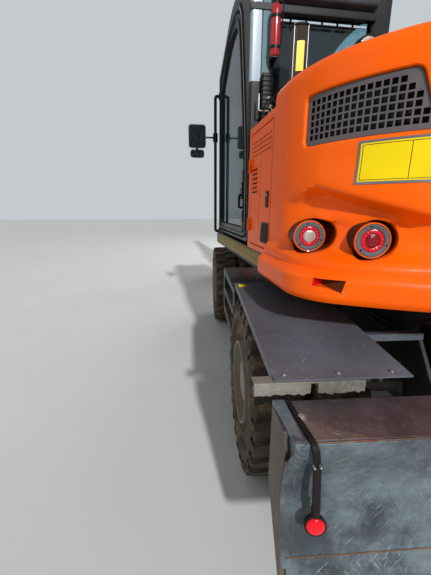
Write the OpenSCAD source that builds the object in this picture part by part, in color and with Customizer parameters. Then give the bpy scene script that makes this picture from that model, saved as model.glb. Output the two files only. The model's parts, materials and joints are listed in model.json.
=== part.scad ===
// Wheeled excavator with mono boom, twin tyres and a rear dozer blade.
// Millimetres, +Y towards the steered axle, +Z up, ground at z = 0.
// Side outlines are tables with the columns [y, z, corner radius].

/* [Undercarriage] */
// Distance between the axles
wheelbase = 2600; // [2500:10:2700]
// Distance of the rear axle behind the swing axis
rear_axle = 1320; // [1280:5:1360]
// Tyre radius out to the tips of its lugs
tyre_r = 525; // [500:5:530]
// Width of one tyre
tyre_w = 275; // [250:5:290]
// Distance between the middles of twin tyres
twin_pitch = 318; // [300:2:330]
// Middle of an outer tyre from the centre plane
outer_tyre_x = 1138; // [1110:2:1150]
// Radius of the rim's bead seat
bead_r = 254; // [240:2:270]
// Depth of the tread lugs
lug_depth = 22; // [12:1:28]
// Half width of the box frame
frame_half = 330; // [300:5:340]
// Height of the frame's top plate
frame_top = 1000; // [980:5:1010]
// Kingpin from the centre plane
kingpin_x = 560; // [545:5:580]
// Length of the steering arms
steer_arm = 180; // [160:5:200]
// Radius of the slewing ring
ring_r = 600; // [560:10:640]
// Radius of the tie-down eyes' bores
eye_r = 28; // [20:1:32]
// Thickness of the tie-down eyes
eye_t = 30; // [20:2:40]
// Mudguard plate thickness
guard_t = 6; // [4:1:10]

/* [Blade] */
// Width of the dozer blade
blade_w = 2480; // [2400:20:2550]
// Height of the blade
blade_h = 580; // [540:10:620]
// Height of the blade's top edge, raised
blade_top = 960; // [930:10:990]
// Rearmost point of the blade's top plate
blade_rear = 2354; // [2320:2:2380]
// Length of the lifting links between their pins
blade_link = 400; // [380:5:420]
// Rise of the links with the blade raised, in degrees
blade_rise = 37; // [33:1:40]

/* [Upper structure] */
// Turn of the upper structure at rest, in degrees
swing_rest = 5; // [-8:1:8]
// Half width of the deck
deck_half = 1195; // [1150:5:1230]
// Underside of the deck's skirt
deck_low = 1215; // [1205:5:1225]
// Top of the deck
deck_top = 1330; // [1320:5:1345]
// Radius of the tail
tail_r = 2200; // [2150:10:2250]
// Radius of the counterweight's corners
tail_corner = 700; // [600:20:760]
// Depth of the counterweight's wings beside the engine bay
wing = 300; // [260:10:340]
// Top of the counterweight
tail_top = 2170; // [2140:10:2200]
// Top of the side bays
door_top = 2090; // [2050:10:2110]
// Top of the engine hood
hood_top = 2350; // [2300:10:2400]
// Gap around doors and lids
door_gap = 8; // [6:1:12]

/* [Cab] */
// Left face of the cab
cab_left = 1195; // [1150:5:1230]
// Right face of the cab, left of the centre plane
cab_right = 270; // [250:5:290]
// Rear face of the cab, behind the swing axis
cab_rear = 740; // [720:10:760]
// Front face of the cab
cab_front = 980; // [960:10:1000]
// Where the cab's left side turns inwards
cab_bend = 500; // [460:10:560]
// Turn of the cab's front left side, in degrees
cab_taper = 12; // [10:1:16]
// Top of the cab roof
cab_top = 3100; // [3000:10:3160]
// Thickness of the cab's walls
cab_wall = 50; // [40:2:60]
// Thickness of the window panes
glass_t = 8; // [5:1:10]

/* [Working equipment] */
// Boom's middle plane right of the swing axis
boom_x = 110; // [100:5:120]
// Boom length between its end pins
boom_len = 4600; // [4500:20:4700]
// Half width of the boom box
boom_half = 140; // [130:2:146]
// Arm length between its pins
arm_len = 2500; // [2400:20:2600]
// Half width of the arm box
arm_half = 115; // [108:1:118]
// Lean of the arm's foot towards the machine, in degrees
arm_lean = 5; // [2:1:8]
// Width of the bucket
bucket_w = 1000; // [900:20:1100]
// Depth of the bucket's floor below its pin
bucket_depth = 805; // [780:5:830]
// Distance between the bucket's two pins
pin_pitch = 380; // [370:2:390]
// Distance between the rocker's pivot and the bucket pin
rocker_drop = 400; // [390:2:410]
// Number of bucket teeth
teeth = 5; // [4:1:6]
// Radius of the main pins
pin_r = 42; // [36:1:48]

/* [Clearances] */
// Side gap between pivoting plates
side_gap = 6; // [5:0.5:8]
// Radial gap of a pin in its bore
pin_gap = 0.5; // [0.3:0.1:1]
// Gap at which fixed pieces seat on each other
seat = 0.3; // [0.2:0.05:0.4]
// Height of the bucket above the ground
ground_gap = 3; // [2:1:10]

/* [Joint ranges] */
// Boom travel below rest, in degrees
boom_down = 27; // [20:1:28]
// Boom travel above rest, in degrees
boom_up = 42; // [35:1:44]
// Arm travel outwards, in degrees
arm_out = 72; // [60:1:74]
// Arm travel inwards, in degrees
arm_in = 24; // [18:1:26]
// Bucket travel when dumped, in degrees
bucket_dump = 62; // [50:1:64]
// Bucket travel when curled, in degrees
bucket_curl = 62; // [50:1:64]

/* [Hidden] */
$fn = 48;

orange = "#d8431c";
dark = "#2b2c2e";
grey = "#5d6164";
rubber = "#1d1d1e";
steel = "#8b8f92";
pane = "#6f8797";

front_axle = wheelbase - rear_axle;
axle_z = tyre_r;
wheel_x = outer_tyre_x - twin_pitch / 2;
frame_tail = -rear_axle - 240;
pedestal_top = frame_top + 50;
swing_low = frame_top + 150;
axle_end = 640;
eye_x = 240;
eye_z = 890;
eye_out = 45;
spindle_r = 45;
blade_back = blade_rear - 198;
blade_low = blade_top - blade_h;

// Pins of the blade's lifting linkage as [y, z]
link_run = rot2([-blade_link, 0], -blade_rise);
blade_pin_low = [-blade_back + 100, blade_top - 260];
blade_pin_high = [-blade_back + 60, blade_top - 80];
frame_pin_low = blade_pin_low - link_run;
frame_pin_high = blade_pin_high - link_run;
blade_ram_base = [frame_tail - 90, frame_top - 60];
blade_ram_arm = 0.56;
blade_arm_x = 300;
blade_ram_x = 184;

// Pins of the boom, arm and bucket
boom_foot = [150, 1900];
rail_foot = 1640;
bay_front = cab_rear + 30;
hood_pin = [-bay_front - 7, hood_top - 8];
hood_low = tail_top + 10;
hood_half = 540;
door_hinges = [1450, 1820];
side_hinge_y = -bay_front - 55 - door_gap / 2;
cab_hinges = [1500, 1780];
grip_x = cab_left + 45;
boom_ram_base = [900, 1406];

// Plan of the tail: middle of a corner of radius r for a half width and a tail radius
function tail_mid(half, r, big) = [half - r, sqrt(pow(big - r, 2) - pow(half - r, 2))];
body_half = deck_half + 9;
body_r = tail_r - 35;
body_mid = tail_mid(body_half, tail_corner, body_r);
tail_wing = body_mid[1] - 85;
tail_front = tail_wing + wing;
engine_bay = 900;
lamp_r = 56;
lamp_z = 1480;
boom_ram_pin = [1850, 620];
arm_ram_base = [1900, 1335];
horn_r = 720;
horn_dir = 172;
bucket_ram_base = [480, 400];
rocker_side = 40;
pin_tilt = 10;

arm_dir = 270 - arm_lean;
tip_z = ground_gap + bucket_depth - arm_len * sin(arm_dir);
boom_angle = asin((tip_z - boom_foot[1]) / boom_len);
arm_angle = arm_dir - boom_angle;
crank_angle = 360 - pin_tilt - arm_dir;
horn_pin = [horn_r * cos(horn_dir), horn_r * sin(horn_dir)];
rocker_pin = [arm_len - rocker_drop, rocker_side];
link_vec = [rocker_drop, -rocker_side];
crank_pin = rocker_pin + rot2([pin_pitch, 0], crank_angle);

// Middle of the whole reach, which the model is shifted by
reach_front = (boom_foot[0] + boom_len * cos(boom_angle)) * cos(swing_rest) + 440;
reach_mid = (reach_front - blade_rear - 46) / 2;

boom_range = [-boom_down, boom_up];
arm_range = [-arm_out, arm_in];
bucket_range = [-bucket_dump, bucket_curl];

// Ram lengths and directions over the joints' travel
function boom_ram(a) = boom_foot + rot2(boom_ram_pin, boom_angle + a) - boom_ram_base;
function arm_ram(a) = [boom_len, 0] + rot2(horn_pin, arm_angle - a) - arm_ram_base;
function bucket_ram(a) = rocker_pin + rot2([pin_pitch, 0], crank_angle - a) - bucket_ram_base;
function blade_ram(a) = frame_pin_low + rot2(link_run * blade_ram_arm, a) - blade_ram_base;
function slide_rate(lo, hi, range) = (norm(hi) - norm(lo)) / (range[1] - range[0]);
function least(rest, rate, range) = min(norm(rest) + rate * range[0], norm(rest) + rate * range[1]);

boom_rate = slide_rate(boom_ram(boom_range[0]), boom_ram(boom_range[1]), boom_range);
boom_closed = least(boom_ram(0), boom_rate, boom_range);
arm_rate = slide_rate(arm_ram(arm_range[0]), arm_ram(arm_range[1]), arm_range);
arm_closed = least(arm_ram(0), arm_rate, arm_range);
bucket_rate = slide_rate(bucket_ram(bucket_range[0]), bucket_ram(bucket_range[1]), bucket_range);
bucket_closed = least(bucket_ram(0), bucket_rate, bucket_range);

// Plain geometry
function rot2(p, a) = [p[0] * cos(a) - p[1] * sin(a), p[0] * sin(a) + p[1] * cos(a)];
function unit(v) = v / norm(v);
function head(v) = atan2(v[1], v[0]);
function turn(d) = d > 180 ? d - 360 : d < -180 ? d + 360 : d;
function arc(c, r, a0, a1, n) = [for (i = [0:n]) c + r * [cos(a0 + (a1 - a0) * i / n), sin(a0 + (a1 - a0) * i / n)]];

// A table's corner, rounded by an arc tangent to both sides
function corner(a, b, c, r, n) =
    let (u = unit(a - b), v = unit(c - b), half = acos(u * v) / 2)
    let (mid = b + unit(u + v) * r / sin(half))
    let (a0 = head(b + u * r / tan(half) - mid), a1 = head(b + v * r / tan(half) - mid))
    arc(mid, r, a0, a0 + turn(a1 - a0), n);
function xy(row) = [row[0], row[1]];
function outline(t, n = 6) = [for (i = [0:len(t) - 1]) each (t[i][2] > 0
    ? corner(xy(t[(i + len(t) - 1) % len(t)]), xy(t[i]), xy(t[(i + 1) % len(t)]), t[i][2], n)
    : [xy(t[i])])];

// The lower machine's and the turned upper machine's frames
module lower() {
    translate([0, -reach_mid, 0])
        children();
}
module upper() {
    translate([0, -reach_mid, 0])
        rotate([0, 0, swing_rest])
            children();
}
module in_boom() {
    upper()
        translate([boom_x, boom_foot[0], boom_foot[1]])
            rotate([boom_angle, 0, 0])
                children();
}
module in_arm() {
    in_boom()
        translate([0, boom_len, 0])
            rotate([arm_angle, 0, 0])
                children();
}
// Level with the bucket's floor, at its pin
module in_bucket() {
    in_arm()
        translate([0, arm_len, 0])
            rotate([-arm_dir, 0, 0])
                children();
}

// A side outline as a plate between two x positions
module plate(x0, x1, table, n = 6) {
    translate([x0, 0, 0])
        rotate([90, 0, 90])
            linear_extrude(x1 - x0)
                polygon(outline(table, n));
}
// A round bar along x at the point p = [y, z]
module bar_x(x0, x1, p, r) {
    translate([x0, p[0], p[1]])
        rotate([0, 90, 0])
            cylinder(h = x1 - x0, r = r);
}
// A block between two corners
module block(a, b) {
    translate(a)
        cube(b - a);
}
// A piece and its mirror image across the plane x = 0
module both() {
    children();
    mirror([1, 0, 0])
        children();
}
// A tube along +Y from the origin
module pipe_y(h, r) {
    rotate([-90, 0, 0])
        cylinder(h = h, r = r);
}
// A straight round rail between two points
module rail(a, b, r) {
    d = b - a;
    translate(a)
        rotate([0, acos(d[2] / norm(d)), atan2(d[1], d[0])])
            cylinder(h = norm(d), r = r, $fn = 16);
}

// Hydraulic rams, from the base pin at the origin along +Y
module ram_barrel(closed, r, rod_r, eye_r, eye_half, bore_r) {
    end = closed - eye_r - 45;
    difference() {
        union() {
            bar_x(-eye_half, eye_half, [0, 0], eye_r);
            translate([0, eye_r * 0.6, 0])
                pipe_y(end - eye_r * 0.6, r);
            translate([0, end - 90, 0])
                pipe_y(90, r + 10);
        }
        bar_x(-max(eye_half, r) - 1, max(eye_half, r) + 1, [0, 0], bore_r);
        translate([0, eye_r + 40, 0])
            pipe_y(end, rod_r + 1);
    }
}
module ram_rod(closed, now, rod_r, eye_r, eye_half, plug_r) {
    start = now - closed + eye_r + 55;
    translate([0, start, 0])
        pipe_y(now - start, rod_r);
    bar_x(-eye_half, eye_half, [now, 0], eye_r);
    bar_x(-eye_half - 3, eye_half + 3, [now, 0], plug_r);
}
module along(base, v) {
    translate([0, base[0], base[1]])
        rotate([head(v), 0, 0])
            children();
}

// Undercarriage

module chassis_frame() {
    lower() color(dark)
        difference() {
            union() {
                plate(-frame_half, frame_half, [
                    [frame_tail, frame_top, 30], [frame_tail, 740, 60],
                    [-rear_axle + 260, 740, 60], [-rear_axle + 420, 600, 80],
                    [front_axle - 420, 600, 80], [front_axle - 260, 740, 60],
                    [front_axle + 330, 740, 60], [front_axle + 430, 800, 40],
                    [front_axle + 430, frame_top, 60]]);
                translate([0, 0, 700])
                    cylinder(h = pedestal_top - 700, r = ring_r - 30);
                // Arms out to the side steps
                for (y = [-420, 300])
                    block([-600, y - 40, 700], [600, y + 40, 860]);
            }
            translate([0, 0, frame_top - 20])
                cylinder(h = 100, r = ring_r - 120);
        }
}

// Brackets of the blade linkage on the back of the frame, two plates and a ram's lugs a side
module blade_brackets() {
    arm = [blade_arm_x - 30 - 20, blade_arm_x + 30];
    base = frame_tail - seat - 16;
    lower() color(dark)
        for (s = [0, 1])
            mirror([s, 0, 0]) {
                block([blade_ram_x - 66, base, 742], [arm[1] + 18, frame_tail - seat, frame_top - 2]);
                for (x = arm)
                    plate(x, x + 20, [
                        [base + 2, frame_top, 0], [frame_tail - 60, frame_top, 30],
                        [frame_pin_high[0] - 55, frame_pin_high[1] + 60, 50],
                        [frame_pin_low[0] - 45, frame_pin_low[1] - 55, 45],
                        [frame_pin_low[0] + 75, frame_pin_low[1] - 40, 45],
                        [base + 2, 745, 0]]);
                bar_x(arm[0] - 8, arm[1] + 30, frame_pin_low, 25);
                bar_x(arm[0] - 8, arm[1] + 30, frame_pin_high, 22);
                // Lugs and pin of the lifting ram
                for (x = [blade_ram_x - 58, blade_ram_x + 44])
                    plate(x, x + 14, [
                        [base + 2, frame_top, 0], [blade_ram_base[0] - 45, frame_top, 40],
                        [blade_ram_base[0] - 40, blade_ram_base[1] - 45, 40], [base + 2, frame_top - 160, 0]]);
                bar_x(blade_ram_x - 60, blade_ram_x + 60, blade_ram_base, 18);
            }
}

module slewing_ring() {
    lower() color(grey)
        translate([0, 0, pedestal_top + seat])
            difference() {
                union() {
                    cylinder(h = 60, r = ring_r);
                    cylinder(h = swing_low - pedestal_top - 2 * seat, r = ring_r - 50);
                }
                translate([0, 0, -1])
                    cylinder(h = 200, r = ring_r - 130);
            }
}

// Axle tube with its differential, from side to side
module axle_body(half, end_r) {
    tube_r = 95;
    rotate([0, 90, 0])
        rotate_extrude()
            polygon([[0, -half], [end_r, -half], [end_r, -half + 40], [tube_r, -half + 60], [tube_r, -260],
                [200, -120], [200, 120], [tube_r, 260], [tube_r, half - 60], [end_r, half - 40], [end_r, half],
                [0, half]]);
}
// Saddle between the axle and the frame, and the pinion nose towards the gearbox
module axle_saddle(toward) {
    block([-280, -130, 60], [280, 130, 740 - axle_z - seat]);
    translate([0, toward < 0 ? -300 : 120, 0])
        pipe_y(180, 90);
}

module rear_axle_beam() {
    lower() color(dark)
        translate([0, -rear_axle, axle_z]) {
            axle_body(axle_end, 120);
            axle_saddle(1);
            bar_x(-axle_end - 200, axle_end + 200, [0, 0], spindle_r);
        }
}

module front_axle_beam() {
    yoke = 150;
    rod = [steer_arm + 20, -20];
    lower() color(dark)
        translate([0, front_axle, axle_z])
            difference() {
                union() {
                    axle_body(kingpin_x - 90, 96);
                    axle_saddle(-1);
                    both() {
                        block([kingpin_x - 120, -60, -yoke - 45], [kingpin_x - 78, 60, yoke + 45]);
                        for (z = [-yoke - 45, yoke])
                            translate([0, 0, z]) {
                                block([kingpin_x - 120, -80, 0], [kingpin_x, 80, 45]);
                                translate([kingpin_x, 0, 0])
                                    cylinder(h = 45, r = 80);
                            }
                        for (z = [-yoke - 50, yoke - 30])
                            translate([kingpin_x, 0, z])
                                cylinder(h = 80, r = 30);
                    }
                    // Steering cylinder ahead of the beam
                    bar_x(-190, 190, rod, 45);
                    block([-60, 90, -50], [60, rod[0], 40]);
                }
                bar_x(-220, 220, rod, 21);
            }
}

// The steering rod's joints with the arms are left open
module steering_rod() {
    end = kingpin_x - 45;
    lower() color(steel)
        translate([0, front_axle + steer_arm + 20, axle_z - 20]) {
            bar_x(-end, end, [0, 0], 20);
            both()
                translate([end, 0, -26])
                    cylinder(h = 46, r = 28);
        }
}

// Yoke and spindle that turn on the kingpin; side is -1 for left
module knuckle(side) {
    disc = axle_end - kingpin_x;
    lower() color(grey)
        translate([side * kingpin_x, front_axle, axle_z])
            mirror([side < 0 ? 1 : 0, 0, 0]) {
                difference() {
                    union() {
                        translate([0, 0, -150 + side_gap])
                            cylinder(h = 2 * (150 - side_gap), r = 52);
                        block([0, -50, -100], [50, 50, 100]);
                    }
                    for (z = [-151, 119])
                        translate([0, 0, z])
                            cylinder(h = 32, r = 30 + pin_gap);
                }
                bar_x(40, disc, [0, 0], 105);
                bar_x(40, disc + 200, [0, 0], spindle_r);
                // Steering arm
                block([-30, 20, -90], [20, steer_arm + 20, -52]);
                block([-62, 140, -90], [-29, steer_arm + 20, -52]);
                translate([-45, steer_arm + 20, -90])
                    cylinder(h = 38, r = 30);
            }
}
module knuckle_left() { knuckle(-1); }
module knuckle_right() { knuckle(1); }

// Tie-down eyes with their flanges on the front of the frame
module tie_down_eyes() {
    face = front_axle + 430;
    flange = 12;
    lower() color(dark) both()
        difference() {
            union() {
                block([eye_x - 55, face + seat, 812], [eye_x + 55, face + flange, 935]);
                plate(eye_x - eye_t / 2, eye_x + eye_t / 2, [
                    [face + 2, 980, 0], [face + eye_out + 45, 930, 40], [face + eye_out + 45, 850, 40],
                    [face + 2, 810, 0]]);
            }
            bar_x(eye_x - eye_t, eye_x + eye_t, [face + eye_out, eye_z], eye_r);
        }
}

module driveline() {
    nose = 300;
    box = [-260, 220];
    z0 = 470;
    joint = 40;
    lower() color(grey) {
        block([-180, box[0], 380], [180, box[1], 600 - seat]);
        // Shafts from the gearbox to the flanges on both axle noses
        for (s = [-1, 1])
            let (axle = s > 0 ? front_axle : -rear_axle, from = s > 0 ? box[1] : box[0])
                let (run = abs(axle - from) - nose - seat - joint) {
                    translate([0, from, z0])
                        mirror([0, s > 0 ? 0 : 1, 0])
                            rotate([atan2(axle_z - z0, run), 0, 0])
                                pipe_y(run, 45);
                    translate([0, axle - s * (nose + seat) - (s > 0 ? joint : 0), axle_z])
                        pipe_y(joint, 70);
                }
    }
}

module rear_mudguards() {
    top = 1117;
    lower() color(dark) both() {
        plate(750, 1236, [
            [-1000, top - 30, 0], [-1100, top, 40], [-blade_back, top - 77, 0],
            [-blade_back, top - 77 - guard_t, 0], [-1102, top - guard_t, 34], [-1004, top - 34, 0]]);
        // Outer lip and the bracket from the frame
        plate(1230, 1236, [
            [-1100, top - 3, 0], [-blade_back, top - 80, 0], [-blade_back, top - 110, 0], [-1100, top - 33, 0]]);
        block([260, -1180, frame_top + seat], [frame_half, -1120, top - 9]);
        block([260, -1180, top - 45], [770, -1120, top - 9]);
        block([blade_arm_x + 50 + seat, -1690, 950], [770, -1640, 985]);
        block([745, -1690, 950], [770, -1640, top - 47]);
    }
}

module side_steps() {
    lower() color(dark) both() {
        difference() {
            plate(600 + seat, 1180, [
                [-620, 940, 30], [-620, 520, 40], [-560, 440, 40], [300, 440, 40], [360, 520, 40], [360, 940, 30]]);
            for (z = [520, 730])
                block([980, -520, z], [1181, 260, z + 150]);
        }
    }
}

// Tyres and rims, on an axis along x; the wheel's middle is between the twins
module tyre() {
    half = tyre_w / 2;
    tread = tyre_r - lug_depth;
    rotate([0, 90, 0])
        rotate_extrude($fn = 72)
            polygon(concat(
                [[bead_r + seat, -half + 45], [bead_r + 50, -half + 12]],
                arc([tread - 75, -half + 45], 45, 250, 140, 6),
                [[tyre_r - 6, -half + 34], [tyre_r, -half + 60], [tyre_r, half - 60], [tyre_r - 6, half - 34]],
                arc([tread - 75, half - 45], 45, 220, 110, 6),
                [[bead_r + 50, half - 12], [bead_r + seat, half - 45]]));
}
module tyre_pair() {
    color(rubber)
        for (x = [-twin_pitch / 2, twin_pitch / 2])
            translate([x, 0, 0])
                tyre();
}
// Disc wheel pair with its hub, the outer side towards +X
module rim_pair() {
    half = tyre_w / 2;
    edge = twin_pitch / 2 + half - 40;
    hub_in = axle_end + side_gap - wheel_x;
    bore = spindle_r + pin_gap;
    color(orange)
        rotate([0, 90, 0])
            rotate_extrude($fn = 72)
                polygon([
                    [bead_r, -edge], [bead_r, edge], [bead_r - 14, edge], [bead_r - 14, twin_pitch / 2 - 20],
                    [150, twin_pitch / 2 - 60], [150, twin_pitch / 2 + 20], [120, twin_pitch / 2 + 70],
                    [0, twin_pitch / 2 + 80], [0, hub_in + 196], [bore, hub_in + 196], [bore, hub_in],
                    [106, hub_in], [106, -twin_pitch / 2 + 60], [bead_r - 14, -twin_pitch / 2 + 60],
                    [bead_r - 14, -edge]]);
}
module at_wheel(side, y) {
    lower()
        translate([side * wheel_x, y, axle_z])
            mirror([side < 0 ? 1 : 0, 0, 0])
                children();
}
module tyres_rear_left() { at_wheel(-1, -rear_axle) tyre_pair(); }
module tyres_rear_right() { at_wheel(1, -rear_axle) tyre_pair(); }
module tyres_front_left() { at_wheel(-1, front_axle) tyre_pair(); }
module tyres_front_right() { at_wheel(1, front_axle) tyre_pair(); }
module rims_rear_left() { at_wheel(-1, -rear_axle) rim_pair(); }
module rims_rear_right() { at_wheel(1, -rear_axle) rim_pair(); }
module rims_front_left() { at_wheel(-1, front_axle) rim_pair(); }
module rims_front_right() { at_wheel(1, front_axle) rim_pair(); }

// Blade

module blade() {
    half = blade_w / 2;
    lower() color(grey) {
        // Mouldboard, hollow towards the rear, with a closed back
        plate(-half, half, [
            [-blade_rear, blade_top, 0], [-blade_rear, blade_top - 20, 0],
            [-blade_rear + 50, blade_top - 180, 200], [-blade_rear + 40, blade_low + 200, 200],
            [-blade_rear - 40, blade_low, 0], [-blade_rear - 10, blade_low, 0],
            [-blade_back, blade_low + 260, 80], [-blade_back, blade_top, 0]], 4);
        // Back brackets with the pins of both link pairs
        both() {
            for (x = [blade_arm_x - 50, blade_arm_x + 30])
                plate(x, x + 20, [
                    [-blade_back - 5, blade_top - 10, 0], [blade_pin_high[0] + 40, blade_top - 30, 40],
                    [blade_pin_low[0] + 45, blade_pin_low[1] - 45, 40], [-blade_back - 5, blade_pin_low[1] - 60, 0]]);
            bar_x(blade_arm_x - 55, blade_arm_x + 55, blade_pin_low, 25);
            bar_x(blade_arm_x - 55, blade_arm_x + 55, blade_pin_high, 22);
        }
    }
}

// A link from the frame pin to the blade pin, with both eyes bored
module blade_bar(p0, p1, r, bore_r) {
    half = 30 - side_gap;
    v = p1 - p0;
    translate([blade_arm_x, 0, 0])
        difference() {
            union() {
                bar_x(-half, half, p0, r);
                bar_x(-half, half, p1, r);
                along(p0, v)
                    block([4 - half, 0, -r * 0.8], [half - 4, norm(v), r * 0.8]);
            }
            bar_x(-half - 1, half + 1, p0, bore_r);
            bar_x(-half - 1, half + 1, p1, bore_r);
        }
}
module blade_arms() {
    stub = frame_pin_low + link_run * blade_ram_arm;
    lower() color(grey) both() {
        blade_bar(frame_pin_low, blade_pin_low, 48, 25 + pin_gap);
        bar_x(blade_ram_x + 22 + 3 + side_gap, blade_arm_x - 20, stub, 30);
    }
}
module blade_links() {
    lower() color(grey) both()
        blade_bar(frame_pin_high, blade_pin_high, 38, 22 + pin_gap);
}
blade_closed = norm(blade_ram(0));
module blade_barrels() {
    lower() color(dark) both()
        translate([blade_ram_x, 0, 0])
            along(blade_ram_base, blade_ram(0))
                ram_barrel(blade_closed, 36, 20, 36, 38, 18 + pin_gap);
}
module blade_rods() {
    lower() color(steel) both()
        translate([blade_ram_x, 0, 0])
            along(blade_ram_base, blade_ram(0))
                ram_rod(blade_closed, blade_closed, 20, 36, 22, 18);
}

// Upper structure

// Plan of the tail behind the bays: round rear, straight sides, round corners
module tail_plan(z0, z1, half, big, r) {
    mid = tail_mid(half, r, big);
    end = mid * big / (big - r);
    translate([0, 0, z0]) {
        block([-half, -mid[1], 0], [half, -tail_wing, z1 - z0]);
        for (s = [-1, 1])
            intersection() {
                translate([s * mid[0], -mid[1], 0])
                    cylinder(h = z1 - z0, r = r, $fn = 192);
                block([-half - 1, -big, 0], [half + 1, 1 - mid[1], z1 - z0]);
            }
        intersection() {
            cylinder(h = z1 - z0, r = big, $fn = 360);
            linear_extrude(z1 - z0)
                polygon([[-mid[0], -mid[1]], [-end[0], -end[1]], [-end[0], -big - 9],
                    [end[0], -big - 9], [end[0], -end[1]], [mid[0], -mid[1]]]);
        }
    }
}
// Ring sector about the left corner of the body
module corner_sector(r0, r1, a0, a1, z0, z1) {
    translate([-body_mid[0], -body_mid[1], z0])
        rotate([0, 0, a0])
            rotate_extrude(angle = a1 - a0, $fn = 192)
                translate([r0, 0])
                    square([r1 - r0, z1 - z0]);
}
// Places of the left side's two lamps, which look backwards
module at_lamps() {
    for (a = [203, 224.6])
        translate([tail_corner * cos(a) - body_mid[0], tail_corner * sin(a) - body_mid[1], lamp_z])
            rotate([90, 0, -12])
                children();
}

module upper_frame() {
    plates = [-boom_half - side_gap - 40, boom_half + side_gap];
    nose = 460;
    upper() color(dark) {
        difference() {
            union() {
                block([-deck_half, seat - tail_wing, deck_low], [deck_half, 600, deck_top]);
                block([seat - engine_bay, seat - tail_front, deck_low], [engine_bay - seat, 1 - tail_wing, deck_top]);
                block([-deck_half + nose, 599, deck_low], [deck_half - nose, 600 + nose, deck_top]);
                for (s = [-1, 1])
                    translate([s * (deck_half - nose), 600, deck_low])
                        cylinder(h = deck_top - deck_low, r = nose);
            }
            // Hollow below the deck plate
            block([-deck_half + 40, 40 - tail_wing, deck_low - 1], [deck_half - 40, 580, deck_top - 60]);
        }
        translate([0, 0, swing_low])
            cylinder(h = deck_top - 30 - swing_low, r = ring_r - 60);
        for (s = [-1, 1])
            block([s * 340 - 60, 39 - tail_wing, deck_low + 5], [s * 340 + 60, 581, deck_top - 50]);
        translate([boom_x, 0, 0]) {
            for (x = plates)
                difference() {
                    plate(x, x + 40, [
                        [-640, deck_top - 5, 0], [-640, 1480, 100], [boom_foot[0] - 120, boom_foot[1] + 150, 110],
                        [boom_foot[0] + 130, boom_foot[1] + 150, 110], [560, 1560, 200],
                        [boom_ram_base[0] + 110, boom_ram_base[1] + 95, 90], [boom_ram_base[0] + 110, deck_top - 5, 0]]);
                    plate(x - 1, x + 41, [
                        [-300, 1420, 50], [40, 1700, 50], [240, 1700, 50], [330, 1420, 50]]);
                }
            bar_x(-boom_half - 60, boom_half + 60, boom_foot, pin_r + 8);
            for (s = [-1, 1])
                bar_x(s > 0 ? boom_half + 20 : -306, s > 0 ? 306 : -boom_half - 20, boom_ram_base, pin_r);
        }
    }
}

module counterweight() {
    low = deck_top - 90;
    band = body_half + 66;
    upper() color(orange)
        difference() {
            union() {
                // Bumper band, shoulder and body
                tail_plan(low, low + 100, band, tail_r, 250);
                tail_plan(low + 99, low + 140, body_half + 36, tail_r - 15, 450);
                intersection() {
                    tail_plan(low + 139, tail_top, body_half, body_r, tail_corner);
                    rotate([90, 0, 0])
                        linear_extrude(tail_r)
                            polygon(outline([
                                [-band, low, 0], [band, low, 0], [body_half, tail_top - 40, 60],
                                [body_half - 90, tail_top, 150], [90 - body_half, tail_top, 150],
                                [-body_half, tail_top - 40, 60]]));
                }
                both()
                    at_lamps()
                        translate([0, 0, -120])
                            cylinder(h = 134, r = lamp_r + 16);
            }
            // Recess for the engine bay
            block([-engine_bay, -tail_front, low - 1], [engine_bay, 1 - tail_wing, tail_top + 1]);
            both() {
                at_lamps()
                    translate([0, 0, -20])
                        cylinder(h = 160, r = lamp_r + 4);
                corner_sector(tail_corner - 16, tail_corner + 20, 196.8, 234, 1845, 2035);
            }
        }
}

module tail_grilles() {
    upper() color(grey) both()
        difference() {
            corner_sector(tail_corner - 14, tail_corner - 8, 196.9, 233.9, 1845 + seat, 2035 - seat);
            for (i = [0:5])
                corner_sector(tail_corner - 20, tail_corner, 199, 231.8, 1860 + i * 27, 1874 + i * 27);
        }
}
module tail_lamps() {
    upper() color("#b3201c") both()
        at_lamps()
            translate([0, 0, seat - 20])
                cylinder(h = 26, r = lamp_r);
}

module engine_block() {
    upper() color(grey) {
        block([-380, 110 - tail_front, deck_top + seat], [420, -bay_front - 90, 1950]);
    }
}

// Side bays and the raised rim that the engine hood closes
module rear_bodywork() {
    wall = 20;
    back = seat - tail_front;
    side_back = seat - tail_wing;
    inner = engine_bay - seat;
    upper() color(orange) {
        difference() {
            union() {
                block([-deck_half, side_back, deck_top + seat], [deck_half, -bay_front, door_top]);
                block([-inner, back, deck_top + seat], [inner, side_back + 1, door_top]);
                block([-hood_half, back, door_top - 1], [hood_half, -bay_front, hood_low]);
            }
            block([-deck_half + wall, side_back + wall, deck_top - 1], [deck_half - wall, -bay_front - wall, door_top - wall]);
            block([-inner + wall, back + wall, deck_top - 1], [inner - wall, side_back + wall + 1, door_top - wall]);
            block([-hood_half + wall, back + wall, door_top - 40], [hood_half - wall, -bay_front - wall, hood_low + 1]);
            both()
                block([deck_half - wall - 1, 45 - tail_wing, deck_top + 30], [deck_half + 1, -bay_front - 55, door_top - 40]);
        }
        // Bulkhead behind the cab with knuckles of the hood's hinge
        block([-hood_half, -bay_front - 2, door_top - 1], [hood_half, -bay_front + 18, hood_pin[1] - 12]);
        for (x = [-460 - seat, 400 + seat]) {
            bar_x(x, x + 60, hood_pin, 10);
            block([x, hood_pin[0] - 2, hood_pin[1] - 20], [x + 60, -bay_front + 18, hood_pin[1]]);
        }
        // Leaves of the side doors' hinges
        both()
            for (z = door_hinges)
                leaf_hinge(deck_half, side_hinge_y, z, 0, 45);
    }
}
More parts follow.
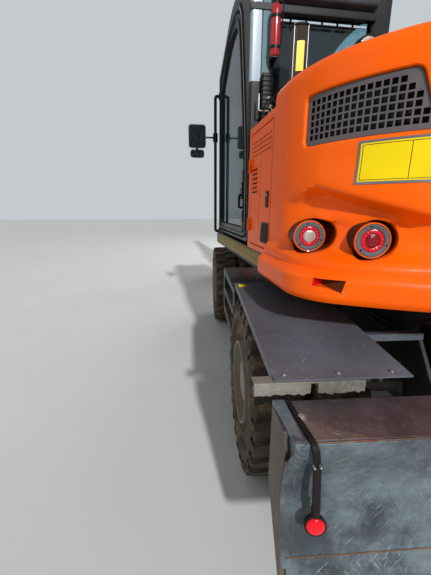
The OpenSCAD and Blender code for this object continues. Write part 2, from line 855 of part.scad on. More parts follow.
// A hinge knuckle outside the face x of a panel, with its leaf from y0 to y1 of the pin
module leaf_hinge(x, y, z, y0, y1) {
    translate([x, y, z]) {
        translate([10 + seat, 0, 0])
            cylinder(h = 40, r = 10);
        block([-1, y0, 0], [5, y1, 40]);
    }
}
module side_door(side) {
    upper() color(orange)
        mirror([side < 0 ? 1 : 0, 0, 0]) {
            block([deck_half - 30, 45 - tail_wing + door_gap, deck_top + 30 + door_gap],
                [deck_half, -bay_front - 55 - door_gap, door_top - 40 - door_gap]);
            for (z = door_hinges)
                leaf_hinge(deck_half, side_hinge_y, z + 40 + seat, -45, 0);
        }
}
module side_door_left() { side_door(-1); }
module side_door_right() { side_door(1); }

// Engine hood, hinged along the top of its front edge
module engine_hood() {
    wall = 12;
    low = hood_low + side_gap;
    front = -bay_front - 20;
    back = 4 - tail_front;
    upper() color(dark) {
        difference() {
            plate(-hood_half, hood_half, [
                [back, low, 0], [back, hood_top - 40, 60], [-1000, hood_top, 300],
                [front, hood_top - 14, 0], [front, low, 0]]);
            plate(-hood_half + wall, hood_half - wall, [
                [back + wall, low - 1, 0], [back + wall, hood_top - 40 - wall, 48],
                [-1000, hood_top - wall, 288], [front - wall, hood_top - 14 - wall, 0],
                [front - wall, low - 1, 0]]);
        }
        for (x = [-400, 340]) {
            bar_x(x, x + 60, hood_pin, 10);
            block([x, front - 2, hood_pin[1] - 10], [x + 60, hood_pin[0], hood_pin[1] - 2]);
        }
    }
}

module tank_body() {
    upper() color(orange)
        plate(460, deck_half - 5, [
            [-cab_rear, deck_top + seat, 0], [-cab_rear, 1960, 80], [80, 1960, 80], [300, rail_foot, 80],
            [770, rail_foot, 60], [820, deck_top + seat, 0]]);
}

// Cab

// Side outline of the cab, moved inwards by inset
function cab_side(inset) = [
    [-cab_rear + inset, deck_top + 30 + inset, 20], [-cab_rear + inset, cab_top - 20 - inset, 140],
    [-80, cab_top - inset, 500], [600 - inset, cab_top - 330 - inset, 400], [cab_front - inset, 2300, 250],
    [cab_front - inset, deck_top + 30 + inset, 60]];
// The cab's front left edge stands in by the taper
cab_corner = cab_left - (cab_front - cab_bend) * tan(cab_taper);
module cab_body(inset) {
    intersection() {
        plate(-cab_left, -cab_right - inset, cab_side(inset));
        translate([0, 0, deck_top])
            linear_extrude(cab_top - deck_top + 1)
                polygon([[inset - cab_left, -cab_rear - 5], [-cab_right, -cab_rear - 5], [-cab_right, cab_front + 5],
                    [inset - cab_corner, cab_front], [inset - cab_left, cab_bend]]);
    }
}
door_rear = -650;
door_front = 440;
// Door outline, moved inwards by inset
function door_side(inset) = [
    [door_rear + inset, deck_top + 60 + inset, 60], [door_rear + inset, 1960, 500],
    [-400 + inset, cab_top - 110 - inset, 220], [20, cab_top - 130 - inset, 400],
    [door_front - inset, cab_top - 350 - inset, 60], [door_front - inset, deck_top + 60 + inset, 50]];

module cab_windows(grow) {
    // Rear window
    block([-cab_left + 130 - grow, -cab_rear - 10, 2240 - grow], [-cab_right - 130 + grow, -cab_rear + 90, 2930 + grow]);
    // Windscreen
    block([-cab_corner + 75 - grow, 640 - grow, 1560 - grow], [-cab_right - 90 + grow, cab_front + 10, 2690 + grow]);
    // Right side
    plate(-cab_right - 80, -cab_right + 10, [
        [-cab_rear + 130 - grow, 1900 - grow, 40], [-cab_rear + 130 - grow, 2920 + grow, 60],
        [-40 + grow, 2940 + grow, 200], [560 + grow, 2660 + grow, 200], [cab_front - 90 + grow, 2260, 100],
        [cab_front - 90 + grow, 1900 - grow, 40]]);
    // Left side ahead of the door
    plate(-cab_left - 10, -cab_corner + 60, [
        [cab_bend + 60 - grow, 1560 - grow, 40], [cab_bend + 60 - grow, 2620 + grow, 30],
        [cab_bend + 150 + grow, 2560 + grow, 100], [cab_front - 90 + grow, 2200, 60],
        [cab_front - 90 + grow, 1560 - grow, 40]]);
}

module cab_shell() {
    upper() color(dark) {
        difference() {
            cab_body(0);
            cab_body(cab_wall);
            cab_windows(0);
            plate(-cab_left - 1, -cab_left + cab_wall + 1, door_side(-door_gap));
        }
        for (x = [-cab_left + 120, -cab_right - 220], y = [-cab_rear + 100, cab_front - 250])
            block([x, y, deck_top + seat], [x + 100, y + 100, deck_top + 31]);
        mirror([1, 0, 0])
            for (z = cab_hinges)
                leaf_hinge(cab_left, door_rear - door_gap / 2, z, -45, 0);
    }
}
module cab_glass() {
    mid = cab_wall / 2;
    upper() color(pane, 0.5)
        intersection() {
            difference() {
                cab_body(mid);
                cab_body(mid + glass_t);
            }
            cab_windows(-seat);
        }
}
module cab_door() {
    upper() color(dark) {
        difference() {
            plate(-cab_left, -cab_left + cab_wall, door_side(0));
            plate(-cab_left - 1, -cab_left + cab_wall + 1, door_side(60));
        }
        mirror([1, 0, 0])
            for (z = cab_hinges)
                leaf_hinge(cab_left, door_rear - door_gap / 2, z + 40 + seat, 0, 45);
    }
}
module door_glass() {
    upper() color(pane, 0.5)
        plate(-cab_left + 20, -cab_left + 20 + glass_t, door_side(60 + seat));
}
module seat() {
    mid = -(cab_left + cab_right) / 2;
    z = deck_top + 30 + cab_wall;
    upper() color("#33353a")
        translate([mid, -110, z]) {
            block([-200, -120, seat], [200, 330, 280]);
            plate(-240, 240, [[-130, 280, 0], [330, 280, 40], [350, 400, 60], [-60, 390, 60], [-190, 1150, 60],
                [-320, 1120, 60], [-180, 300, 60]]);
        }
}
module controls() {
    mid = -(cab_left + cab_right) / 2;
    z = deck_top + 30 + cab_wall;
    upper() color("#2a2b2d")
        translate([mid, 0, z]) {
            translate([0, 820, seat])
                rotate([22, 0, 0])
                    translate([0, 0, 19]) {
                        cylinder(h = 700, r = 45);
                        translate([0, 0, 700])
                            rotate_extrude()
                                translate([180, 0])
                                    circle(r = 16);
                        block([-180, -20, 692], [180, 20, 708]);
                    }
            block([-90, 760, seat], [90, 860, 60]);
        }
}

module handrails() {
    side = deck_half - 90;
    upper() color(dark) {
        rail([side, 740, rail_foot + seat], [side, 740, 2350], 18);
        rail([side, 400, 2350], [side, 740, 2350], 18);
        rail([side, 400, rail_foot + seat], [side, 400, 2350], 18);
        // Grab rail beside the cab door
        rail([-grip_x, cab_bend - 28, 1300], [-grip_x, cab_bend - 28, 2690], 16);
        for (z = [1380, 2640])
            rail([-grip_x, cab_bend - 28, z], [-cab_left - seat, cab_bend - 28, z], 14);
    }
}
module mirrors() {
    left = cab_bend - 46;
    right = deck_half - 90 + 18 + seat;
    upper() color(dark) {
        block([-1515, left, 2096], [-1341, left + 35, 2408]);
        block([-1342, left + 10, 2280], [-grip_x - 16 - seat, left + 26, 2305]);
        block([1425, 725, 1960], [1600, 760, 2300]);
        block([right, 732, 2140], [1426, 752, 2165]);
    }
}
module work_lamps() {
    x = -deck_half + 60;
    upper() color(dark)
        block([x, -tail_wing + 20, door_top + seat], [x + 120, -tail_wing + 90, door_top + 90]);
}
module lubricator() {
    upper() color("#6b5a2a")
        translate([225 - deck_half, -960, door_top + seat])
            cylinder(h = 500, r = 60);
}
module exhaust() {
    upper() color(steel)
        translate([760, -1050, door_top + seat])
            cylinder(h = 420, r = 55);
}

// Working equipment

module boom() {
    cheek_in = arm_half + side_gap;
    cheek = cheek_in + 38;
    slot = 570;
    in_boom() color(orange) {
        difference() {
            union() {
                plate(-boom_half, boom_half, [
                    [-60, -175, 120], [900, 190, 300], [1500, 460, 500], [1950, 560, 400], [2350, 500, 400],
                    [3400, 140, 900], [boom_len + 60, -190, 150], [boom_len + 150, 130, 150],
                    [3600, 500, 900], [2700, 930, 600], [2050, 1150, 400], [1500, 1040, 500], [800, 690, 500],
                    [-150, 150, 120]], 8);
                bar_x(-boom_half, boom_half, [0, 0], 165);
                for (s = [-1, 1])
                    translate([s > 0 ? boom_half - 30 : -cheek, 0, 0])
                        plate(0, cheek - boom_half + 30, [
                            [boom_len - slot - 140, 60, 60], [boom_len + 60, -200, 150], [boom_len + 160, 130, 150],
                            [boom_len - slot - 140, 330, 60]]);
            }
            // Slot for the arm, and the foot's bore
            block([-cheek_in, boom_len - slot, -500], [cheek_in, boom_len + 400, 600]);
            bar_x(-boom_half - 1, boom_half + 1, [0, 0], pin_r + 8 + pin_gap);
        }
        bar_x(-cheek - 12, cheek + 12, [boom_len, 0], pin_r);
        // Bosses for the lifting rams' rods
        for (s = [-1, 1])
            bar_x(s > 0 ? boom_half - 5 : -206, s > 0 ? 206 : -boom_half + 5, boom_ram_pin, 75);
        // Lugs and pin of the arm ram
        for (x = [-112, 76])
            plate(x, x + 36, [
                [arm_ram_base[0] - 260, 1040, 40], [arm_ram_base[0] - 60, arm_ram_base[1] + 75, 60],
                [arm_ram_base[0] + 70, arm_ram_base[1] + 70, 60], [arm_ram_base[0] + 240, 1040, 40]]);
        bar_x(-116, 116, arm_ram_base, pin_r);
    }
}
module boom_barrels() {
    upper() color(dark)
        for (s = [-1, 1])
            translate([boom_x + s * 255, 0, 0])
                along(boom_ram_base, boom_ram(0))
                    ram_barrel(boom_closed, 62, 38, 70, 40, pin_r + pin_gap);
}
module boom_rods() {
    upper() color(steel)
        for (s = [-1, 1])
            translate([boom_x + s * 255, 0, 0])
                along(boom_ram_base, boom_ram(0))
                    ram_rod(boom_closed, norm(boom_ram(0)), 38, 70, 40, pin_r);
}
module arm_barrel() {
    in_boom() color(dark)
        along(arm_ram_base, arm_ram(0))
            ram_barrel(arm_closed, 70, 42, 75, 70, pin_r + pin_gap);
}
module arm_rod() {
    in_boom() color(steel)
        along(arm_ram_base, arm_ram(0))
            ram_rod(arm_closed, norm(arm_ram(0)), 42, 75, 44, pin_r);
}
module arm() {
    in_arm() color(orange) {
        difference() {
            union() {
                plate(-arm_half, arm_half, [
                    [horn_pin[0] - 80, horn_pin[1] - 80, 80], [-120, -210, 200], [400, -215, 200],
                    [1700, -115, 400], [arm_len + 110, -110, 108], [arm_len + 110, 110, 108], [1700, 125, 400],
                    [500, 300, 400], [-100, 300, 300], [horn_pin[0] - 80, horn_pin[1] + 90, 80]], 8);
                bar_x(-arm_half - 46, arm_half + 46, rocker_pin, 62);
                for (x = [-100, 64])
                    plate(x, x + 36, [
                        [bucket_ram_base[0] - 240, 230, 30], [bucket_ram_base[0] - 70, bucket_ram_base[1] + 70, 60],
                        [bucket_ram_base[0] + 70, bucket_ram_base[1] + 70, 60], [bucket_ram_base[0] + 260, 230, 30]]);
            }
            bar_x(-arm_half - 1, arm_half + 1, [0, 0], pin_r + pin_gap);
            bar_x(-arm_half - 1, arm_half + 1, [arm_len, 0], pin_r + pin_gap);
            // Open slot between the horn's plates
            block([-56, -2000, -500], [56, horn_pin[0] + 330, 700]);
        }
        bar_x(-104, 104, bucket_ram_base, pin_r);
        bar_x(-arm_half - 80, arm_half + 80, rocker_pin, 36);
    }
}
module bucket_barrel() {
    in_arm() color(dark)
        along(bucket_ram_base, bucket_ram(0))
            ram_barrel(bucket_closed, 58, 34, 65, 58, pin_r + pin_gap);
}
module bucket_rod() {
    in_arm() color(steel)
        along(bucket_ram_base, bucket_ram(0))
            ram_rod(bucket_closed, norm(bucket_ram(0)), 34, 65, 42, pin_r);
}
module rocker() {
    x0 = arm_half + 46 + side_gap;
    v = crank_pin - rocker_pin;
    in_arm() color(orange)
        for (s = [0, 1])
            mirror([s, 0, 0])
                difference() {
                    union() {
                        bar_x(x0, x0 + 26, rocker_pin, 62);
                        bar_x(x0, x0 + 26, crank_pin, 58);
                        translate([x0, 0, 0])
                            along(rocker_pin, v)
                                block([3, 0, -50], [23, norm(v), 50]);
                    }
                    bar_x(x0 - 1, x0 + 27, rocker_pin, 36 + pin_gap);
                }
}
module push_link() {
    low = crank_pin + link_vec;
    half = arm_half + side_gap - 6;
    in_arm() color(orange) {
        difference() {
            union() {
                for (s = [0, 1])
                    mirror([s, 0, 0]) {
                        translate([54, 0, 0])
                            along(crank_pin, link_vec)
                                block([0, 0, -42], [54, norm(link_vec), 42]);
                        bar_x(54, arm_half + 46, crank_pin, 55);
                    }
                bar_x(-half, half, low, 60);
            }
            bar_x(-half - 1, half + 1, low, 36 + pin_gap);
        }
    }
}

module bucket() {
    half = bucket_w / 2;
    ear = [arm_half + side_gap, arm_half + side_gap + 40];
    link_pin = rot2([pin_pitch, 0], -pin_tilt);
    floor_z = -bucket_depth;
    outer = [
        [-930, floor_z, 0], [-200, floor_z, 300], [340, floor_z + 240, 420], [330, -150, 120],
        [-150, -165, 40], [-205, -215, 0]];
    inner = [
        [-900, floor_z + 22, 0], [-205, floor_z + 22, 280], [318, floor_z + 250, 400], [308, -172, 100],
        [-142, -187, 20], [-190, -240, 0], [-960, floor_z + 40, 0]];
    in_bucket() color(grey) {
        difference() {
            plate(-half + 20, half - 20, outer, 8);
            plate(-half, half, inner, 8);
        }
        for (s = [0, 1])
            mirror([s, 0, 0]) {
                plate(half - 22, half, outer, 8);
                plate(ear[0], ear[1], [
                    [-190, -180, 40], [-110, 30, 80], [0, 95, 90], [link_pin[0] - 30, link_pin[1] + 70, 80],
                    [link_pin[0] + 80, link_pin[1] - 10, 70], [330, -260, 60], [300, -200, 0], [-150, -180, 0]]);
            }
        bar_x(-ear[1] - 10, ear[1] + 10, [0, 0], pin_r);
        bar_x(-ear[1] - 10, ear[1] + 10, link_pin, 36);
        for (i = [0:teeth - 1])
            translate([-half + 60 + i * (bucket_w - 120) / (teeth - 1), 0, 0])
                plate(-42, 42, [[-1010, floor_z + 2, 0], [-880, floor_z, 0], [-880, floor_z + 60, 0], [-960, floor_z + 45, 20]]);
    }
}

chassis_frame();
blade_brackets();
tie_down_eyes();
slewing_ring();
rear_axle_beam();
front_axle_beam();
driveline();
rear_mudguards();
side_steps();
knuckle_left();
knuckle_right();
steering_rod();
rims_rear_left();
rims_rear_right();
rims_front_left();
rims_front_right();
tyres_rear_left();
tyres_rear_right();
tyres_front_left();
tyres_front_right();
blade();
blade_arms();
blade_links();
blade_barrels();
blade_rods();
upper_frame();
counterweight();
tail_grilles();
tail_lamps();
engine_block();
rear_bodywork();
tank_body();
side_door_left();
side_door_right();
engine_hood();
cab_shell();
cab_glass();
cab_door();
door_glass();
seat();
controls();
handrails();
mirrors();
work_lamps();
lubricator();
exhaust();
boom();
boom_barrels();
boom_rods();
arm_barrel();
arm_rod();
arm();
bucket_barrel();
bucket_rod();
rocker();
push_link();
bucket();
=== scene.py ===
"""Looks of a wheeled excavator: meshes, finishes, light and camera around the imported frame."""
import json
import logging
import math
import random
from dataclasses import dataclass, field
from enum import Enum
from typing import Callable, Iterable, Sequence

import bmesh
import bpy
from mathutils import Matrix, Vector
from mathutils.geometry import delaunay_2d_cdt

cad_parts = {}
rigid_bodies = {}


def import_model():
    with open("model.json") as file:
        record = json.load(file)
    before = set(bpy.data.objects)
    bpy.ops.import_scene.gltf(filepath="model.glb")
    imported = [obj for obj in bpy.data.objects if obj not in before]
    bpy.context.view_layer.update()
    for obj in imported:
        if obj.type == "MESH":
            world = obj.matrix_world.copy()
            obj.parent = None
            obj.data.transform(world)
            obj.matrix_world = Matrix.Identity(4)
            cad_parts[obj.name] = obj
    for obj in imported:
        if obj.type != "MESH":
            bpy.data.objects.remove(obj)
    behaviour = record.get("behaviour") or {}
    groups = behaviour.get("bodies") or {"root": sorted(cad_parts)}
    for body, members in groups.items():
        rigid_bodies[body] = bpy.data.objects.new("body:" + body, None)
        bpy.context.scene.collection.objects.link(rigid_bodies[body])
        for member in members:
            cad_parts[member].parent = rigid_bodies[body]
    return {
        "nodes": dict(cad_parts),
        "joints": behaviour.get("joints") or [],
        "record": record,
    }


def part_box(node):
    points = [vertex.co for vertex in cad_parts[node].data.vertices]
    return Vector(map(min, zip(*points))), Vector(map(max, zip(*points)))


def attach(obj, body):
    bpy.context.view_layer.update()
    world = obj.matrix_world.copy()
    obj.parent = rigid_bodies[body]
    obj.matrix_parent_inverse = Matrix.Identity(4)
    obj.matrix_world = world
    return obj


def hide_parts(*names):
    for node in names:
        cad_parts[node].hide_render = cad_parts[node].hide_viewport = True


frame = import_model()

LOG = logging.getLogger("excavator")
Vec2 = tuple[float, float]
Vec3 = tuple[float, float, float]
MM = 0.001
UP: Vec3 = (0, 0, 1)
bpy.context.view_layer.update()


class Axis(Enum):
    """The axis that a prism or a lathe turns about, as the two directions across it and itself."""

    X = (Vector((0, 1, 0)), Vector((0, 0, 1)), Vector((1, 0, 0)))
    Z = (Vector((1, 0, 0)), Vector((0, 1, 0)), Vector((0, 0, 1)))


class Side(Enum):
    """Left or right side of the machine, as the sign of x."""

    LEFT = -1
    RIGHT = 1

    @property
    def word(self) -> str:
        """The side's name in lower case."""
        return self.name.lower()


def joint_place(name: str) -> Vector:
    """Position of a joint of the frame.

    Args:
        name: The joint's name.

    Returns:
        Its place in metres.
    """
    return Vector(next(j["pos_m"] for j in frame["joints"] if j["name"] == name))


@dataclass(frozen=True)
class Placement:
    """Matrices from each group's own millimetres to the frame's metres."""

    lower: Matrix
    upper: Matrix
    boom: Matrix
    arm: Matrix
    bucket: Matrix

    @classmethod
    def from_joints(cls) -> "Placement":
        """Reads the groups' places and turns from the frame's joints.

        Returns:
            The matrices of the machine's groups.
        """
        swing = joint_place("swing")
        hinge = next(j["axis"] for j in frame["joints"] if j["name"] == "boom_lift")
        turn = Matrix.Rotation(math.atan2(hinge[1], hinge[0]), 4, "Z")
        centre = Matrix.Translation((swing.x, swing.y, 0))
        points = [joint_place(n) for n in ("boom_lift", "arm_fold", "bucket_curl")]

        def along(start: Vector, end: Vector) -> Matrix:
            """A frame at start whose y axis points to end."""
            run = turn.inverted() @ (end - start)
            lean = Matrix.Rotation(math.atan2(run.z, run.y), 4, "X")
            return Matrix.Translation(start) @ turn @ lean @ Matrix.Scale(MM, 4)

        return cls(
            lower=centre @ Matrix.Scale(MM, 4),
            upper=centre @ turn @ Matrix.Scale(MM, 4),
            boom=along(points[0], points[1]),
            arm=along(points[1], points[2]),
            bucket=Matrix.Translation(points[2]) @ turn @ Matrix.Scale(MM, 4),
        )


PLACE = Placement.from_joints()


def arc(centre: Vec2, radius: float, start: float, end: float, steps: int) -> list[Vec2]:
    """Points along a circular arc.

    Args:
        centre: The arc's centre.
        radius: The arc's radius.
        start: First angle in degrees.
        end: Last angle in degrees.
        steps: Number of stretches between the points.

    Returns:
        The points, both ends included.
    """
    turns = (math.radians(start + (end - start) * i / steps) for i in range(steps + 1))
    return [(centre[0] + radius * math.cos(a), centre[1] + radius * math.sin(a)) for a in turns]


def rounded(
    points: Sequence[Sequence[float]], radius: float | Sequence[float], steps: int = 5, closed: bool = True
) -> list[Vector]:
    """Rounds the corners of a chain of points in the plane or in space.

    Args:
        points: The chain's corners.
        radius: Radius of the rounding, or one for each corner, less where a side is short.
        steps: Stretches in each corner.
        closed: Whether the last point joins the first.

    Returns:
        The rounded chain.
    """
    chain = [Vector(p) for p in points]
    count = len(chain)
    made: list[Vector] = []
    for i, here in enumerate(chain):
        if not closed and i in (0, count - 1):
            made.append(here)
            continue
        back, on = chain[i - 1] - here, chain[(i + 1) % count] - here
        size = radius[i] if isinstance(radius, Sequence) else radius
        reach = min(size, back.length * 0.49, on.length * 0.49)
        a, b = here + back.normalized() * reach, here + on.normalized() * reach
        for k in range(steps + 1):
            t = k / steps
            made.append(a.lerp(here, t).lerp(here.lerp(b, t), t))
    return made


def box_outline(low: Vec2, high: Vec2, radius: float, steps: int = 5) -> list[Vector]:
    """A rectangle's outline with round corners.

    Args:
        low: Lower left corner.
        high: Upper right corner.
        radius: Corner radius.
        steps: Stretches in each corner.

    Returns:
        The outline, counter-clockwise.
    """
    return rounded([low, (high[0], low[1]), high, (low[0], high[1])], radius, steps)


class Workpiece:
    """Collects the faces of one piece in its group's own millimetres."""

    def __init__(self, place: Matrix = Matrix.Identity(4)) -> None:
        """Starts an empty piece.

        Args:
            place: Matrix from the piece's millimetres to metres of the frame.
        """
        self.bm = bmesh.new()
        self.place = place

    def block(self, low: Vec3, high: Vec3) -> "Workpiece":
        """Adds a block between two corners."""
        corners = [Vector((x, y, z)) for x in (low[0], high[0]) for y in (low[1], high[1]) for z in (low[2], high[2])]
        verts = [self.bm.verts.new(c) for c in corners]
        for ring in ((0, 1, 3, 2), (4, 6, 7, 5), (0, 4, 5, 1), (2, 3, 7, 6), (0, 2, 6, 4), (1, 5, 7, 3)):
            self.bm.faces.new([verts[i] for i in ring])
        return self

    def loft(self, rings: Sequence[Sequence[Vector]], closed: bool = False) -> "Workpiece":
        """Joins rings of as many points each by quads, and fills the two ends.

        Args:
            rings: The rings in order.
            closed: Whether the last ring joins the first instead.

        Returns:
            The piece itself.
        """
        verts = [[self.bm.verts.new(p) for p in ring] for ring in rings]
        count = len(verts[0])
        pairs = list(zip(verts, verts[1:])) + ([(verts[-1], verts[0])] if closed else [])
        for a, b in pairs:
            for i in range(count):
                k = (i + 1) % count
                self.bm.faces.new((a[i], a[k], b[k], b[i]))
        if not closed:
            self.bm.faces.new(list(reversed(verts[0])))
            self.bm.faces.new(verts[-1])
        return self

    def prism(self, outline: Iterable[Sequence[float]], low: float, high: float, axis: Axis = Axis.X) -> "Workpiece":
        """Extrudes a flat outline along an axis.

        Args:
            outline: Points across the axis.
            low: Start along the axis.
            high: End along the axis.
            axis: The axis.

        Returns:
            The piece itself.
        """
        u, v, w = axis.value
        ring = [u * p[0] + v * p[1] for p in outline]
        return self.loft([[p + w * h for p in ring] for h in (low, high)])

    def lathe(
        self, profile: Sequence[Vec2], base: Vec3 = (0, 0, 0), axis: Vec3 | Vector = UP, sides: int = 32,
        closed: bool = False,
    ) -> "Workpiece":
        """Turns a profile about an axis.

        Args:
            profile: Points as radius and height.
            base: Where height 0 lies.
            axis: Direction of the axis.
            sides: Number of sides.
            closed: Whether the profile closes into a ring's section.

        Returns:
            The piece itself.
        """
        turn = Vector(UP).rotation_difference(Vector(axis)).to_matrix()
        rings = []
        for radius, height in profile:
            ring = [
                Vector((max(radius, 0.01) * math.cos(a), max(radius, 0.01) * math.sin(a), height))
                for a in (2 * math.pi * i / sides for i in range(sides))
            ]
            rings.append([Vector(base) + turn @ p for p in ring])
        return self.loft(rings, closed=closed)

    def rod(self, start: Vec3, end: Vec3, radius: float, sides: int = 24, edge: float = 0.0) -> "Workpiece":
        """Adds a round bar between two points, with its ends chamfered by edge."""
        run = Vector(end) - Vector(start)
        profile = [(radius - edge, 0), (radius, edge), (radius, run.length - edge), (radius - edge, run.length)]
        return self.lathe(profile if edge else [profile[1], profile[2]], start, run, sides)

    def tube(
        self, route: Sequence[Sequence[float]], radius: float, sides: int, closed: bool = False
    ) -> "Workpiece":
        """Sweeps a round section along a route.

        Args:
            route: The points that the middle follows.
            radius: Radius of the section.
            sides: Number of sides.
            closed: Whether the route runs back to its start, in one plane.

        Returns:
            The piece itself.
        """
        chain = [Vector(p) for p in route]
        count = len(chain)
        if closed:
            ways = [(chain[(i + 1) % count] - chain[i - 1]).normalized() for i in range(count)]
        else:
            ways = [(chain[min(i + 1, count - 1)] - chain[max(i - 1, 0)]).normalized() for i in range(count)]
        side = ways[0].orthogonal().normalized()
        rings = []
        for here, way in zip(chain, ways):
            side = (side - way * side.dot(way)).normalized()
            other = way.cross(side)
            turns = [2 * math.pi * i / sides for i in range(sides)]
            rings.append([here + (side * math.cos(a) + other * math.sin(a)) * radius for a in turns])
        return self.loft(rings, closed=closed)

    def ball(self, centre: Vec3, radius: float, rings: int = 10, squash: Vec3 = (1, 1, 1)) -> "Workpiece":
        """Adds a ball, drawn out along the axes by squash."""
        stretch = Matrix.Diagonal((*(Vector(squash) * radius), 1))
        made = Matrix.Translation(centre) @ stretch
        bmesh.ops.create_uvsphere(self.bm, u_segments=2 * rings, v_segments=rings, radius=1, matrix=made)
        return self

    def take(self, mesh: bpy.types.Mesh, at: Matrix = Matrix.Identity(4)) -> "Workpiece":
        """Adds a finished mesh at a place and removes it from the file."""
        mesh.transform(at)
        self.bm.from_mesh(mesh)
        bpy.data.meshes.remove(mesh)
        return self

    def move(self, matrix: Matrix) -> "Workpiece":
        """Moves all that the piece holds so far."""
        self.bm.transform(matrix)
        return self

    def both_sides(self) -> "Workpiece":
        """Adds the mirror image of all that the piece holds across the plane x = 0."""
        copy = bmesh.ops.duplicate(self.bm, geom=self.bm.verts[:] + self.bm.edges[:] + self.bm.faces[:])["geom"]
        for vert in (g for g in copy if isinstance(g, bmesh.types.BMVert)):
            vert.co.x = -vert.co.x
        bmesh.ops.reverse_faces(self.bm, faces=[g for g in copy if isinstance(g, bmesh.types.BMFace)])
        return self

    def mesh(self, name: str) -> bpy.types.Mesh:
        """Closes the piece into a mesh in its own millimetres.

        Args:
            name: Name of the mesh.

        Returns:
            The mesh, with its faces pointing outwards.
        """
        bmesh.ops.remove_doubles(self.bm, verts=self.bm.verts, dist=0.005)
        bmesh.ops.recalc_face_normals(self.bm, faces=self.bm.faces)
        mesh = bpy.data.meshes.new(name)
        self.bm.to_mesh(mesh)
        self.bm.free()
        return mesh

    def finish(self, name: str, body: str, finish: "Finish", **options: object) -> bpy.types.Object:
        """Puts the piece in its place on its body.

        Args:
            name: Name of the piece.
            body: Body that it rides on.
            finish: Its finish.
            options: Edges, slot and replaced nodes, as set_down takes them.

        Returns:
            The finished object.
        """
        mesh = self.mesh(name)
        mesh.transform(self.place)
        return set_down(mesh, name, body, finish, **options)


def set_down(
    mesh: bpy.types.Mesh, name: str, body: str, finish: "Finish", bevel: float = 0.0, segments: int = 2,
    smooth: float = 35.0, replaces: Sequence[str] = (), slot: str = "",
) -> bpy.types.Object:
    """Makes an object of a mesh that already lies in the frame, and gives it its finish.

    Args:
        mesh: The mesh in metres of the frame.
        name: Name of the piece.
        body: Body that it rides on.
        finish: Its finish.
        bevel: Width of the rounded edges in millimetres.
        segments: Steps across a rounded edge.
        smooth: Edges under this angle in degrees are shaded smooth.
        replaces: CAD nodes that it stands for.
        slot: Material slot of the record, or the finish's own; not used.

    Returns:
        The finished object.
    """
    mesh.materials.clear()
    mesh.materials.append(finish.material)
    mesh.shade_smooth()
    mesh.set_sharp_from_angle(angle=math.radians(smooth))
    piece = bpy.data.objects.new(name, mesh)
    bpy.context.scene.collection.objects.link(piece)
    if bevel:
        edge = piece.modifiers.new("edges", "BEVEL")
        edge.width = bevel * MM
        edge.segments = segments
        edge.limit_method = "ANGLE"
        edge.angle_limit = math.radians(smooth)
        edge.miter_outer = "MITER_ARC"
        edge.harden_normals = True
    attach(piece, body)
    slot = slot or finish.slot
    if replaces:
        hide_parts(*replaces)
    LOG.info("%s: %d faces on %s", name, len(mesh.polygons), body)
    return piece


def node_mesh(node: str, name: str) -> bpy.types.Mesh:
    """A merged copy of a CAD node's mesh, with its flat faces whole again.

    Args:
        node: The CAD node.
        name: Name of the new mesh.

    Returns:
        The mesh in metres of the frame.
    """
    bm = bmesh.new()
    bm.from_mesh(frame["nodes"][node].data)
    bmesh.ops.remove_doubles(bm, verts=bm.verts, dist=2e-5)
    bmesh.ops.dissolve_degenerate(bm, edges=bm.edges, dist=2e-5)
    bmesh.ops.dissolve_limit(bm, angle_limit=math.radians(0.4), verts=bm.verts, edges=bm.edges)
    mesh = bpy.data.meshes.new(name)
    bm.to_mesh(mesh)
    bm.free()
    return mesh


def body_of_node(node: str) -> str:
    """Name of the body that carries a CAD node."""
    bodies = frame["record"]["behaviour"]["bodies"]
    return next(body for body, members in bodies.items() if node in members)


def slot_of_node(node: str) -> str:
    """Name of the record's material slot of a CAD node."""
    return next(s["material_slot"] for s in frame["record"]["subparts"] if s["node"] == node)


def dress(node: str, finish: "Finish", bevel: float, segments: int = 2) -> bpy.types.Object:
    """Stands a piece with rounded edges and its finish in for a CAD node.

    Args:
        node: The CAD node, which gives the piece its name and its body.
        finish: Its finish.
        bevel: Width of the rounded edges in millimetres.
        segments: Steps across a rounded edge.

    Returns:
        The finished object.
    """
    name = f"{node}_finished"
    mesh, slot = node_mesh(node, name), slot_of_node(node)
    return set_down(mesh, name, body_of_node(node), finish, bevel, segments, 32.0, (node,), slot)


def ink(code: str) -> tuple[float, float, float, float]:
    """Linear colour of a six digit sRGB code."""
    parts = (int(code[i : i + 2], 16) / 255 for i in (0, 2, 4))
    linear = [p / 12.92 if p <= 0.04045 else ((p + 0.055) / 1.055) ** 2.4 for p in parts]
    return (linear[0], linear[1], linear[2], 1.0)


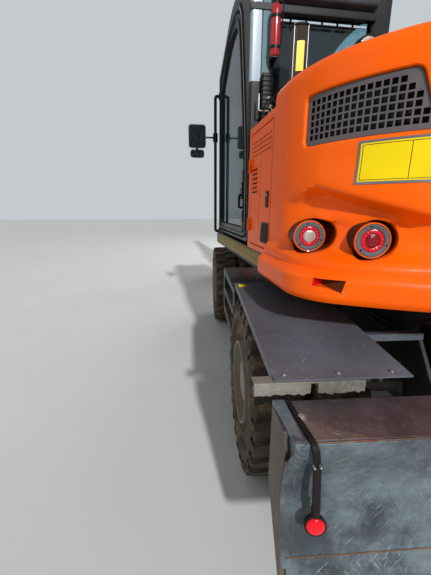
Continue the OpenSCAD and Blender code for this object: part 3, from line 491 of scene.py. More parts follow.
class Sheet:
    """Adds and wires the nodes of one tree."""

    def __init__(self, tree: bpy.types.NodeTree) -> None:
        """Takes the tree that the nodes go into."""
        self.tree = tree

    def node(self, kind: str, inputs: dict | None = None, **settings: object) -> bpy.types.Node:
        """Adds a node.

        Args:
            kind: The node's type.
            inputs: Values or sockets by the input's name or number.
            settings: Attributes of the node.

        Returns:
            The node.
        """
        made = self.tree.nodes.new(kind)
        for key, value in settings.items():
            setattr(made, key, value)
        for key, value in (inputs or {}).items():
            self.feed(made.inputs[key], value)
        return made

    def feed(self, socket: bpy.types.NodeSocket, value: object) -> None:
        """Links a socket to an input, or sets its value."""
        if isinstance(value, bpy.types.NodeSocket):
            self.tree.links.new(value, socket)
        else:
            socket.default_value = value

    def maths(self, operation: str, a: object, b: object = 0.0) -> bpy.types.NodeSocket:
        """Result of an operation on two numbers."""
        return self.node("ShaderNodeMath", {0: a, 1: b}, operation=operation).outputs[0]

    def times(self, a: object, b: object) -> bpy.types.NodeSocket:
        """Product of two numbers."""
        return self.maths("MULTIPLY", a, b)

    def plus(self, a: object, b: object) -> bpy.types.NodeSocket:
        """Sum of two numbers."""
        return self.maths("ADD", a, b)

    def minus(self, a: object, b: object) -> bpy.types.NodeSocket:
        """Difference of two numbers."""
        return self.maths("SUBTRACT", a, b)

    def most(self, a: object, b: object) -> bpy.types.NodeSocket:
        """The larger of two numbers."""
        return self.maths("MAXIMUM", a, b)

    def step(self, value: object, low: object, high: object) -> bpy.types.NodeSocket:
        """A smooth step from 0 at low to 1 at high."""
        inputs = {"Value": value, "From Min": low, "From Max": high}
        return self.node("ShaderNodeMapRange", inputs, interpolation_type="SMOOTHSTEP").outputs[0]

    def mix(self, share: object, a: object, b: object) -> bpy.types.NodeSocket:
        """A colour between a and b."""
        return self.node("ShaderNodeMix", {0: share, 6: a, 7: b}, data_type="RGBA").outputs[2]

    def blend(self, share: object, a: object, b: object) -> bpy.types.NodeSocket:
        """A number between a and b."""
        return self.node("ShaderNodeMix", {0: share, 2: a, 3: b}, data_type="FLOAT").outputs[0]

    def stretched(self, vector: object, scale: Vec3, turn: Vec3 = (0, 0, 0)) -> bpy.types.NodeSocket:
        """Coordinates scaled and turned, with the turn in degrees."""
        inputs = {"Vector": vector, "Scale": scale, "Rotation": [math.radians(a) for a in turn]}
        return self.node("ShaderNodeMapping", inputs).outputs[0]

    def brushed(self, vector: object, scale: Vec3, turn: Vec3) -> bpy.types.NodeSocket:
        """Coordinates turned first and then stretched, for lines that run at a slant."""
        inputs = {"Vector": vector, "Rotation": [math.radians(a) for a in turn]}
        turned = self.node("ShaderNodeVectorRotate", inputs, rotation_type="EULER_XYZ").outputs[0]
        return self.node("ShaderNodeMapping", {"Vector": turned, "Scale": scale}).outputs[0]

    def noise(self, vector: object, scale: object, detail: float, rough: float = 0.55) -> bpy.types.NodeSocket:
        """Fractal noise from 0 to 1."""
        inputs = {"Vector": vector, "Scale": scale, "Detail": detail, "Roughness": rough}
        return self.node("ShaderNodeTexNoise", inputs).outputs[0]

    def group(self, kind: "Effect", **inputs: object) -> dict[str, bpy.types.NodeSocket]:
        """Places a shared effect and returns its outputs by name."""
        made = self.node("ShaderNodeGroup", node_tree=kind.tree())
        for key, value in inputs.items():
            self.feed(made.inputs[key], value)
        return {o.name: o for o in made.outputs}


class Effect(Enum):
    """Surface effects that several finishes share, each one shader node group."""

    DUST = "dust"
    CHIPS = "chips"
    SCRATCHES = "scratches"
    STREAKS = "streaks"
    PEEL = "peel"

    def tree(self) -> bpy.types.NodeTree:
        """The effect's node group, built at its first use."""
        found = bpy.data.node_groups.get(self.value)
        return found or getattr(EffectShop(self.value), self.value)()


class EffectShop:
    """Builds the node groups of the shared effects."""

    def __init__(self, name: str) -> None:
        """Starts an empty group with a vector input."""
        self.tree = bpy.data.node_groups.new(name, "ShaderNodeTree")
        self.sheet = Sheet(self.tree)
        self.tree.interface.new_socket("Vector", in_out="INPUT", socket_type="NodeSocketVector")

    def ports(self, inputs: dict[str, float], output: str) -> dict[str, bpy.types.NodeSocket]:
        """Adds the number inputs and the one output.

        Args:
            inputs: Default values by name.
            output: Name of the output.

        Returns:
            The input sockets inside the group, by name.
        """
        for name, value in inputs.items():
            socket = self.tree.interface.new_socket(name, in_out="INPUT", socket_type="NodeSocketFloat")
            socket.default_value = value
        self.tree.interface.new_socket(output, in_out="OUTPUT", socket_type="NodeSocketFloat")
        self.end = self.sheet.node("NodeGroupOutput")
        start = self.sheet.node("NodeGroupInput")
        return {o.name: o for o in start.outputs if o.name}

    def close(self, value: bpy.types.NodeSocket) -> bpy.types.NodeTree:
        """Feeds the output and returns the group."""
        self.sheet.feed(self.end.inputs[0], value)
        return self.tree

    def dust(self) -> bpy.types.NodeTree:
        """Dirt that thickens below a level and lies on faces that look up."""
        s = self.sheet
        ports = self.ports({"Scale": 6.0, "Level": 1.0, "Fade": 0.8, "Lie": 0.3, "Amount": 0.6}, "Mask")
        height = s.node("ShaderNodeSeparateXYZ", {0: ports["Vector"]}).outputs[2]
        low = s.step(s.minus(ports["Level"], height), 0.0, ports["Fade"])
        normal = s.node("ShaderNodeNewGeometry").outputs["Normal"]
        up = s.step(s.node("ShaderNodeSeparateXYZ", {0: normal}).outputs[2], 0.35, 0.95)
        where = s.plus(low, s.times(up, ports["Lie"]))
        cloud = s.noise(ports["Vector"], ports["Scale"], 7.0, 0.62)
        fine = s.noise(ports["Vector"], s.times(ports["Scale"], 14.0), 5.0, 0.7)
        patch = s.step(s.plus(s.times(cloud, 0.72), s.times(fine, 0.28)), 0.28, 0.74)
        mask = s.times(s.times(where, patch), ports["Amount"])
        return self.close(s.node("ShaderNodeClamp", {0: mask}).outputs[0])

    def chips(self) -> bpy.types.NodeTree:
        """Small spots where the paint is knocked off, in clusters."""
        s = self.sheet
        ports = self.ports({"Scale": 30.0, "Share": 0.1}, "Mask")
        grain = s.noise(ports["Vector"], ports["Scale"], 8.0, 0.72)
        cluster = s.noise(ports["Vector"], s.times(ports["Scale"], 0.12), 3.0, 0.5)
        level = s.minus(0.86, s.times(s.times(cluster, ports["Share"]), 1.6))
        return self.close(s.step(grain, level, s.plus(level, 0.025)))

    def scratches(self) -> bpy.types.NodeTree:
        """Long thin scratches in five directions."""
        s = self.sheet
        ports = self.ports({"Scale": 1.0, "Width": 0.01, "Share": 0.5}, "Mask")
        vector = s.node("ShaderNodeVectorMath", {0: ports["Vector"]}, operation="SCALE")
        s.feed(vector.inputs["Scale"], ports["Scale"])
        total: object = 0.0
        level = s.minus(0.71, ports["Width"])
        for turn, scale in (
            ((42, 38, 0), (15, 15, 330)), ((-52, 24, 30), (20, 20, 420)), ((18, -50, 10), (17, 17, 460)),
            ((-34, -40, 60), (24, 24, 520)), ((10, 62, 35), (30, 30, 640)),
        ):
            line = s.noise(s.brushed(vector.outputs[0], scale, turn), 1.0, 2.0, 0.5)
            thin = s.step(line, level, s.plus(level, 0.05))
            gate = s.step(s.noise(s.stretched(vector.outputs[0], (1, 1, 1), turn), 3.1, 3.0), 0.4, 0.66)
            total = s.most(total, s.times(thin, gate))
        return self.close(s.times(total, ports["Share"]))

    def streaks(self) -> bpy.types.NodeTree:
        """Marks that water has drawn down the faces."""
        s = self.sheet
        ports = self.ports({"Scale": 20.0, "Share": 0.5}, "Mask")
        vector = s.node("ShaderNodeVectorMath", {0: ports["Vector"]}, operation="SCALE")
        s.feed(vector.inputs["Scale"], ports["Scale"])
        run = s.noise(s.stretched(vector.outputs[0], (1, 1, 0.06)), 1.0, 5.0, 0.6)
        cloud = s.noise(vector.outputs[0], 0.14, 3.0)
        mask = s.times(s.step(run, 0.46, 0.72), s.step(cloud, 0.35, 0.7))
        return self.close(s.times(mask, ports["Share"]))

    def peel(self) -> bpy.types.NodeTree:
        """Fine unevenness of sprayed paint, castings and moulded skins."""
        s = self.sheet
        ports = self.ports({"Scale": 120.0, "Depth": 1.0}, "Height")
        wide = s.noise(ports["Vector"], ports["Scale"], 2.0, 0.5)
        fine = s.noise(ports["Vector"], s.times(ports["Scale"], 6.0), 3.0, 0.6)
        height = s.plus(s.times(wide, 0.6), s.times(fine, 0.4))
        return self.close(s.times(height, ports["Depth"]))


class Coating:
    """One material with its shader, ready for the finishes to wire."""

    def __init__(self, name: str, **values: object) -> None:
        """Starts a material.

        Args:
            name: Name of the material.
            values: The shader's own values, with underscores for spaces.
        """
        self.material = bpy.data.materials.new(name)
        self.material.use_nodes = True
        tree = self.material.node_tree
        tree.nodes.clear()
        self.sheet = Sheet(tree)
        self.shader = self.sheet.node("ShaderNodeBsdfPrincipled")
        out = self.sheet.node("ShaderNodeOutputMaterial")
        tree.links.new(self.shader.outputs[0], out.inputs[0])
        self.vector = self.sheet.node("ShaderNodeTexCoord").outputs["Object"]
        for key, value in values.items():
            self.shader.inputs[key.replace("_", " ")].default_value = value

    def feed(self, **sockets: object) -> None:
        """Feeds inputs of the shader, named with underscores for spaces."""
        for key, value in sockets.items():
            self.sheet.feed(self.shader.inputs[key.replace("_", " ")], value)

    def bump(self, height: object, strength: float, distance: float = 0.001) -> None:
        """Roughens the surface by a height."""
        inputs = {"Height": height, "Strength": strength, "Distance": distance}
        self.feed(Normal=self.sheet.node("ShaderNodeBump", inputs).outputs[0])


SOIL = ink("8b7355")
DRY_MUD = ink("6e5a44")


@dataclass(frozen=True)
class Paint:
    """Sprayed paint over steel, with dust, streaks, chips and scratches."""

    name: str
    colour: str
    faded: str
    rough: float = 0.32
    coat: float = 0.4
    dust: float = 0.35
    level: float = 1.1
    lie: float = 0.3
    chips: float = 0.03
    chip: str = "6b5a52"
    scratch: float = 0.12
    streak: float = 0.12
    peel: float = 0.12
    gloss: float = 0.35

    def build(self) -> bpy.types.Material:
        """Wires the finish.

        Returns:
            The material.
        """
        made = Coating(self.name, Coat_Weight=self.coat, Coat_Roughness=0.07, Specular_IOR_Level=self.gloss)
        s, vector = made.sheet, made.vector
        fade = s.step(s.noise(vector, 1.3, 5.0), 0.36, 0.7)
        colour = s.mix(fade, ink(self.colour), ink(self.faded))
        streak = s.group(Effect.STREAKS, Vector=vector, Share=self.streak)["Mask"]
        colour = s.mix(streak, colour, SOIL)
        scratch = s.group(Effect.SCRATCHES, Vector=vector, Share=self.scratch)["Mask"]
        colour = s.mix(scratch, colour, ink("a9a4a0"))
        chips = s.group(Effect.CHIPS, Vector=vector, Share=self.chips)["Mask"]
        colour = s.mix(chips, colour, ink(self.chip))
        dust = s.group(Effect.DUST, Vector=vector, Level=self.level, Lie=self.lie, Amount=self.dust)["Mask"]
        colour = s.mix(dust, colour, SOIL)
        smudge = s.noise(vector, 9.0, 6.0, 0.65)
        rough = s.blend(smudge, self.rough - 0.06, self.rough + 0.1)
        rough = s.blend(s.most(dust, s.times(streak, 0.7)), rough, 0.82)
        made.feed(Base_Color=colour, Roughness=rough)
        peel = s.group(Effect.PEEL, Vector=vector, Scale=90.0)["Height"]
        made.bump(s.minus(peel, s.times(chips, 2.0)), self.peel)
        return made.material


@dataclass(frozen=True)
class WornSteel:
    """Steel worn by soil, with old paint, rust and long scratches."""

    name: str
    colour: str
    bright: str
    paint: str
    rough: float = 0.42
    metal: float = 0.75
    painted: float = 0.5
    rust: float = 0.4
    scratch: float = 0.8
    level: float = 0.5
    dust: float = 0.3

    def build(self) -> bpy.types.Material:
        """Wires the finish.

        Returns:
            The material.
        """
        made = Coating(self.name, Specular_IOR_Level=0.5)
        s, vector = made.sheet, made.vector
        brush = s.noise(s.stretched(vector, (3, 60, 60)), 1.0, 4.0, 0.6)
        steel = s.mix(brush, ink(self.colour), ink(self.bright))
        left = s.step(s.noise(vector, 2.2, 8.0, 0.68), 0.56 - self.painted * 0.3, 0.78 - self.painted * 0.3)
        colour = s.mix(left, ink(self.paint), steel)
        scratch = s.group(Effect.SCRATCHES, Vector=vector, Scale=1.0, Width=0.05, Share=self.scratch)["Mask"]
        colour = s.mix(s.times(scratch, 0.75), colour, ink("b3b8bc"))
        patch = s.step(s.noise(vector, 4.5, 9.0, 0.74), 0.68 - self.rust * 0.22, 0.78 - self.rust * 0.2)
        tone = s.mix(s.noise(vector, 40.0, 4.0), ink("4b2b1c"), ink("8f4c25"))
        colour = s.mix(patch, colour, tone)
        dust = s.group(Effect.DUST, Vector=vector, Level=self.level, Lie=0.25, Amount=self.dust)["Mask"]
        colour = s.mix(dust, colour, SOIL)
        matt = s.most(patch, dust)
        bare = s.times(left, s.minus(1.0, matt))
        rough = s.blend(matt, s.blend(s.noise(vector, 12.0, 5.0), self.rough - 0.1, self.rough + 0.14), 0.85)
        made.feed(Base_Color=colour, Roughness=rough, Metallic=s.times(bare, self.metal))
        grain = s.group(Effect.PEEL, Vector=vector, Scale=60.0)["Height"]
        dent = s.times(s.noise(vector, 5.0, 3.0), 4.0)
        pit = s.times(patch, s.noise(vector, 160.0, 3.0))
        made.bump(s.plus(s.plus(grain, dent), pit), 0.35, 0.0015)
        return made.material


@dataclass(frozen=True)
class Moulded:
    """Moulded plastic, rubber or cloth-like skin with a fine grain."""

    name: str
    colour: str
    pale: str
    rough: float = 0.55
    grain: float = 700.0
    depth: float = 0.25
    dust: float = 0.25
    level: float = 1.0
    lie: float = 0.35
    sheen: float = 0.0
    coat: float = 0.0

    def build(self) -> bpy.types.Material:
        """Wires the finish.

        Returns:
            The material.
        """
        made = Coating(self.name, Specular_IOR_Level=0.25, Sheen_Weight=self.sheen, Coat_Weight=self.coat)
        s, vector = made.sheet, made.vector
        colour = s.mix(s.step(s.noise(vector, 7.0, 6.0), 0.4, 0.72), ink(self.colour), ink(self.pale))
        dust = s.group(Effect.DUST, Vector=vector, Level=self.level, Lie=self.lie, Amount=self.dust)["Mask"]
        colour = s.mix(dust, colour, SOIL)
        rough = s.blend(s.noise(vector, 25.0, 4.0), self.rough - 0.07, self.rough + 0.08)
        made.feed(Base_Color=colour, Roughness=s.blend(dust, rough, 0.9))
        made.bump(s.group(Effect.PEEL, Vector=vector, Scale=self.grain)["Height"], self.depth, 0.0006)
        return made.material


@dataclass(frozen=True)
class TyreRubber:
    """Road worn tyre rubber with dried mud in its grooves and on its walls."""

    name: str = "tyre_rubber"
    mud: float = 0.55

    def build(self) -> bpy.types.Material:
        """Wires the finish.

        Returns:
            The material.
        """
        made = Coating(self.name, Specular_IOR_Level=0.3)
        s, vector = made.sheet, made.vector
        worn = s.step(s.noise(vector, 14.0, 7.0, 0.65), 0.35, 0.72)
        rubber = s.mix(worn, ink("1b1a1a"), ink("34312e"))
        cake = s.step(s.noise(vector, 5.5, 9.0, 0.7), 0.47, 0.62)
        speck = s.step(s.noise(vector, 55.0, 4.0, 0.6), 0.52, 0.66)
        film = s.times(s.noise(vector, 9.0, 4.0), 0.55)
        groove = s.node("ShaderNodeAttribute", attribute_name="groove").outputs["Fac"]
        deep = s.times(s.plus(groove, 0.22), s.plus(cake, 0.35))
        mud = s.times(s.most(s.most(deep, film), s.times(speck, 0.4)), self.mud)
        mud = s.node("ShaderNodeClamp", {0: mud}).outputs[0]
        tone = s.mix(s.noise(vector, 22.0, 6.0), DRY_MUD, ink("96816a"))
        made.feed(Base_Color=s.mix(mud, rubber, tone), Roughness=s.blend(mud, s.blend(worn, 0.55, 0.75), 0.95))
        rough = s.plus(s.noise(vector, 60.0, 7.0, 0.7), s.times(s.times(cake, groove), 2.0))
        made.bump(rough, 0.5, 0.003)
        return made.material


@dataclass(frozen=True)
class Glazing:
    """Tinted safety glass with a film of dust."""

    name: str
    tint: str = "8fa5a8"
    dust: float = 0.1
    clear: float = 0.92

    def build(self) -> bpy.types.Material:
        """Wires the finish.

        Returns:
            The material.
        """
        made = Coating(self.name, Roughness=0.02, IOR=1.5, Transmission_Weight=self.clear, Specular_IOR_Level=0.6)
        s, vector = made.sheet, made.vector
        dust = s.group(Effect.DUST, Vector=vector, Level=1.8, Fade=1.6, Lie=0.2, Amount=self.dust)["Mask"]
        streak = s.group(Effect.STREAKS, Vector=vector, Scale=9.0, Share=self.dust * 0.6)["Mask"]
        film = s.most(dust, streak)
        made.feed(Base_Color=s.mix(film, ink(self.tint), ink("c9c0b0")))
        return made.material


@dataclass(frozen=True)
class Plated:
    """Hard chrome or bright zinc on steel."""

    name: str
    colour: str
    rough: float = 0.12
    metal: float = 1.0
    dull: float = 0.2

    def build(self) -> bpy.types.Material:
        """Wires the finish.

        Returns:
            The material.
        """
        made = Coating(self.name, Metallic=self.metal)
        s, vector = made.sheet, made.vector
        smear = s.step(s.noise(vector, 6.0, 6.0, 0.6), 0.4, 0.75)
        spangle = s.node("ShaderNodeTexVoronoi", {"Vector": vector, "Scale": 45.0}).outputs["Distance"]
        colour = s.mix(s.times(smear, self.dull), ink(self.colour), ink("6f6a63"))
        colour = s.mix(s.times(spangle, self.dull * 0.8), colour, ink("e4e6e8"))
        made.feed(Base_Color=colour, Roughness=s.blend(smear, self.rough, self.rough + self.dull))
        made.bump(s.noise(s.stretched(vector, (1, 1, 1)), 220.0, 2.0), 0.04)
        return made.material


@dataclass(frozen=True)
class Lens:
    """Moulded lamp lens or reflector with a prism pattern."""

    name: str
    colour: str
    glow: float = 0.0
    clear: float = 0.3
    prism: float = 160.0
    shade: str = "2a0606"

    def build(self) -> bpy.types.Material:
        """Wires the finish.

        Returns:
            The material.
        """
        made = Coating(
            self.name,
            Roughness=0.12,
            Specular_IOR_Level=0.3,
            Coat_Weight=0.25,
            Transmission_Weight=self.clear,
            Emission_Strength=self.glow,
        )
        s, vector = made.sheet, made.vector
        cell = s.node("ShaderNodeTexVoronoi", {"Vector": vector, "Scale": self.prism, "Randomness": 0.15}).outputs[0]
        colour = s.mix(s.times(cell, 0.9), ink(self.colour), ink(self.shade))
        made.feed(Base_Color=colour, Emission_Color=colour)
        made.bump(cell, 0.5, 0.002)
        return made.material


class ArrayKind(Enum):
    """Ways in which a small piece repeats."""

    ROW = "row"
    RING = "ring"
    GRID = "grid"


class ArrayTree:
    """Geometry node trees that repeat a small piece, one for each kind."""

    def __init__(self, kind: ArrayKind) -> None:
        """Builds the tree of one kind.

        Args:
            kind: The way of repeating.
        """
        self.tree = bpy.data.node_groups.new(f"repeat_{kind.value}", "GeometryNodeTree")
        self.sheet = Sheet(self.tree)
        self.ids: dict[str, str] = {}
        self._port("Geometry", "NodeSocketGeometry")
        builders = {ArrayKind.ROW: self._row, ArrayKind.RING: self._ring, ArrayKind.GRID: self._grid}
        ports, points, turn = builders[kind]()
        s = self.sheet
        inputs = {"Points": points, "Instance": ports["Geometry"]}
        if turn is not None:
            inputs["Rotation"] = turn
        placed = s.node("GeometryNodeInstanceOnPoints", inputs).outputs[0]
        real = s.node("GeometryNodeRealizeInstances", {0: placed}).outputs[0]
        painted = s.node("GeometryNodeSetMaterial", {"Geometry": real, "Material": ports["Material"]}).outputs[0]
        self.tree.interface.new_socket("Geometry", in_out="OUTPUT", socket_type="NodeSocketGeometry")
        s.feed(s.node("NodeGroupOutput").inputs[0], painted)

    def _port(self, name: str, kind: str) -> None:
        """Adds a named input and keeps its identifier."""
        self.ids[name] = self.tree.interface.new_socket(name, in_out="INPUT", socket_type=kind).identifier

    def _start(self, **kinds: str) -> dict[str, bpy.types.NodeSocket]:
        """Adds the inputs of one kind of tree and returns their sockets."""
        for name, kind in kinds.items():
            self._port(name, kind)
        self._port("Material", "NodeSocketMaterial")
        return {o.name: o for o in self.sheet.node("NodeGroupInput").outputs if o.name}

    def _row(self) -> tuple:
        """Points one step apart."""
        ports = self._start(Count="NodeSocketInt", Step="NodeSocketVector")
        inputs = {"Count": ports["Count"], "Offset": ports["Step"]}
        return ports, self.sheet.node("GeometryNodeMeshLine", inputs, mode="OFFSET").outputs[0], None

    def _ring(self) -> tuple:
        """Points in one place, each turned on by a share of the sweep."""
        ports = self._start(Count="NodeSocketInt", Sweep="NodeSocketFloat", Axis="NodeSocketVector")
        s = self.sheet
        points = s.node("GeometryNodeMeshLine", {"Count": ports["Count"], "Offset": (0, 0, 0)}).outputs[0]
        share = s.maths("DIVIDE", s.node("GeometryNodeInputIndex").outputs[0], ports["Count"])
        inputs = {"Axis": ports["Axis"], "Angle": s.times(share, ports["Sweep"])}
        return ports, points, s.node("FunctionNodeAxisAngleToRotation", inputs).outputs[0]

    def _grid(self) -> tuple:
        """Points in rows and columns from the first one."""
        ports = self._start(
            Columns="NodeSocketInt", Rows="NodeSocketInt", Across="NodeSocketVector", Up="NodeSocketVector"
        )
        s = self.sheet
        total = s.times(ports["Columns"], ports["Rows"])
        points = s.node("GeometryNodeMeshLine", {"Count": total, "Offset": (0, 0, 0)}).outputs[0]
        index = s.node("GeometryNodeInputIndex").outputs[0]
        column = s.maths("MODULO", index, ports["Columns"])
        row = s.maths("FLOOR", s.maths("DIVIDE", index, ports["Columns"]))
        place = None
        for count, step in ((column, ports["Across"]), (row, ports["Up"])):
            run = s.node("ShaderNodeVectorMath", {0: step}, operation="SCALE")
            s.feed(run.inputs["Scale"], count)
            place = run.outputs[0] if place is None else s.node(
                "ShaderNodeVectorMath", {0: place, 1: run.outputs[0]}, operation="ADD"
            ).outputs[0]
        return ports, s.node("GeometryNodeSetPosition", {"Geometry": points, "Offset": place}).outputs[0], None


class Repeater:
    """Repeats small pieces by the geometry node trees."""

    trees: dict[ArrayKind, ArrayTree] = {}

    @classmethod
    def apply(cls, seed: Workpiece, kind: ArrayKind, **inputs: object) -> bpy.types.Mesh:
        """Repeats a seed and turns the result into a plain mesh.

        Args:
            seed: The piece to repeat, in its own millimetres.
            kind: The way of repeating.
            inputs: Values of the tree's named inputs.

        Returns:
            The mesh of all the copies.
        """
        made = cls.trees.setdefault(kind, None) or ArrayTree(kind)
        cls.trees[kind] = made
        mesh = seed.mesh("seed")
        holder = bpy.data.objects.new("seed", mesh)
        bpy.context.scene.collection.objects.link(holder)
        modifier = holder.modifiers.new("repeat", "NODES")
        modifier.node_group = made.tree
        for name, value in inputs.items():
            modifier[made.ids[name]] = value
        holder.update_tag()
        graph = bpy.context.evaluated_depsgraph_get()
        result = bpy.data.meshes.new_from_object(holder.evaluated_get(graph))
        bpy.data.objects.remove(holder)
        bpy.data.meshes.remove(mesh)
        result.materials.clear()
        return result


def row(seed: Workpiece, count: int, step: Vec3) -> bpy.types.Mesh:
    """Copies of a seed one step apart."""
    return Repeater.apply(seed, ArrayKind.ROW, Count=count, Step=step)


def ring(seed: Workpiece, count: int, axis: Vec3 = UP) -> bpy.types.Mesh:
    """Copies of a seed about an axis through the origin."""
    return Repeater.apply(seed, ArrayKind.RING, Count=count, Sweep=math.tau, Axis=axis)


def grid(seed: Workpiece, columns: int, rows: int, across: Vec3, up: Vec3) -> bpy.types.Mesh:
    """Copies of a seed in rows and columns."""
    return Repeater.apply(seed, ArrayKind.GRID, Columns=columns, Rows=rows, Across=across, Up=up)


class Finish(Enum):
    """Every finish of the machine, made into a material at its first use."""

    ORANGE = Paint(
        "orange_enamel", "ff6400", "f65c00", rough=0.36, coat=0.14, dust=0.06, level=1.42, lie=0.2, streak=0.03,
        scratch=0.03, chips=0.0, gloss=0.12
    )
    DARK = Paint(
        "dark_enamel", "242628", "303234", rough=0.42, coat=0.08, dust=0.5, level=0.9, lie=0.4, chip="7a5a44",
        gloss=0.3
    )
    BLACK = Paint(
        "black_satin", "111214", "191a1d", rough=0.34, coat=0.1, dust=0.1, level=1.6, lie=0.3, scratch=0.05,
        chips=0.0, gloss=0.3
    )
    # Dark plate paint lifted to grey-blue: partly its own colour, partly a painted sky reflection. Scratches and chips
    # are real wear.
    GUARD = Paint(
        "guard_enamel", "4b5059", "646a75", rough=0.42, coat=0.1, dust=0.2, level=0.9, lie=0.3, chips=0.12,
        chip="8d9095", scratch=0.9
    )
    RIM = Paint("rim_enamel", "8b8d8b", "7c7e7d", rough=0.5, coat=0.1, dust=0.95, level=1.2, chips=0.05)
    # Pale blue-grey paint on the cab's rear corner strips is a painted sky reflection; the window clips take it too.
    SILVER = Paint("silver_trim", "aebfca", "8fa3b1", rough=0.22, coat=0.5, dust=0.2, level=1.6, scratch=0.05)
    RED = Paint("extinguisher_red", "a51212", "8c0d0d", rough=0.25, coat=0.6, dust=0.15)
    GRILLE = Paint("grille_enamel", "5b5659", "504b4e", rough=0.45, coat=0.1, dust=0.25, level=1.6, scratch=0.1)
    ENGINE = Paint("engine_grey", "4a4c4e", "3a3b3c", rough=0.6, coat=0.0, dust=0.5, level=2.0)
    INSIDE = Moulded("shadowed_inside", "0b0b0c", "111112", rough=0.8)
    BEZEL = Moulded("lamp_bezel", "4d5154", "5d6164", rough=0.5, dust=0.15)
    BLACK_PLASTIC = Moulded("black_plastic", "101111", "191a1b", rough=0.42, dust=0.12)
    GREY_PLASTIC = Moulded("grey_plastic", "3b3e42", "4a4d52", rough=0.5, dust=0.3, level=2.0)
    RUBBER = Moulded("black_rubber", "0c0c0c", "171717", rough=0.6, grain=240.0, depth=0.4, dust=0.04, level=1.3)
    SEAL = Moulded("window_seal", "0e0e0f", "161617", rough=0.6, dust=0.15)
    BEADING = Moulded("pale_beading", "b8b2a4", "a39d90", rough=0.5, dust=0.3, level=2.4)
    FABRIC = Moulded("seat_cloth", "232529", "2f3238", rough=0.85, grain=900.0, depth=0.7, dust=0.1, sheen=0.25)
    SIGN_YELLOW = Moulded("sign_yellow", "f3d406", "e8c800", rough=0.35, dust=0.12, level=1.3)
    SIGN_BORDER = Moulded("sign_border", "6a696b", "7b7a7c", rough=0.45, dust=0.2)
    # Ochre as painted shade and reflection: the orange skirt strip as it looks in shade with a reflection.
    OCHRE = Moulded("ochre_sill", "8a7330", "9c8440", rough=0.5, dust=0.4, level=1.6)
    SMOKED = Glazing("smoked_tube", tint="5b4a42", dust=0.25, clear=0.6)
    GLASS = Glazing("cab_glazing", tint="7f97a0", dust=0.12)
    ZINC = Plated("bright_zinc", "b4b7ba", rough=0.32, metal=0.9, dull=0.35)
    GALVANISED = WornSteel(
        "galvanised_strip", "73716a", "96938a", "55524b", metal=0.3, painted=0.7, rust=0.06, scratch=1.0, level=1.1,
        dust=0.2
    )
    CHROME = Plated("rod_chrome", "d8dbdf")
    MIRROR = Plated("mirror_glass", "23292f", rough=0.04, dull=0.1)
    STEEL = WornSteel("bare_steel", "6b6d6f", "8b8d8f", "3a3c3e", rust=0.35, scratch=0.3)
    BLADE_FACE = WornSteel(
        "blade_face", "5b676f", "82919a", "30373d", metal=0.4, painted=0.5, rust=0.1, scratch=0.85, level=0.5,
        dust=0.2
    )
    BLADE_TOP = WornSteel(
        "blade_top", "4f464c", "665c63", "3a3236", metal=0.25, painted=0.5, rust=0.2, scratch=0.35, level=0.4
    )
    GUSSET = WornSteel("gusset_patch", "5b5052", "7d7268", "4a3d3c", metal=0.2, painted=0.5, rust=0.35, scratch=1.0)
    # Darker orange as painted shade, deep in the lamp pockets and on the reflector wedges' back faces.
    POCKET = Paint(
        "pocket_enamel", "6e2402", "521a02", rough=0.6, coat=0.0, dust=0.3, level=1.6, lie=0.3, chips=0.0, gloss=0.1
    )
    # Blade steel darkened as painted shade for the end plates; its rust and scratches are real wear.
    BLADE_SIDE = WornSteel(
        "blade_side", "453d36", "554b41", "37302a", metal=0.2, painted=0.5, rust=0.35, scratch=0.12, level=1.2,
        dust=0.3
    )
    BUCKET = WornSteel(
        "bucket_steel_worn", "6f7173", "a2a5a8", "303234", painted=0.6, rust=0.35, scratch=0.5, level=0.35
    )
    WELD = WornSteel(
        "rusty_weld", "7c6351", "a58a70", "5d4636", metal=0.2, painted=0.3, rust=0.55, scratch=0.0, dust=0.1
    )
    TYRE = TyreRubber()
    DIODE = Lens("diode_red", "ff3a44", glow=0.5, clear=0.1)
    # Its glow is painted light: the tail reflectors shine as if lit, and the lamp rings glow too.
    RED_LENS = Lens("lens_red", "e0081c", glow=0.12, clear=0.0)
    MARKER = Lens("lens_marker", "f2001c", glow=0.12, clear=0.0, prism=60.0, shade="c00018")
    # Pale teal glass tint on the cab's rear corner is a painted sky reflection.
    TEAL = Glazing("corner_glass", tint="7fa0a8", dust=0.1, clear=0.3)
    CLEAR_LENS = Lens("lens_clear", "e9e2d4", clear=0.35, shade="7c7468")
    DEEP_RED = Lens("lens_deep", "a00a1a", clear=0.15)

    @property
    def material(self) -> bpy.types.Material:
        """The finish's material."""
        return bpy.data.materials.get(self.value.name) or self.value.build()

    @property
    def slot(self) -> str:
        """The record's material slot of this finish."""
        return SLOTS[self]


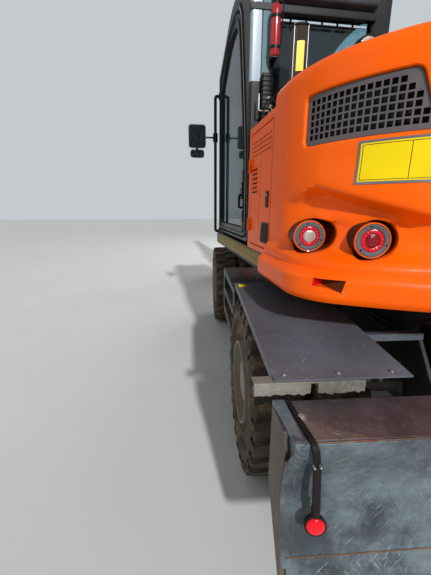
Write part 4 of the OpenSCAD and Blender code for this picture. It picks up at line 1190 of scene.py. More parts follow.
SLOTS = {
    Finish.ORANGE: "orange_paint", Finish.DARK: "dark_paint", Finish.BLACK: "cab_paint", Finish.GUARD: "guard_plate",
    Finish.RIM: "rim_paint", Finish.SILVER: "plastic", Finish.RED: "orange_paint", Finish.GRILLE: "grille",
    Finish.ENGINE: "engine", Finish.INSIDE: "plastic", Finish.BEZEL: "plastic", Finish.BLACK_PLASTIC: "plastic",
    Finish.GREY_PLASTIC: "plastic", Finish.RUBBER: "plastic", Finish.SEAL: "plastic", Finish.BEADING: "plastic",
    Finish.FABRIC: "seat_fabric", Finish.SIGN_YELLOW: "plastic", Finish.SIGN_BORDER: "plastic",
    Finish.OCHRE: "dark_paint",
    Finish.SMOKED: "clear_plastic", Finish.GLASS: "glass", Finish.ZINC: "steel", Finish.GALVANISED: "steel",
    Finish.CHROME: "chrome", Finish.MIRROR: "glass", Finish.STEEL: "steel", Finish.BLADE_FACE: "blade_steel",
    Finish.BUCKET: "bucket_steel", Finish.RED_LENS: "lamp_red", Finish.MARKER: "lamp_red", Finish.TEAL: "glass",
    Finish.TYRE: "tyre", Finish.DIODE: "lamp_red", Finish.DEEP_RED: "lamp_red", Finish.BLADE_TOP: "blade_steel",
    Finish.BLADE_SIDE: "blade_steel", Finish.GUSSET: "blade_steel", Finish.POCKET: "orange_paint",
    Finish.WELD: "blade_steel", Finish.CLEAR_LENS: "clear_plastic",
}


class Kit:
    """Small fittings of one group on one body, gathered by finish."""

    def __init__(self, name: str, body: str, place: Matrix, bevel: float = 0.0) -> None:
        """Starts an empty kit.

        Args:
            name: First part of the pieces' names.
            body: Body that they ride on.
            place: Matrix from the group's millimetres to metres.
            bevel: Width of the rounded edges in millimetres.
        """
        self.name, self.body, self.place, self.bevel = name, body, place, bevel
        self.pieces: dict[Finish, Workpiece] = {}

    def __getitem__(self, finish: Finish) -> Workpiece:
        """The piece that gathers what has this finish."""
        if finish not in self.pieces:
            self.pieces[finish] = Workpiece(self.place)
        return self.pieces[finish]

    def done(self, replaces: dict[Finish, tuple[str, ...]] | None = None, mirrored: bool = False) -> None:
        """Finishes the pieces.

        Args:
            replaces: CAD nodes that the pieces stand for, by finish.
            mirrored: Whether the other side of the machine gets the same.
        """
        for finish, piece in self.pieces.items():
            if mirrored:
                piece.both_sides()
            nodes = (replaces or {}).get(finish, ())
            name = f"{self.name}_{finish.name.lower()}"
            piece.finish(name, self.body, finish, bevel=self.bevel, replaces=nodes)


def even(outline: Sequence[Sequence[float]], pitch: float) -> list[Vector]:
    """Points along a closed outline, no further than pitch apart, its corners kept."""
    made: list[Vector] = []
    for i, here in enumerate(outline):
        a, b = Vector(here), Vector(outline[(i + 1) % len(outline)])
        count = max(1, round((b - a).length / pitch))
        made += [a.lerp(b, k / count) for k in range(count)]
    return made


def edge_distance(point: Vec2, outline: Sequence[Vector]) -> float:
    """Signed distance of a point from a closed outline, negative inside."""
    x, y = point
    inside, best = False, 1e9
    for i, a in enumerate(outline):
        b = outline[(i + 1) % len(outline)]
        dx, dy = b[0] - a[0], b[1] - a[1]
        share = max(0.0, min(1.0, ((x - a[0]) * dx + (y - a[1]) * dy) / max(dx * dx + dy * dy, 1e-9)))
        best = min(best, math.hypot(x - a[0] - share * dx, y - a[1] - share * dy))
        if (a[1] > y) != (b[1] > y) and x < a[0] + (y - a[1]) * dx / dy:
            inside = not inside
    return -best if inside else best


class Loop:
    """A closed outline with its bounding box."""

    def __init__(self, points: Iterable[Sequence[float]]) -> None:
        """Keeps the outline's points."""
        self.points = [Vector(p) for p in points]
        self.low = Vector((min(p.x for p in self.points), min(p.y for p in self.points)))
        self.high = Vector((max(p.x for p in self.points), max(p.y for p in self.points)))

    def away(self, x: float, y: float, reach: float) -> float:
        """Signed distance of a point from the outline, or reach where it is further outside."""
        if x < self.low.x - reach or x > self.high.x + reach or y < self.low.y - reach or y > self.high.y + reach:
            return reach
        return edge_distance((x, y), self.points)


def grown(outline: Sequence[Vector], reach: float) -> list[Vector]:
    """A closed counter-clockwise outline moved outwards by reach."""
    made = []
    for i, here in enumerate(outline):
        a, b = Vector(outline[i - 1]), Vector(outline[(i + 1) % len(outline)])
        run = (b - a).normalized()
        made.append(Vector((here[0] + run.y * reach, here[1] - run.x * reach)))
    return made


def smoothstep(value: float, low: float, high: float) -> float:
    """A smooth step from 0 at low to 1 at high."""
    t = max(0.0, min(1.0, (value - low) / (high - low)))
    return t * t * (3 - 2 * t)


@dataclass(frozen=True)
class TailPlan:
    """Plan of the tail at one height: straight sides, round corners and a round rear."""

    half: float
    radius: float
    corner: float

    @property
    def middle(self) -> Vec2:
        """Middle of the left corner, as distances left of and behind the swing axis."""
        x = self.half - self.corner
        return (x, math.sqrt((self.radius - self.corner) ** 2 - x * x))

    def reach(self, start: Vec2, way: Vec2) -> float:
        """Distance from a point to the plan's left half.

        Args:
            start: The point, as x and y.
            way: Unit direction to the left and rear.

        Returns:
            The distance along the direction.
        """
        mx, my = self.middle
        if way[0] < -1e-6:
            far = (-self.half - start[0]) / way[0]
            if start[1] + far * way[1] >= -my:
                return far
        share = self.radius / (self.radius - self.corner)
        for centre, radius, rear in (((0.0, 0.0), self.radius, True), ((-mx, -my), self.corner, False)):
            ox, oy = start[0] - centre[0], start[1] - centre[1]
            b = ox * way[0] + oy * way[1]
            far = -b + math.sqrt(max(0.0, b * b - (ox * ox + oy * oy - radius * radius)))
            if not rear or abs(start[0] + far * way[0]) <= mx * share:
                return far
        return far


@dataclass(frozen=True)
class TailLamp:
    """One round lamp in its pocket: place on the corner, and the colour of its middle."""

    angle: float
    clear: bool


@dataclass(frozen=True)
class Counterweight:
    """Cast tail with its bumper, grilles, lamps, reflectors and blank signs."""

    body: TailPlan = TailPlan(1204, 2165, 700)
    shoulder: TailPlan = TailPlan(1240, 2185, 450)
    band: TailPlan = TailPlan(1268, 2199, 250)
    wing: float = 1290.6
    bay: Vec2 = (900, 1590.6)
    low: float = 1241.0
    top: float = 2169.0
    crown: float = 58.0
    pitch: float = 15.0
    grille: Vec2 = (1845, 2037)
    lamps: tuple[TailLamp, ...] = (TailLamp(203.0, True), TailLamp(224.6, False))
    lamp_z: float = 1480.0
    lamp_radius: float = 61.0
    lamp_turn: float = 12.0
    pocket: Vec2 = (71.0, 73.0)
    grille_angle: float = 196.9
    wedge_depth: Vec3 = (12, 52, 0)
    softening: tuple[int, ...] = (-8, -4, 0, 4, 8)

    def path(self, u: float) -> tuple[Vector, Vector]:
        """Place and outward direction on the body's plan.

        Args:
            u: Distance along the plan from the left wing's front edge.

        Returns:
            The point and the unit normal, both in the plan.
        """
        mx, my = self.body.middle
        straight = my - self.wing
        if u <= straight:
            return Vector((-self.body.half, -self.wing - u)), Vector((-1, 0))
        turned = (u - straight) / self.body.corner
        corner = math.atan2(my, mx)
        if turned <= corner:
            a = math.pi + turned
            normal = Vector((math.cos(a), math.sin(a)))
            return Vector((-mx, -my)) + normal * self.body.corner, normal
        a = math.pi + corner + (u - straight - corner * self.body.corner) / self.body.radius
        normal = Vector((math.cos(a), math.sin(a)))
        return normal * self.body.radius, normal

    @property
    def length(self) -> float:
        """Length of the plan from the wing's front edge to the middle of the rear."""
        mx, my = self.body.middle
        corner = math.atan2(my, mx)
        return my - self.wing + corner * self.body.corner + (math.pi / 2 - corner) * self.body.radius

    def along(self, angle: float) -> float:
        """Distance along the plan of an angle about the left corner's middle, in degrees."""
        return self.body.middle[1] - self.wing + math.radians(angle - 180) * self.body.corner

    def level(self, u: float, z: float) -> float:
        """How far the bumper stands out of the body's plan along the ray from the bay."""
        point, _ = self.path(u)
        start = (0.0, -self.wing + 1)
        way = Vector((point.x - start[0], point.y - start[1])).normalized()
        body = (point - Vector(start)).length
        rows = ((1241, self.band, 16), (1252, self.band, 4), (1264, self.band, 0), (1342, self.band, 0),
                (1358, self.shoulder, 10), (1390, self.shoulder, 0), (1432, self.body, 0), (3000, self.body, 0))
        total = 0.0
        for shift in self.softening:
            here = max(self.low, z + (shift if z > 1300 else 0))
            for (z0, plan0, in0), (z1, plan1, in1) in zip(rows, rows[1:]):
                if here <= z1:
                    share = max(0.0, (here - z0) / (z1 - z0))
                    a = plan0.reach(start, way) - in0
                    b = plan1.reach(start, way) - in1
                    total += a + (b - a) * share - body
                    break
        return total / len(self.softening)

    def relief(self, u: float, z: float) -> float:
        """Depth of the scoop under the brow and of the hollows beside the lamps."""
        brow_u = (self.along(194.2), self.along(204.7), self.along(238.3), self.length)
        brow_z = (1646, 1678, 1569, 1545)
        edge = brow_z[-1]
        for i in range(3):
            if u <= brow_u[i + 1]:
                low, high = brow_u[i], brow_u[i + 1]
                share = smoothstep(u, low, high) if i == 0 else (u - low) / (high - low)
                edge = brow_z[i] + (brow_z[i + 1] - brow_z[i]) * max(0.0, share)
                break
        grow = smoothstep(u, self.along(186), self.along(206))
        under = edge - z
        depth = 46 * grow * smoothstep(under, -2, 25) * (1 - smoothstep(under, 45, 235))
        proud = 10 * grow * smoothstep(-under, -4, 12) * (1 - smoothstep(-under, 12, 150))
        for lamp in self.lamps:
            du, dz = u - self.along(lamp.angle) - 85, z - self.lamp_z - 10
            if du > -80:
                spread = 140.0
                fade = (1 - smoothstep(du, 0, spread)) * smoothstep(du, -80, -20)
                lip = smoothstep(62 - dz, 0, 16) * (1 - smoothstep(62 - dz, 30, 150))
                depth += 20 * fade * lip
        return depth - proud

    def skin(self, u: float, z: float, deep: float = 0.0) -> Vector:
        """A point of the cast skin.

        Args:
            u: Distance along the plan.
            z: Height.
            deep: Distance below the skin.

        Returns:
            The point in the upper frame.
        """
        point, normal = self.path(u)
        start = Vector((0.0, -self.wing + 1))
        way = (point - start).normalized()
        crown = 0.0
        if z > self.top - self.crown:
            rise = min(z - self.top + self.crown, self.crown)
            crown = self.crown - math.sqrt(max(0.0, self.crown**2 - rise**2))
        moved = point + way * self.level(u, z) - normal * (self.relief(u, z) + deep + crown)
        moved.y = min(moved.y, -self.wing)
        return Vector((moved.x, moved.y, z))

    def lamp_axes(self, lamp: TailLamp) -> tuple[Vector, Vector, Vector]:
        """Place, outward axis and right-hand axis of a lamp."""
        a = math.radians(lamp.angle)
        mx, my = self.body.middle
        place = Vector((self.body.corner * math.cos(a) - mx, self.body.corner * math.sin(a) - my, self.lamp_z))
        t = math.radians(self.lamp_turn)
        return place, Vector((-math.sin(t), -math.cos(t), 0)), Vector((math.cos(t), -math.sin(t), 0))

    def pocket_outline(self, lamp: TailLamp) -> list[Vector]:
        """Eye-shaped edge of a lamp's pocket, in the skin's own coordinates."""
        place, _, right = self.lamp_axes(lamp)
        made = []
        for i in range(40):
            a = 2 * math.pi * i / 40
            across = self.pocket[0] * math.cos(a)
            low, high = self.along(lamp.angle) - 320, self.along(lamp.angle) + 320
            for _ in range(30):
                mid = (low + high) / 2
                point, _ = self.path(mid)
                low, high = (mid, high) if (point - place.xy).dot(right.xy) < across else (low, mid)
            made.append(Vector((low, self.lamp_z + self.pocket[1] * math.sin(a))))
        return made

    def grille_outline(self) -> list[Vector]:
        """Edge of the grille's recess, with its slanted right end."""
        (z0, z1), u0 = self.grille, self.along(self.grille_angle)
        return rounded([(u0, z0), (u0 + 486, z0), (u0 + 420, z1), (u0, z1)], 26, 5)

    def wedge(self) -> list[Vector]:
        """Corners of the reflector's wedge: outer left, deep middle and outer right, low and high."""
        u = self.along(214.2)
        return [
            Vector(p) for p in ((u, 1303), (u + 46, 1305), (u + 92, 1288), (u + 102, 1337), (u + 48, 1337), (u, 1337))
        ]

    def surface(self, outer: list[Vector], holes: list[list[Vector]], lips: list[list[Vector]], pitch: float,
                place: Callable[[float, float], Vector]) -> Workpiece:
        """Lays a triangulated sheet with holes over the skin.

        Args:
            outer: Outline in the skin's coordinates, counter-clockwise.
            holes: Outlines cut out of it.
            lips: Further lines that the triangles keep to.
            pitch: Distance between the points inside.
            place: Maps the coordinates to a point of the upper frame.

        Returns:
            The sheet as a piece.
        """
        points: list[Vector] = []
        loops: list[list[int]] = []
        for loop in [even(outer, pitch)] + holes + lips:
            loops.append(list(range(len(points), len(points) + len(loop))))
            points += [Vector(p) for p in loop]
        rim, cut, lines = Loop(outer), [Loop(h) for h in holes], [Loop(h) for h in lips]
        size = rim.high - rim.low
        columns, rows = int(size.x / pitch), int(size.y / pitch)
        for i in range(1, columns):
            for k in range(1, rows):
                x, y = rim.low.x + size.x * i / columns, rim.low.y + size.y * k / rows
                free = all(h.away(x, y, pitch) > pitch * 0.5 for h in cut) and rim.away(x, y, pitch) < -pitch * 0.3
                if free and all(abs(h.away(x, y, pitch)) > pitch * 0.35 for h in lines):
                    points.append(Vector((x, y)))
        edges = [(loop[i], loop[(i + 1) % len(loop)]) for loop in loops for i in range(len(loop))]
        verts, _, faces, *_ = delaunay_2d_cdt(points, edges, [], 0, 1e-4)
        piece = Workpiece(PLACE.upper)
        made = [piece.bm.verts.new(place(v.x, v.y)) for v in verts]
        for face in faces:
            mid = sum((verts[i] for i in face), Vector((0, 0))) / len(face)
            if rim.away(mid.x, mid.y, 1) < 0 and all(h.away(mid.x, mid.y, 1) > 0 for h in cut):
                piece.bm.faces.new([made[i] for i in face])
        return piece

    def cast(self) -> None:
        """Builds the cast body: skin, pockets, recess for the engine bay, top and bottom; the pockets' depths and the
        wedges' back faces take painted shade.
        """
        pockets = [self.pocket_outline(lamp) for lamp in self.lamps]
        grille, wedge = self.grille_outline(), self.wedge()
        holes = pockets + [even(grille, 14), even(wedge, 14)]
        lips = [grown(h, reach) for h in pockets for reach in (3, 8)] + [even(grown(grille, r), 14) for r in (3, 9)]
        soft = [(Loop(p), 8.0) for p in pockets] + [(Loop(grille), 9.0)]

        def place(u: float, z: float) -> Vector:
            """The skin with rounded lips at its pockets."""
            deep = 0.0
            for outline, lip in soft:
                away = outline.away(u, z, lip)
                if -1 < away < lip:
                    share = 1 - max(0.0, away) / lip
                    deep = max(deep, lip * 0.8 * (1 - math.sqrt(1 - share * share)))
            return self.skin(u, z, deep)

        outer = [(0, self.low), (self.length, self.low), (self.length, self.top), (0, self.top)]
        piece = self.surface(outer, holes, lips, self.pitch, place)
        bm, pocket_shade = piece.bm, Workpiece(PLACE.upper)
        for lamp, outline in zip(self.lamps, pockets):
            _, ahead, _ = self.lamp_axes(lamp)
            self.wall(bm, [[place(*p) - ahead * deep for p in outline] for deep in (0, 6, 16)], fill=False)
            # From 15 mm down, the pocket's wall and floor take the painted shade.
            self.wall(pocket_shade.bm, [[place(*p) - ahead * deep for p in outline] for deep in (15, 84)], fill=True)
        self.wall(
            bm, [[self.skin(p[0], p[1], 7.2 + deep) for p in even(grille, 14)] for deep in (0, 4, 30)], fill=False
        )
        bl, low, br, tr, high, tl = (self.skin(*p) for p in wedge)
        deep_low, deep_high = (p + Vector(self.wedge_depth) for p in (low, high))
        for ring in ((bl, deep_low, deep_high, tl), (bl, low, deep_low), (low, br, deep_low)):
            bm.faces.new([bm.verts.new(p) for p in ring])
        # The wedge's back faces take the painted shade.
        for ring in ((deep_low, br, tr, deep_high), (tl, deep_high, high), (high, deep_high, tr)):
            pocket_shade.bm.faces.new([pocket_shade.bm.verts.new(p) for p in ring])
        self.close(bm)
        pocket_shade.both_sides().finish("tail_pocket_liners", "upper", Finish.POCKET)
        piece.both_sides().finish(
            "counterweight_cast", "upper", Finish.ORANGE, smooth=38, replaces=("counterweight",)
        )

    def wall(self, bm: bmesh.types.BMesh, rims: list[list[Vector]], fill: bool) -> None:
        """Joins the rims of a pocket by a wall, and closes its floor."""
        rings = [[bm.verts.new(p) for p in rim] for rim in rims]
        for a, b in zip(rings, rings[1:]):
            for i in range(len(a)):
                k = (i + 1) % len(a)
                bm.faces.new((a[k], a[i], b[i], b[k]))
        if fill:
            bm.faces.new(rings[-1])

    def close(self, bm: bmesh.types.BMesh) -> None:
        """Closes the top, the bottom, the wing's front and the recess for the engine bay."""
        bay, back = self.bay
        count, rows = round(self.length / self.pitch), round((self.top - self.low) / self.pitch)
        rings = []
        for z in (self.low, self.top):
            rim = [self.skin(self.length * i / count, z) for i in range(count + 1)]
            rings.append(rim + [Vector((0, -back, z)), Vector((-bay, -back, z)), Vector((-bay, -self.wing, z))])
        front = [self.skin(0, self.low + (self.top - self.low) * i / rows) for i in range(rows + 1)]
        low, top = rings
        rings += [
            front + [top[-1], low[-1]], [low[-3], low[-2], top[-2], top[-3]], [low[-2], low[-1], top[-1], top[-2]]
        ]
        for ring in rings:
            bm.faces.new([bm.verts.new(p) for p in ring])

    def grilles(self) -> None:
        """Builds the grey plates with their rows of square holes, and the dark behind them."""
        z0, step, bar = self.grille[0], 26.0, 3.2
        start = Vector((self.along(self.grille_angle) + 18, z0 + 18))
        counts = (17, 17, 16, 16, 15, 14)
        stair = [start]
        for i, n in enumerate(counts):
            stair += [start + Vector((n * step, k * step)) for k in (i, i + 1)]
        stair.append(start + Vector((0, len(counts) * step)))
        stair = [p for i, p in enumerate(stair) if (p - stair[i - 1]).length > 1]
        outline = even(grown(self.grille_outline(), -2.5), 14)
        plate = self.surface(outline, [even(stair, step / 2)], [], 20.0, lambda u, z: Vector((u, z, 0)))
        for i, n in enumerate(counts):
            seed = Workpiece()
            seed.block((0, 0, -3), (step, bar, 0)).block((0, step - bar, -3), (step, step, 0))
            seed.block((0, bar, -3), (bar, step - bar, 0)).block((step - bar, bar, -3), (step, step - bar, 0))
            plate.take(
                grid(seed, n, 1, (step, 0, 0), (0, step, 0)), Matrix.Translation((start.x, start.y + i * step, 0))
            )
        for vert in plate.bm.verts:
            vert.co = self.skin(vert.co.x, vert.co.y, 13 - vert.co.z)
        plate.both_sides().finish(
            "tail_grille_plates", "upper", Finish.GRILLE, smooth=30, replaces=("tail_grilles",)
        )
        dark = self.surface(outline, [], [], 40.0, lambda u, z: self.skin(u, z, 34))
        dark.both_sides().finish("grille_shadow", "upper", Finish.INSIDE, slot="dark_paint")

    def lights(self) -> None:
        """Builds the round lamps: painted rim, barrel, bezel with screws, ring of diodes and middle."""
        r = self.lamp_radius
        finishes = {
            "housing": Finish.ORANGE, "barrels": Finish.BLACK_PLASTIC, "bezel": Finish.BEZEL, "screws": Finish.INSIDE,
            "diodes": Finish.DIODE, "rings": Finish.RED_LENS, "clear": Finish.CLEAR_LENS, "red": Finish.DEEP_RED,
        }
        pieces = {name: Workpiece(PLACE.upper) for name in finishes}
        for lamp in self.lamps:
            place, ahead, _ = self.lamp_axes(lamp)
            at = Matrix.Translation(place) @ Vector(UP).rotation_difference(ahead).to_matrix().to_4x4()
            barrel = [(r + 1, -160), (r + 5.5, -160), (r + 5.5, -2), (r + 1, -2)]
            rim = [(r + 1, -3), (r + 6, -3), (r + 6, 1), (r + 5, 4), (r + 3.5, 5), (r + 2, 4.5), (r + 1, 2)]
            bezel = [(r - 18, -4), (r + 1, -4), (r + 1, 2), (r - 1, 4.5), (r - 14, 5.5), (r - 17, 4), (r - 18, 1)]
            band = [(r - 34, -2), (r - 18.5, -2), (r - 18.5, 2.5), (r - 22, 4.5), (r - 30, 4.5), (r - 34, 2.5)]
            for name, profile in (("housing", rim), ("barrels", barrel), ("bezel", bezel), ("rings", band)):
                part = Workpiece().lathe(profile, sides=56, closed=True)
                pieces[name].take(part.mesh(name), at)
            back = Workpiece().lathe([(r + 3, -8), (r + 3, -5)], sides=40)
            pieces["bezel"].take(back.mesh("back"), at)
            screw = Workpiece().lathe([(3.6, 0), (3.6, 1.6), (2.6, 2.6), (0.6, 2.6)], (0, r - 8, 4.6), UP, 10)
            pieces["screws"].take(ring(screw, 3), at)
            diode = Workpiece().lathe([(3.4, 0), (3.0, 1.6), (1.4, 2.4), (0, 2.6)], (r - 26, 0, 4.2), UP, 8)
            pieces["diodes"].take(ring(diode, 16), at)
            dome = Workpiece().lathe([(r - 34.5, -1), (r - 35, 2), (r - 41, 5), (r - 49, 6.6), (0, 7)], sides=40)
            pieces["clear" if lamp.clear else "red"].take(dome.mesh("dome"), at)
        slots = {"screws": "steel", "clear": "lamp_red"}
        for name, piece in pieces.items():
            finish, slot = finishes[name], slots.get(name, "")
            replaces = ("tail_lamps",) if name == "rings" else ()
            piece.both_sides().finish(f"tail_lamp_{name}", "upper", finish, slot=slot, replaces=replaces)

    def sheet_metal(self, low: Vec2, high: Vec2, lift: float, radius: float) -> Workpiece:
        """A thin plate that follows the skin between two corners in its coordinates."""
        outline = even(box_outline(low, high, radius, 4), 12)
        face = self.surface(outline, [], [], 24.0, lambda u, z: self.skin(u, z, -lift))
        self.wall(
            face.bm,
            [[self.skin(p[0], p[1], -lift) for p in outline], [self.skin(p[0], p[1], 1) for p in outline]], False
        )
        return face

    def signs(self) -> None:
        """Builds the blank yellow plates in their grey borders, and the red reflectors in the wedges."""
        u = self.along(217.6)
        low, high = Vector((u, 1681)), Vector((u + 430, 1830))
        parts = (
            ("sign_borders", 0, 2.2, Finish.SIGN_BORDER), ("sign_faces", 9, 2.8, Finish.SIGN_YELLOW),
        )
        for name, inset, lift, finish in parts:
            margin = Vector((inset, inset))
            piece = self.sheet_metal(low + margin, high - margin, lift, 5)
            piece.both_sides().finish(name, "upper", finish, smooth=40)
        lines = Workpiece(PLACE.upper)
        for a, b in (
            ((u + 16, 1695), (u + 414, 1697)), ((u + 16, 1814), (u + 414, 1816)), ((u + 16, 1695), (u + 18, 1816)),
            ((u + 412, 1695), (u + 414, 1816)), ((u + 168, 1695), (u + 170, 1816)),
        ):
            strip = self.sheet_metal(a, b, 3.1, 0)
            lines.take(strip.mesh("line"))
        lines.both_sides().finish("sign_lines", "upper", Finish.BLACK_PLASTIC)
        bl, low3, _, _, high3, tl = (self.skin(*p) for p in self.wedge())
        deep_low, deep_high = (p + Vector(self.wedge_depth) for p in (low3, high3))
        across = (deep_low - bl).normalized()
        ahead = across.cross(Vector(UP))
        corners = [bl + across * 3, deep_low - across * 3, deep_high - across * 3, tl + across * 3]
        corners = [p + Vector((0, 0, 2 if i < 2 else -2)) for i, p in enumerate(corners)]
        plate = Workpiece(PLACE.upper).loft([[p - ahead * 1.0 for p in corners], [p + ahead * 3.0 for p in corners]])
        # The reflectors' glow is painted light.
        plate.both_sides().finish("tail_reflectors", "upper", Finish.RED_LENS, bevel=1.0)

    def build(self) -> None:
        """Builds the tail."""
        self.cast()
        self.grilles()
        self.lights()
        self.signs()


@dataclass(frozen=True)
class Blade:
    """Dozer blade: worn mouldboard, end plates, weld beads and the marker lamps on their stalks."""

    half: float = 1240.0
    plate: float = 18.0
    top: float = 959.0
    rear: float = 2354.0
    back: float = 2156.0
    height: float = 579.0

    def profile(self) -> list[Vector]:
        """Side outline of the mouldboard, as y and z."""
        rear, back, top = -self.rear, -self.back, self.top
        low = top - self.height
        corners = [
            (rear, top), (rear, top - 20), (rear + 50, top - 180), (rear + 38, low + 200), (rear - 40, low),
            (rear - 12, low)
        ]
        corners += [(back, low + 260), (back, top)]
        curve = rounded(corners[1:5], 150, 8, closed=False)
        return [Vector(corners[0])] + curve + [Vector(p) for p in corners[5:]]

    def skin(self, z: float) -> float:
        """Where the mouldboard's rear face lies at a height."""
        points = sorted((p for p in self.profile() if p.x < -self.rear + 70), key=lambda p: p.y)
        for a, b in zip(points, points[1:]):
            if a.y <= z <= b.y:
                return a.x + (b.x - a.x) * (z - a.y) / max(b.y - a.y, 1e-6)
        return points[0].x

    def shell(self) -> None:
        """Builds the mouldboard, its top, the end plates with their bars, and the brackets behind."""
        inner = self.half - self.plate
        face = Workpiece(PLACE.lower).prism(self.profile(), -inner, inner)
        cut = ((0, 44), (43, 12), (86, 0))
        levels = {p.y for p in self.profile() if p.x < -self.rear + 70 and self.top - 575 < p.y < self.top - 90}
        rings = []
        for z in sorted(levels | {self.top - drop for drop, _ in cut}, reverse=True):
            inset = next((i for drop, i in cut if z >= self.top - drop), 0)
            half, y = self.half - inset, self.skin(z)
            rings.append([Vector((s * half, y + d, z)) for s, d in ((-1, -4), (1, -4), (1, 3), (-1, 3))])
        face.loft(rings)
        face.finish("blade_mouldboard", "blade", Finish.BLADE_FACE, bevel=2.5, smooth=30, replaces=("blade",))
        lid = Workpiece(PLACE.lower)
        lid.block((-inner + 1, -self.rear + 7, self.top - 1), (inner - 1, -self.back - 2, self.top + 3))
        lid.finish("blade_top_plate", "blade", Finish.BLADE_TOP, bevel=2)
        ends = Workpiece(PLACE.lower)
        outline = [(p.x + 9 if p.x < -self.back - 60 else p.x, p.y) for p in self.profile() if p.y < self.top - 90]
        corner = [(60 - self.rear, self.top - 6), (self.skin(self.top - 92) + 9, self.top - 92)]
        ends.prism(corner + outline + [(-self.back, self.top - 6)], -self.half, -inner)
        # The end plates take the steel darkened as painted shade.
        ends.both_sides().finish("blade_end_plates", "blade", Finish.BLADE_SIDE, bevel=3)
        bars = Workpiece(PLACE.lower)
        bars.loft([
            [
                Vector(p + (z,))
                for p in (
                    (-self.half, -self.back - 2), (-1200, -self.back - 2), (-1197, 3 - self.rear),
                    (44 - self.half, 3 - self.rear), (12 - self.half, 46 - self.rear)
                )
            ]
            for z in (self.top - 6, self.top + 8)
        ])
        bars.both_sides().finish("blade_end_bars", "blade", Finish.BLADE_FACE, bevel=2)
        brackets = Workpiece(PLACE.lower)
        pins = (((-self.back + 100), 700.0), (-self.back + 60, 880.0))
        for x in (250.0, 330.0):
            corners = [(-self.back - 4, 948), (pins[1][0] + 40, 930), (pins[0][0] + 45, 655), (-self.back - 4, 640)]
            brackets.prism(rounded(corners, 36), x, x + 20)
        for (y, z), r in zip(pins, (25, 22)):
            brackets.rod((244, y, z), (356, y, z), r, edge=2)
            brackets.rod((240, y, z), (360, y, z), r * 0.6, edge=2)
        brackets.both_sides().finish("blade_brackets_rear", "blade", Finish.DARK, slot="blade_steel", bevel=2)

    def welds(self) -> None:
        """Builds the rusty seams, gussets and gouges, and the cutting edge with its bolts."""
        luck = random.Random(7)
        beads = Workpiece(PLACE.lower)
        inner, skin = self.half - self.plate, self.skin
        seam = [(x, skin(520) - 4.4, 520 + luck.uniform(-1.5, 1.5)) for x in range(int(-inner), int(inner) + 1, 22)]
        beads.tube(seam, 3.2, 8)
        for x in (-1200, 1200):
            beads.tube([(x + luck.uniform(-1.2, 1.2), skin(z) - 3.6, z) for z in range(522, 676, 14)], 2.0, 8)
        for x in (-self.half, self.half):
            beads.tube([(x, skin(z) - 1, z) for z in range(384, 900, 14)], 2.2, 8)
        beads.tube(
            [(x, -self.rear + 2, self.top + 1 + luck.uniform(-0.8, 0.8)) for x in range(-1190, 1191, 17)], 2.4, 8
        )
        beads.finish("blade_welds", "blade", Finish.WELD)
        patch = Workpiece(PLACE.lower)
        ragged = [
            (-1172 + 172 * i / 16 + luck.uniform(-6, 6), -2252 - 91 * i / 16 + luck.uniform(-7, 7)) for i in range(17)
        ]
        shape = ragged + [(-1000, -2345), (-1162, -2345)]
        patch.loft([[Vector((x, y, z)) for x, y in shape] for z in (self.top + 2, self.top + 4)])
        patch.both_sides().finish("blade_gussets", "blade", Finish.GUSSET, bevel=1)
        mark = Workpiece(PLACE.lower)
        for points, thick in (
            (((-1230, 890), (-1200, 862), (-1202, 820), (-1204, 776)), 1.0), (((-1092, 880), (-1060, 898)), 1.2)
        ):
            mark.tube([(x, skin(z) - 4.2, z) for x, z in points], thick, 6)
        mark.finish("blade_gouges", "blade", Finish.GALVANISED, slot="blade_steel")
        edge = Workpiece(PLACE.lower)
        low = self.top - self.height
        edge.prism(
            [
                (-self.rear - 44, low - 1), (-self.rear - 30, low + 62), (-self.rear - 18, low + 62),
                (-self.rear - 24, low - 1)
            ],
            -inner + 20, inner - 20
        )
        edge.finish("blade_cutting_edge", "blade", Finish.STEEL, slot="blade_steel", bevel=2)
        heads = Workpiece().lathe(
            [(15, 0), (15, 3), (11, 8), (0, 9)], (-1120, -self.rear - 29, low + 34), (0, -1, 0.22), 16
        )
        bolts = Workpiece(PLACE.lower).take(row(heads, 15, (160, 0, 0)))
        bolts.finish("blade_edge_bolts", "blade", Finish.STEEL, slot="blade_steel")

    def markers(self) -> None:
        """Builds the marker lamps that hang over the rear edge on rubber stalks."""
        stalk, rim, lens, bolts = (Workpiece(PLACE.lower) for _ in range(4))
        top, rear = self.top, -self.rear
        route = [(-1190, -self.back - 6, top + 8), (-1184, -self.back - 90, top + 8), (-1175, rear + 6, top + 9)]
        route += [(-1169, rear - 14, top - 4), (-1162, rear - 17, top - 60), (-1154, rear - 21, top - 212)]
        chain = rounded(route, 14, 5, closed=False)
        rings = []
        for i, here in enumerate(chain):
            way = (chain[min(i + 1, len(chain) - 1)] - chain[max(i - 1, 0)]).normalized()
            side = Vector((1, 0, 0)) - way * way.x
            side.normalize()
            up = side.cross(way)
            half = 8 + 4 * i / len(chain)
            section = box_outline((-half, -5), (half, 5), 4, 3)
            rings.append([here + side * p[0] + up * p[1] for p in section])
        stalk.loft(rings)
        centre = Vector((-1150, rear - 16, top - 274))
        turn = Vector((-0.14, -1, 0.12))
        stalk.rod(centre + Vector((-1, 4, 68)), centre + Vector((0, 6, 30)), 13)
        rim.lathe([(20, -14), (31, -10), (33, 0), (33, 6), (31, 8.5), (28.5, 8.5), (27.5, 5)], centre, turn, 40)
        lens.lathe([(27.4, 2), (27.4, 8), (24, 11.5), (14, 13.5), (0, 14)], centre, turn, 40)
        bolts.lathe([(17, 0), (17, 3), (10, 3.5), (10, 11), (8, 12.5), (0, 12.5)], (-1172, rear + 104, top + 3), UP, 18)
        for x in (-1178, -1160):
            bolts.rod((x, rear - 26, top - 46), (x, rear - 40, top - 46), 3.2, 8, 1)
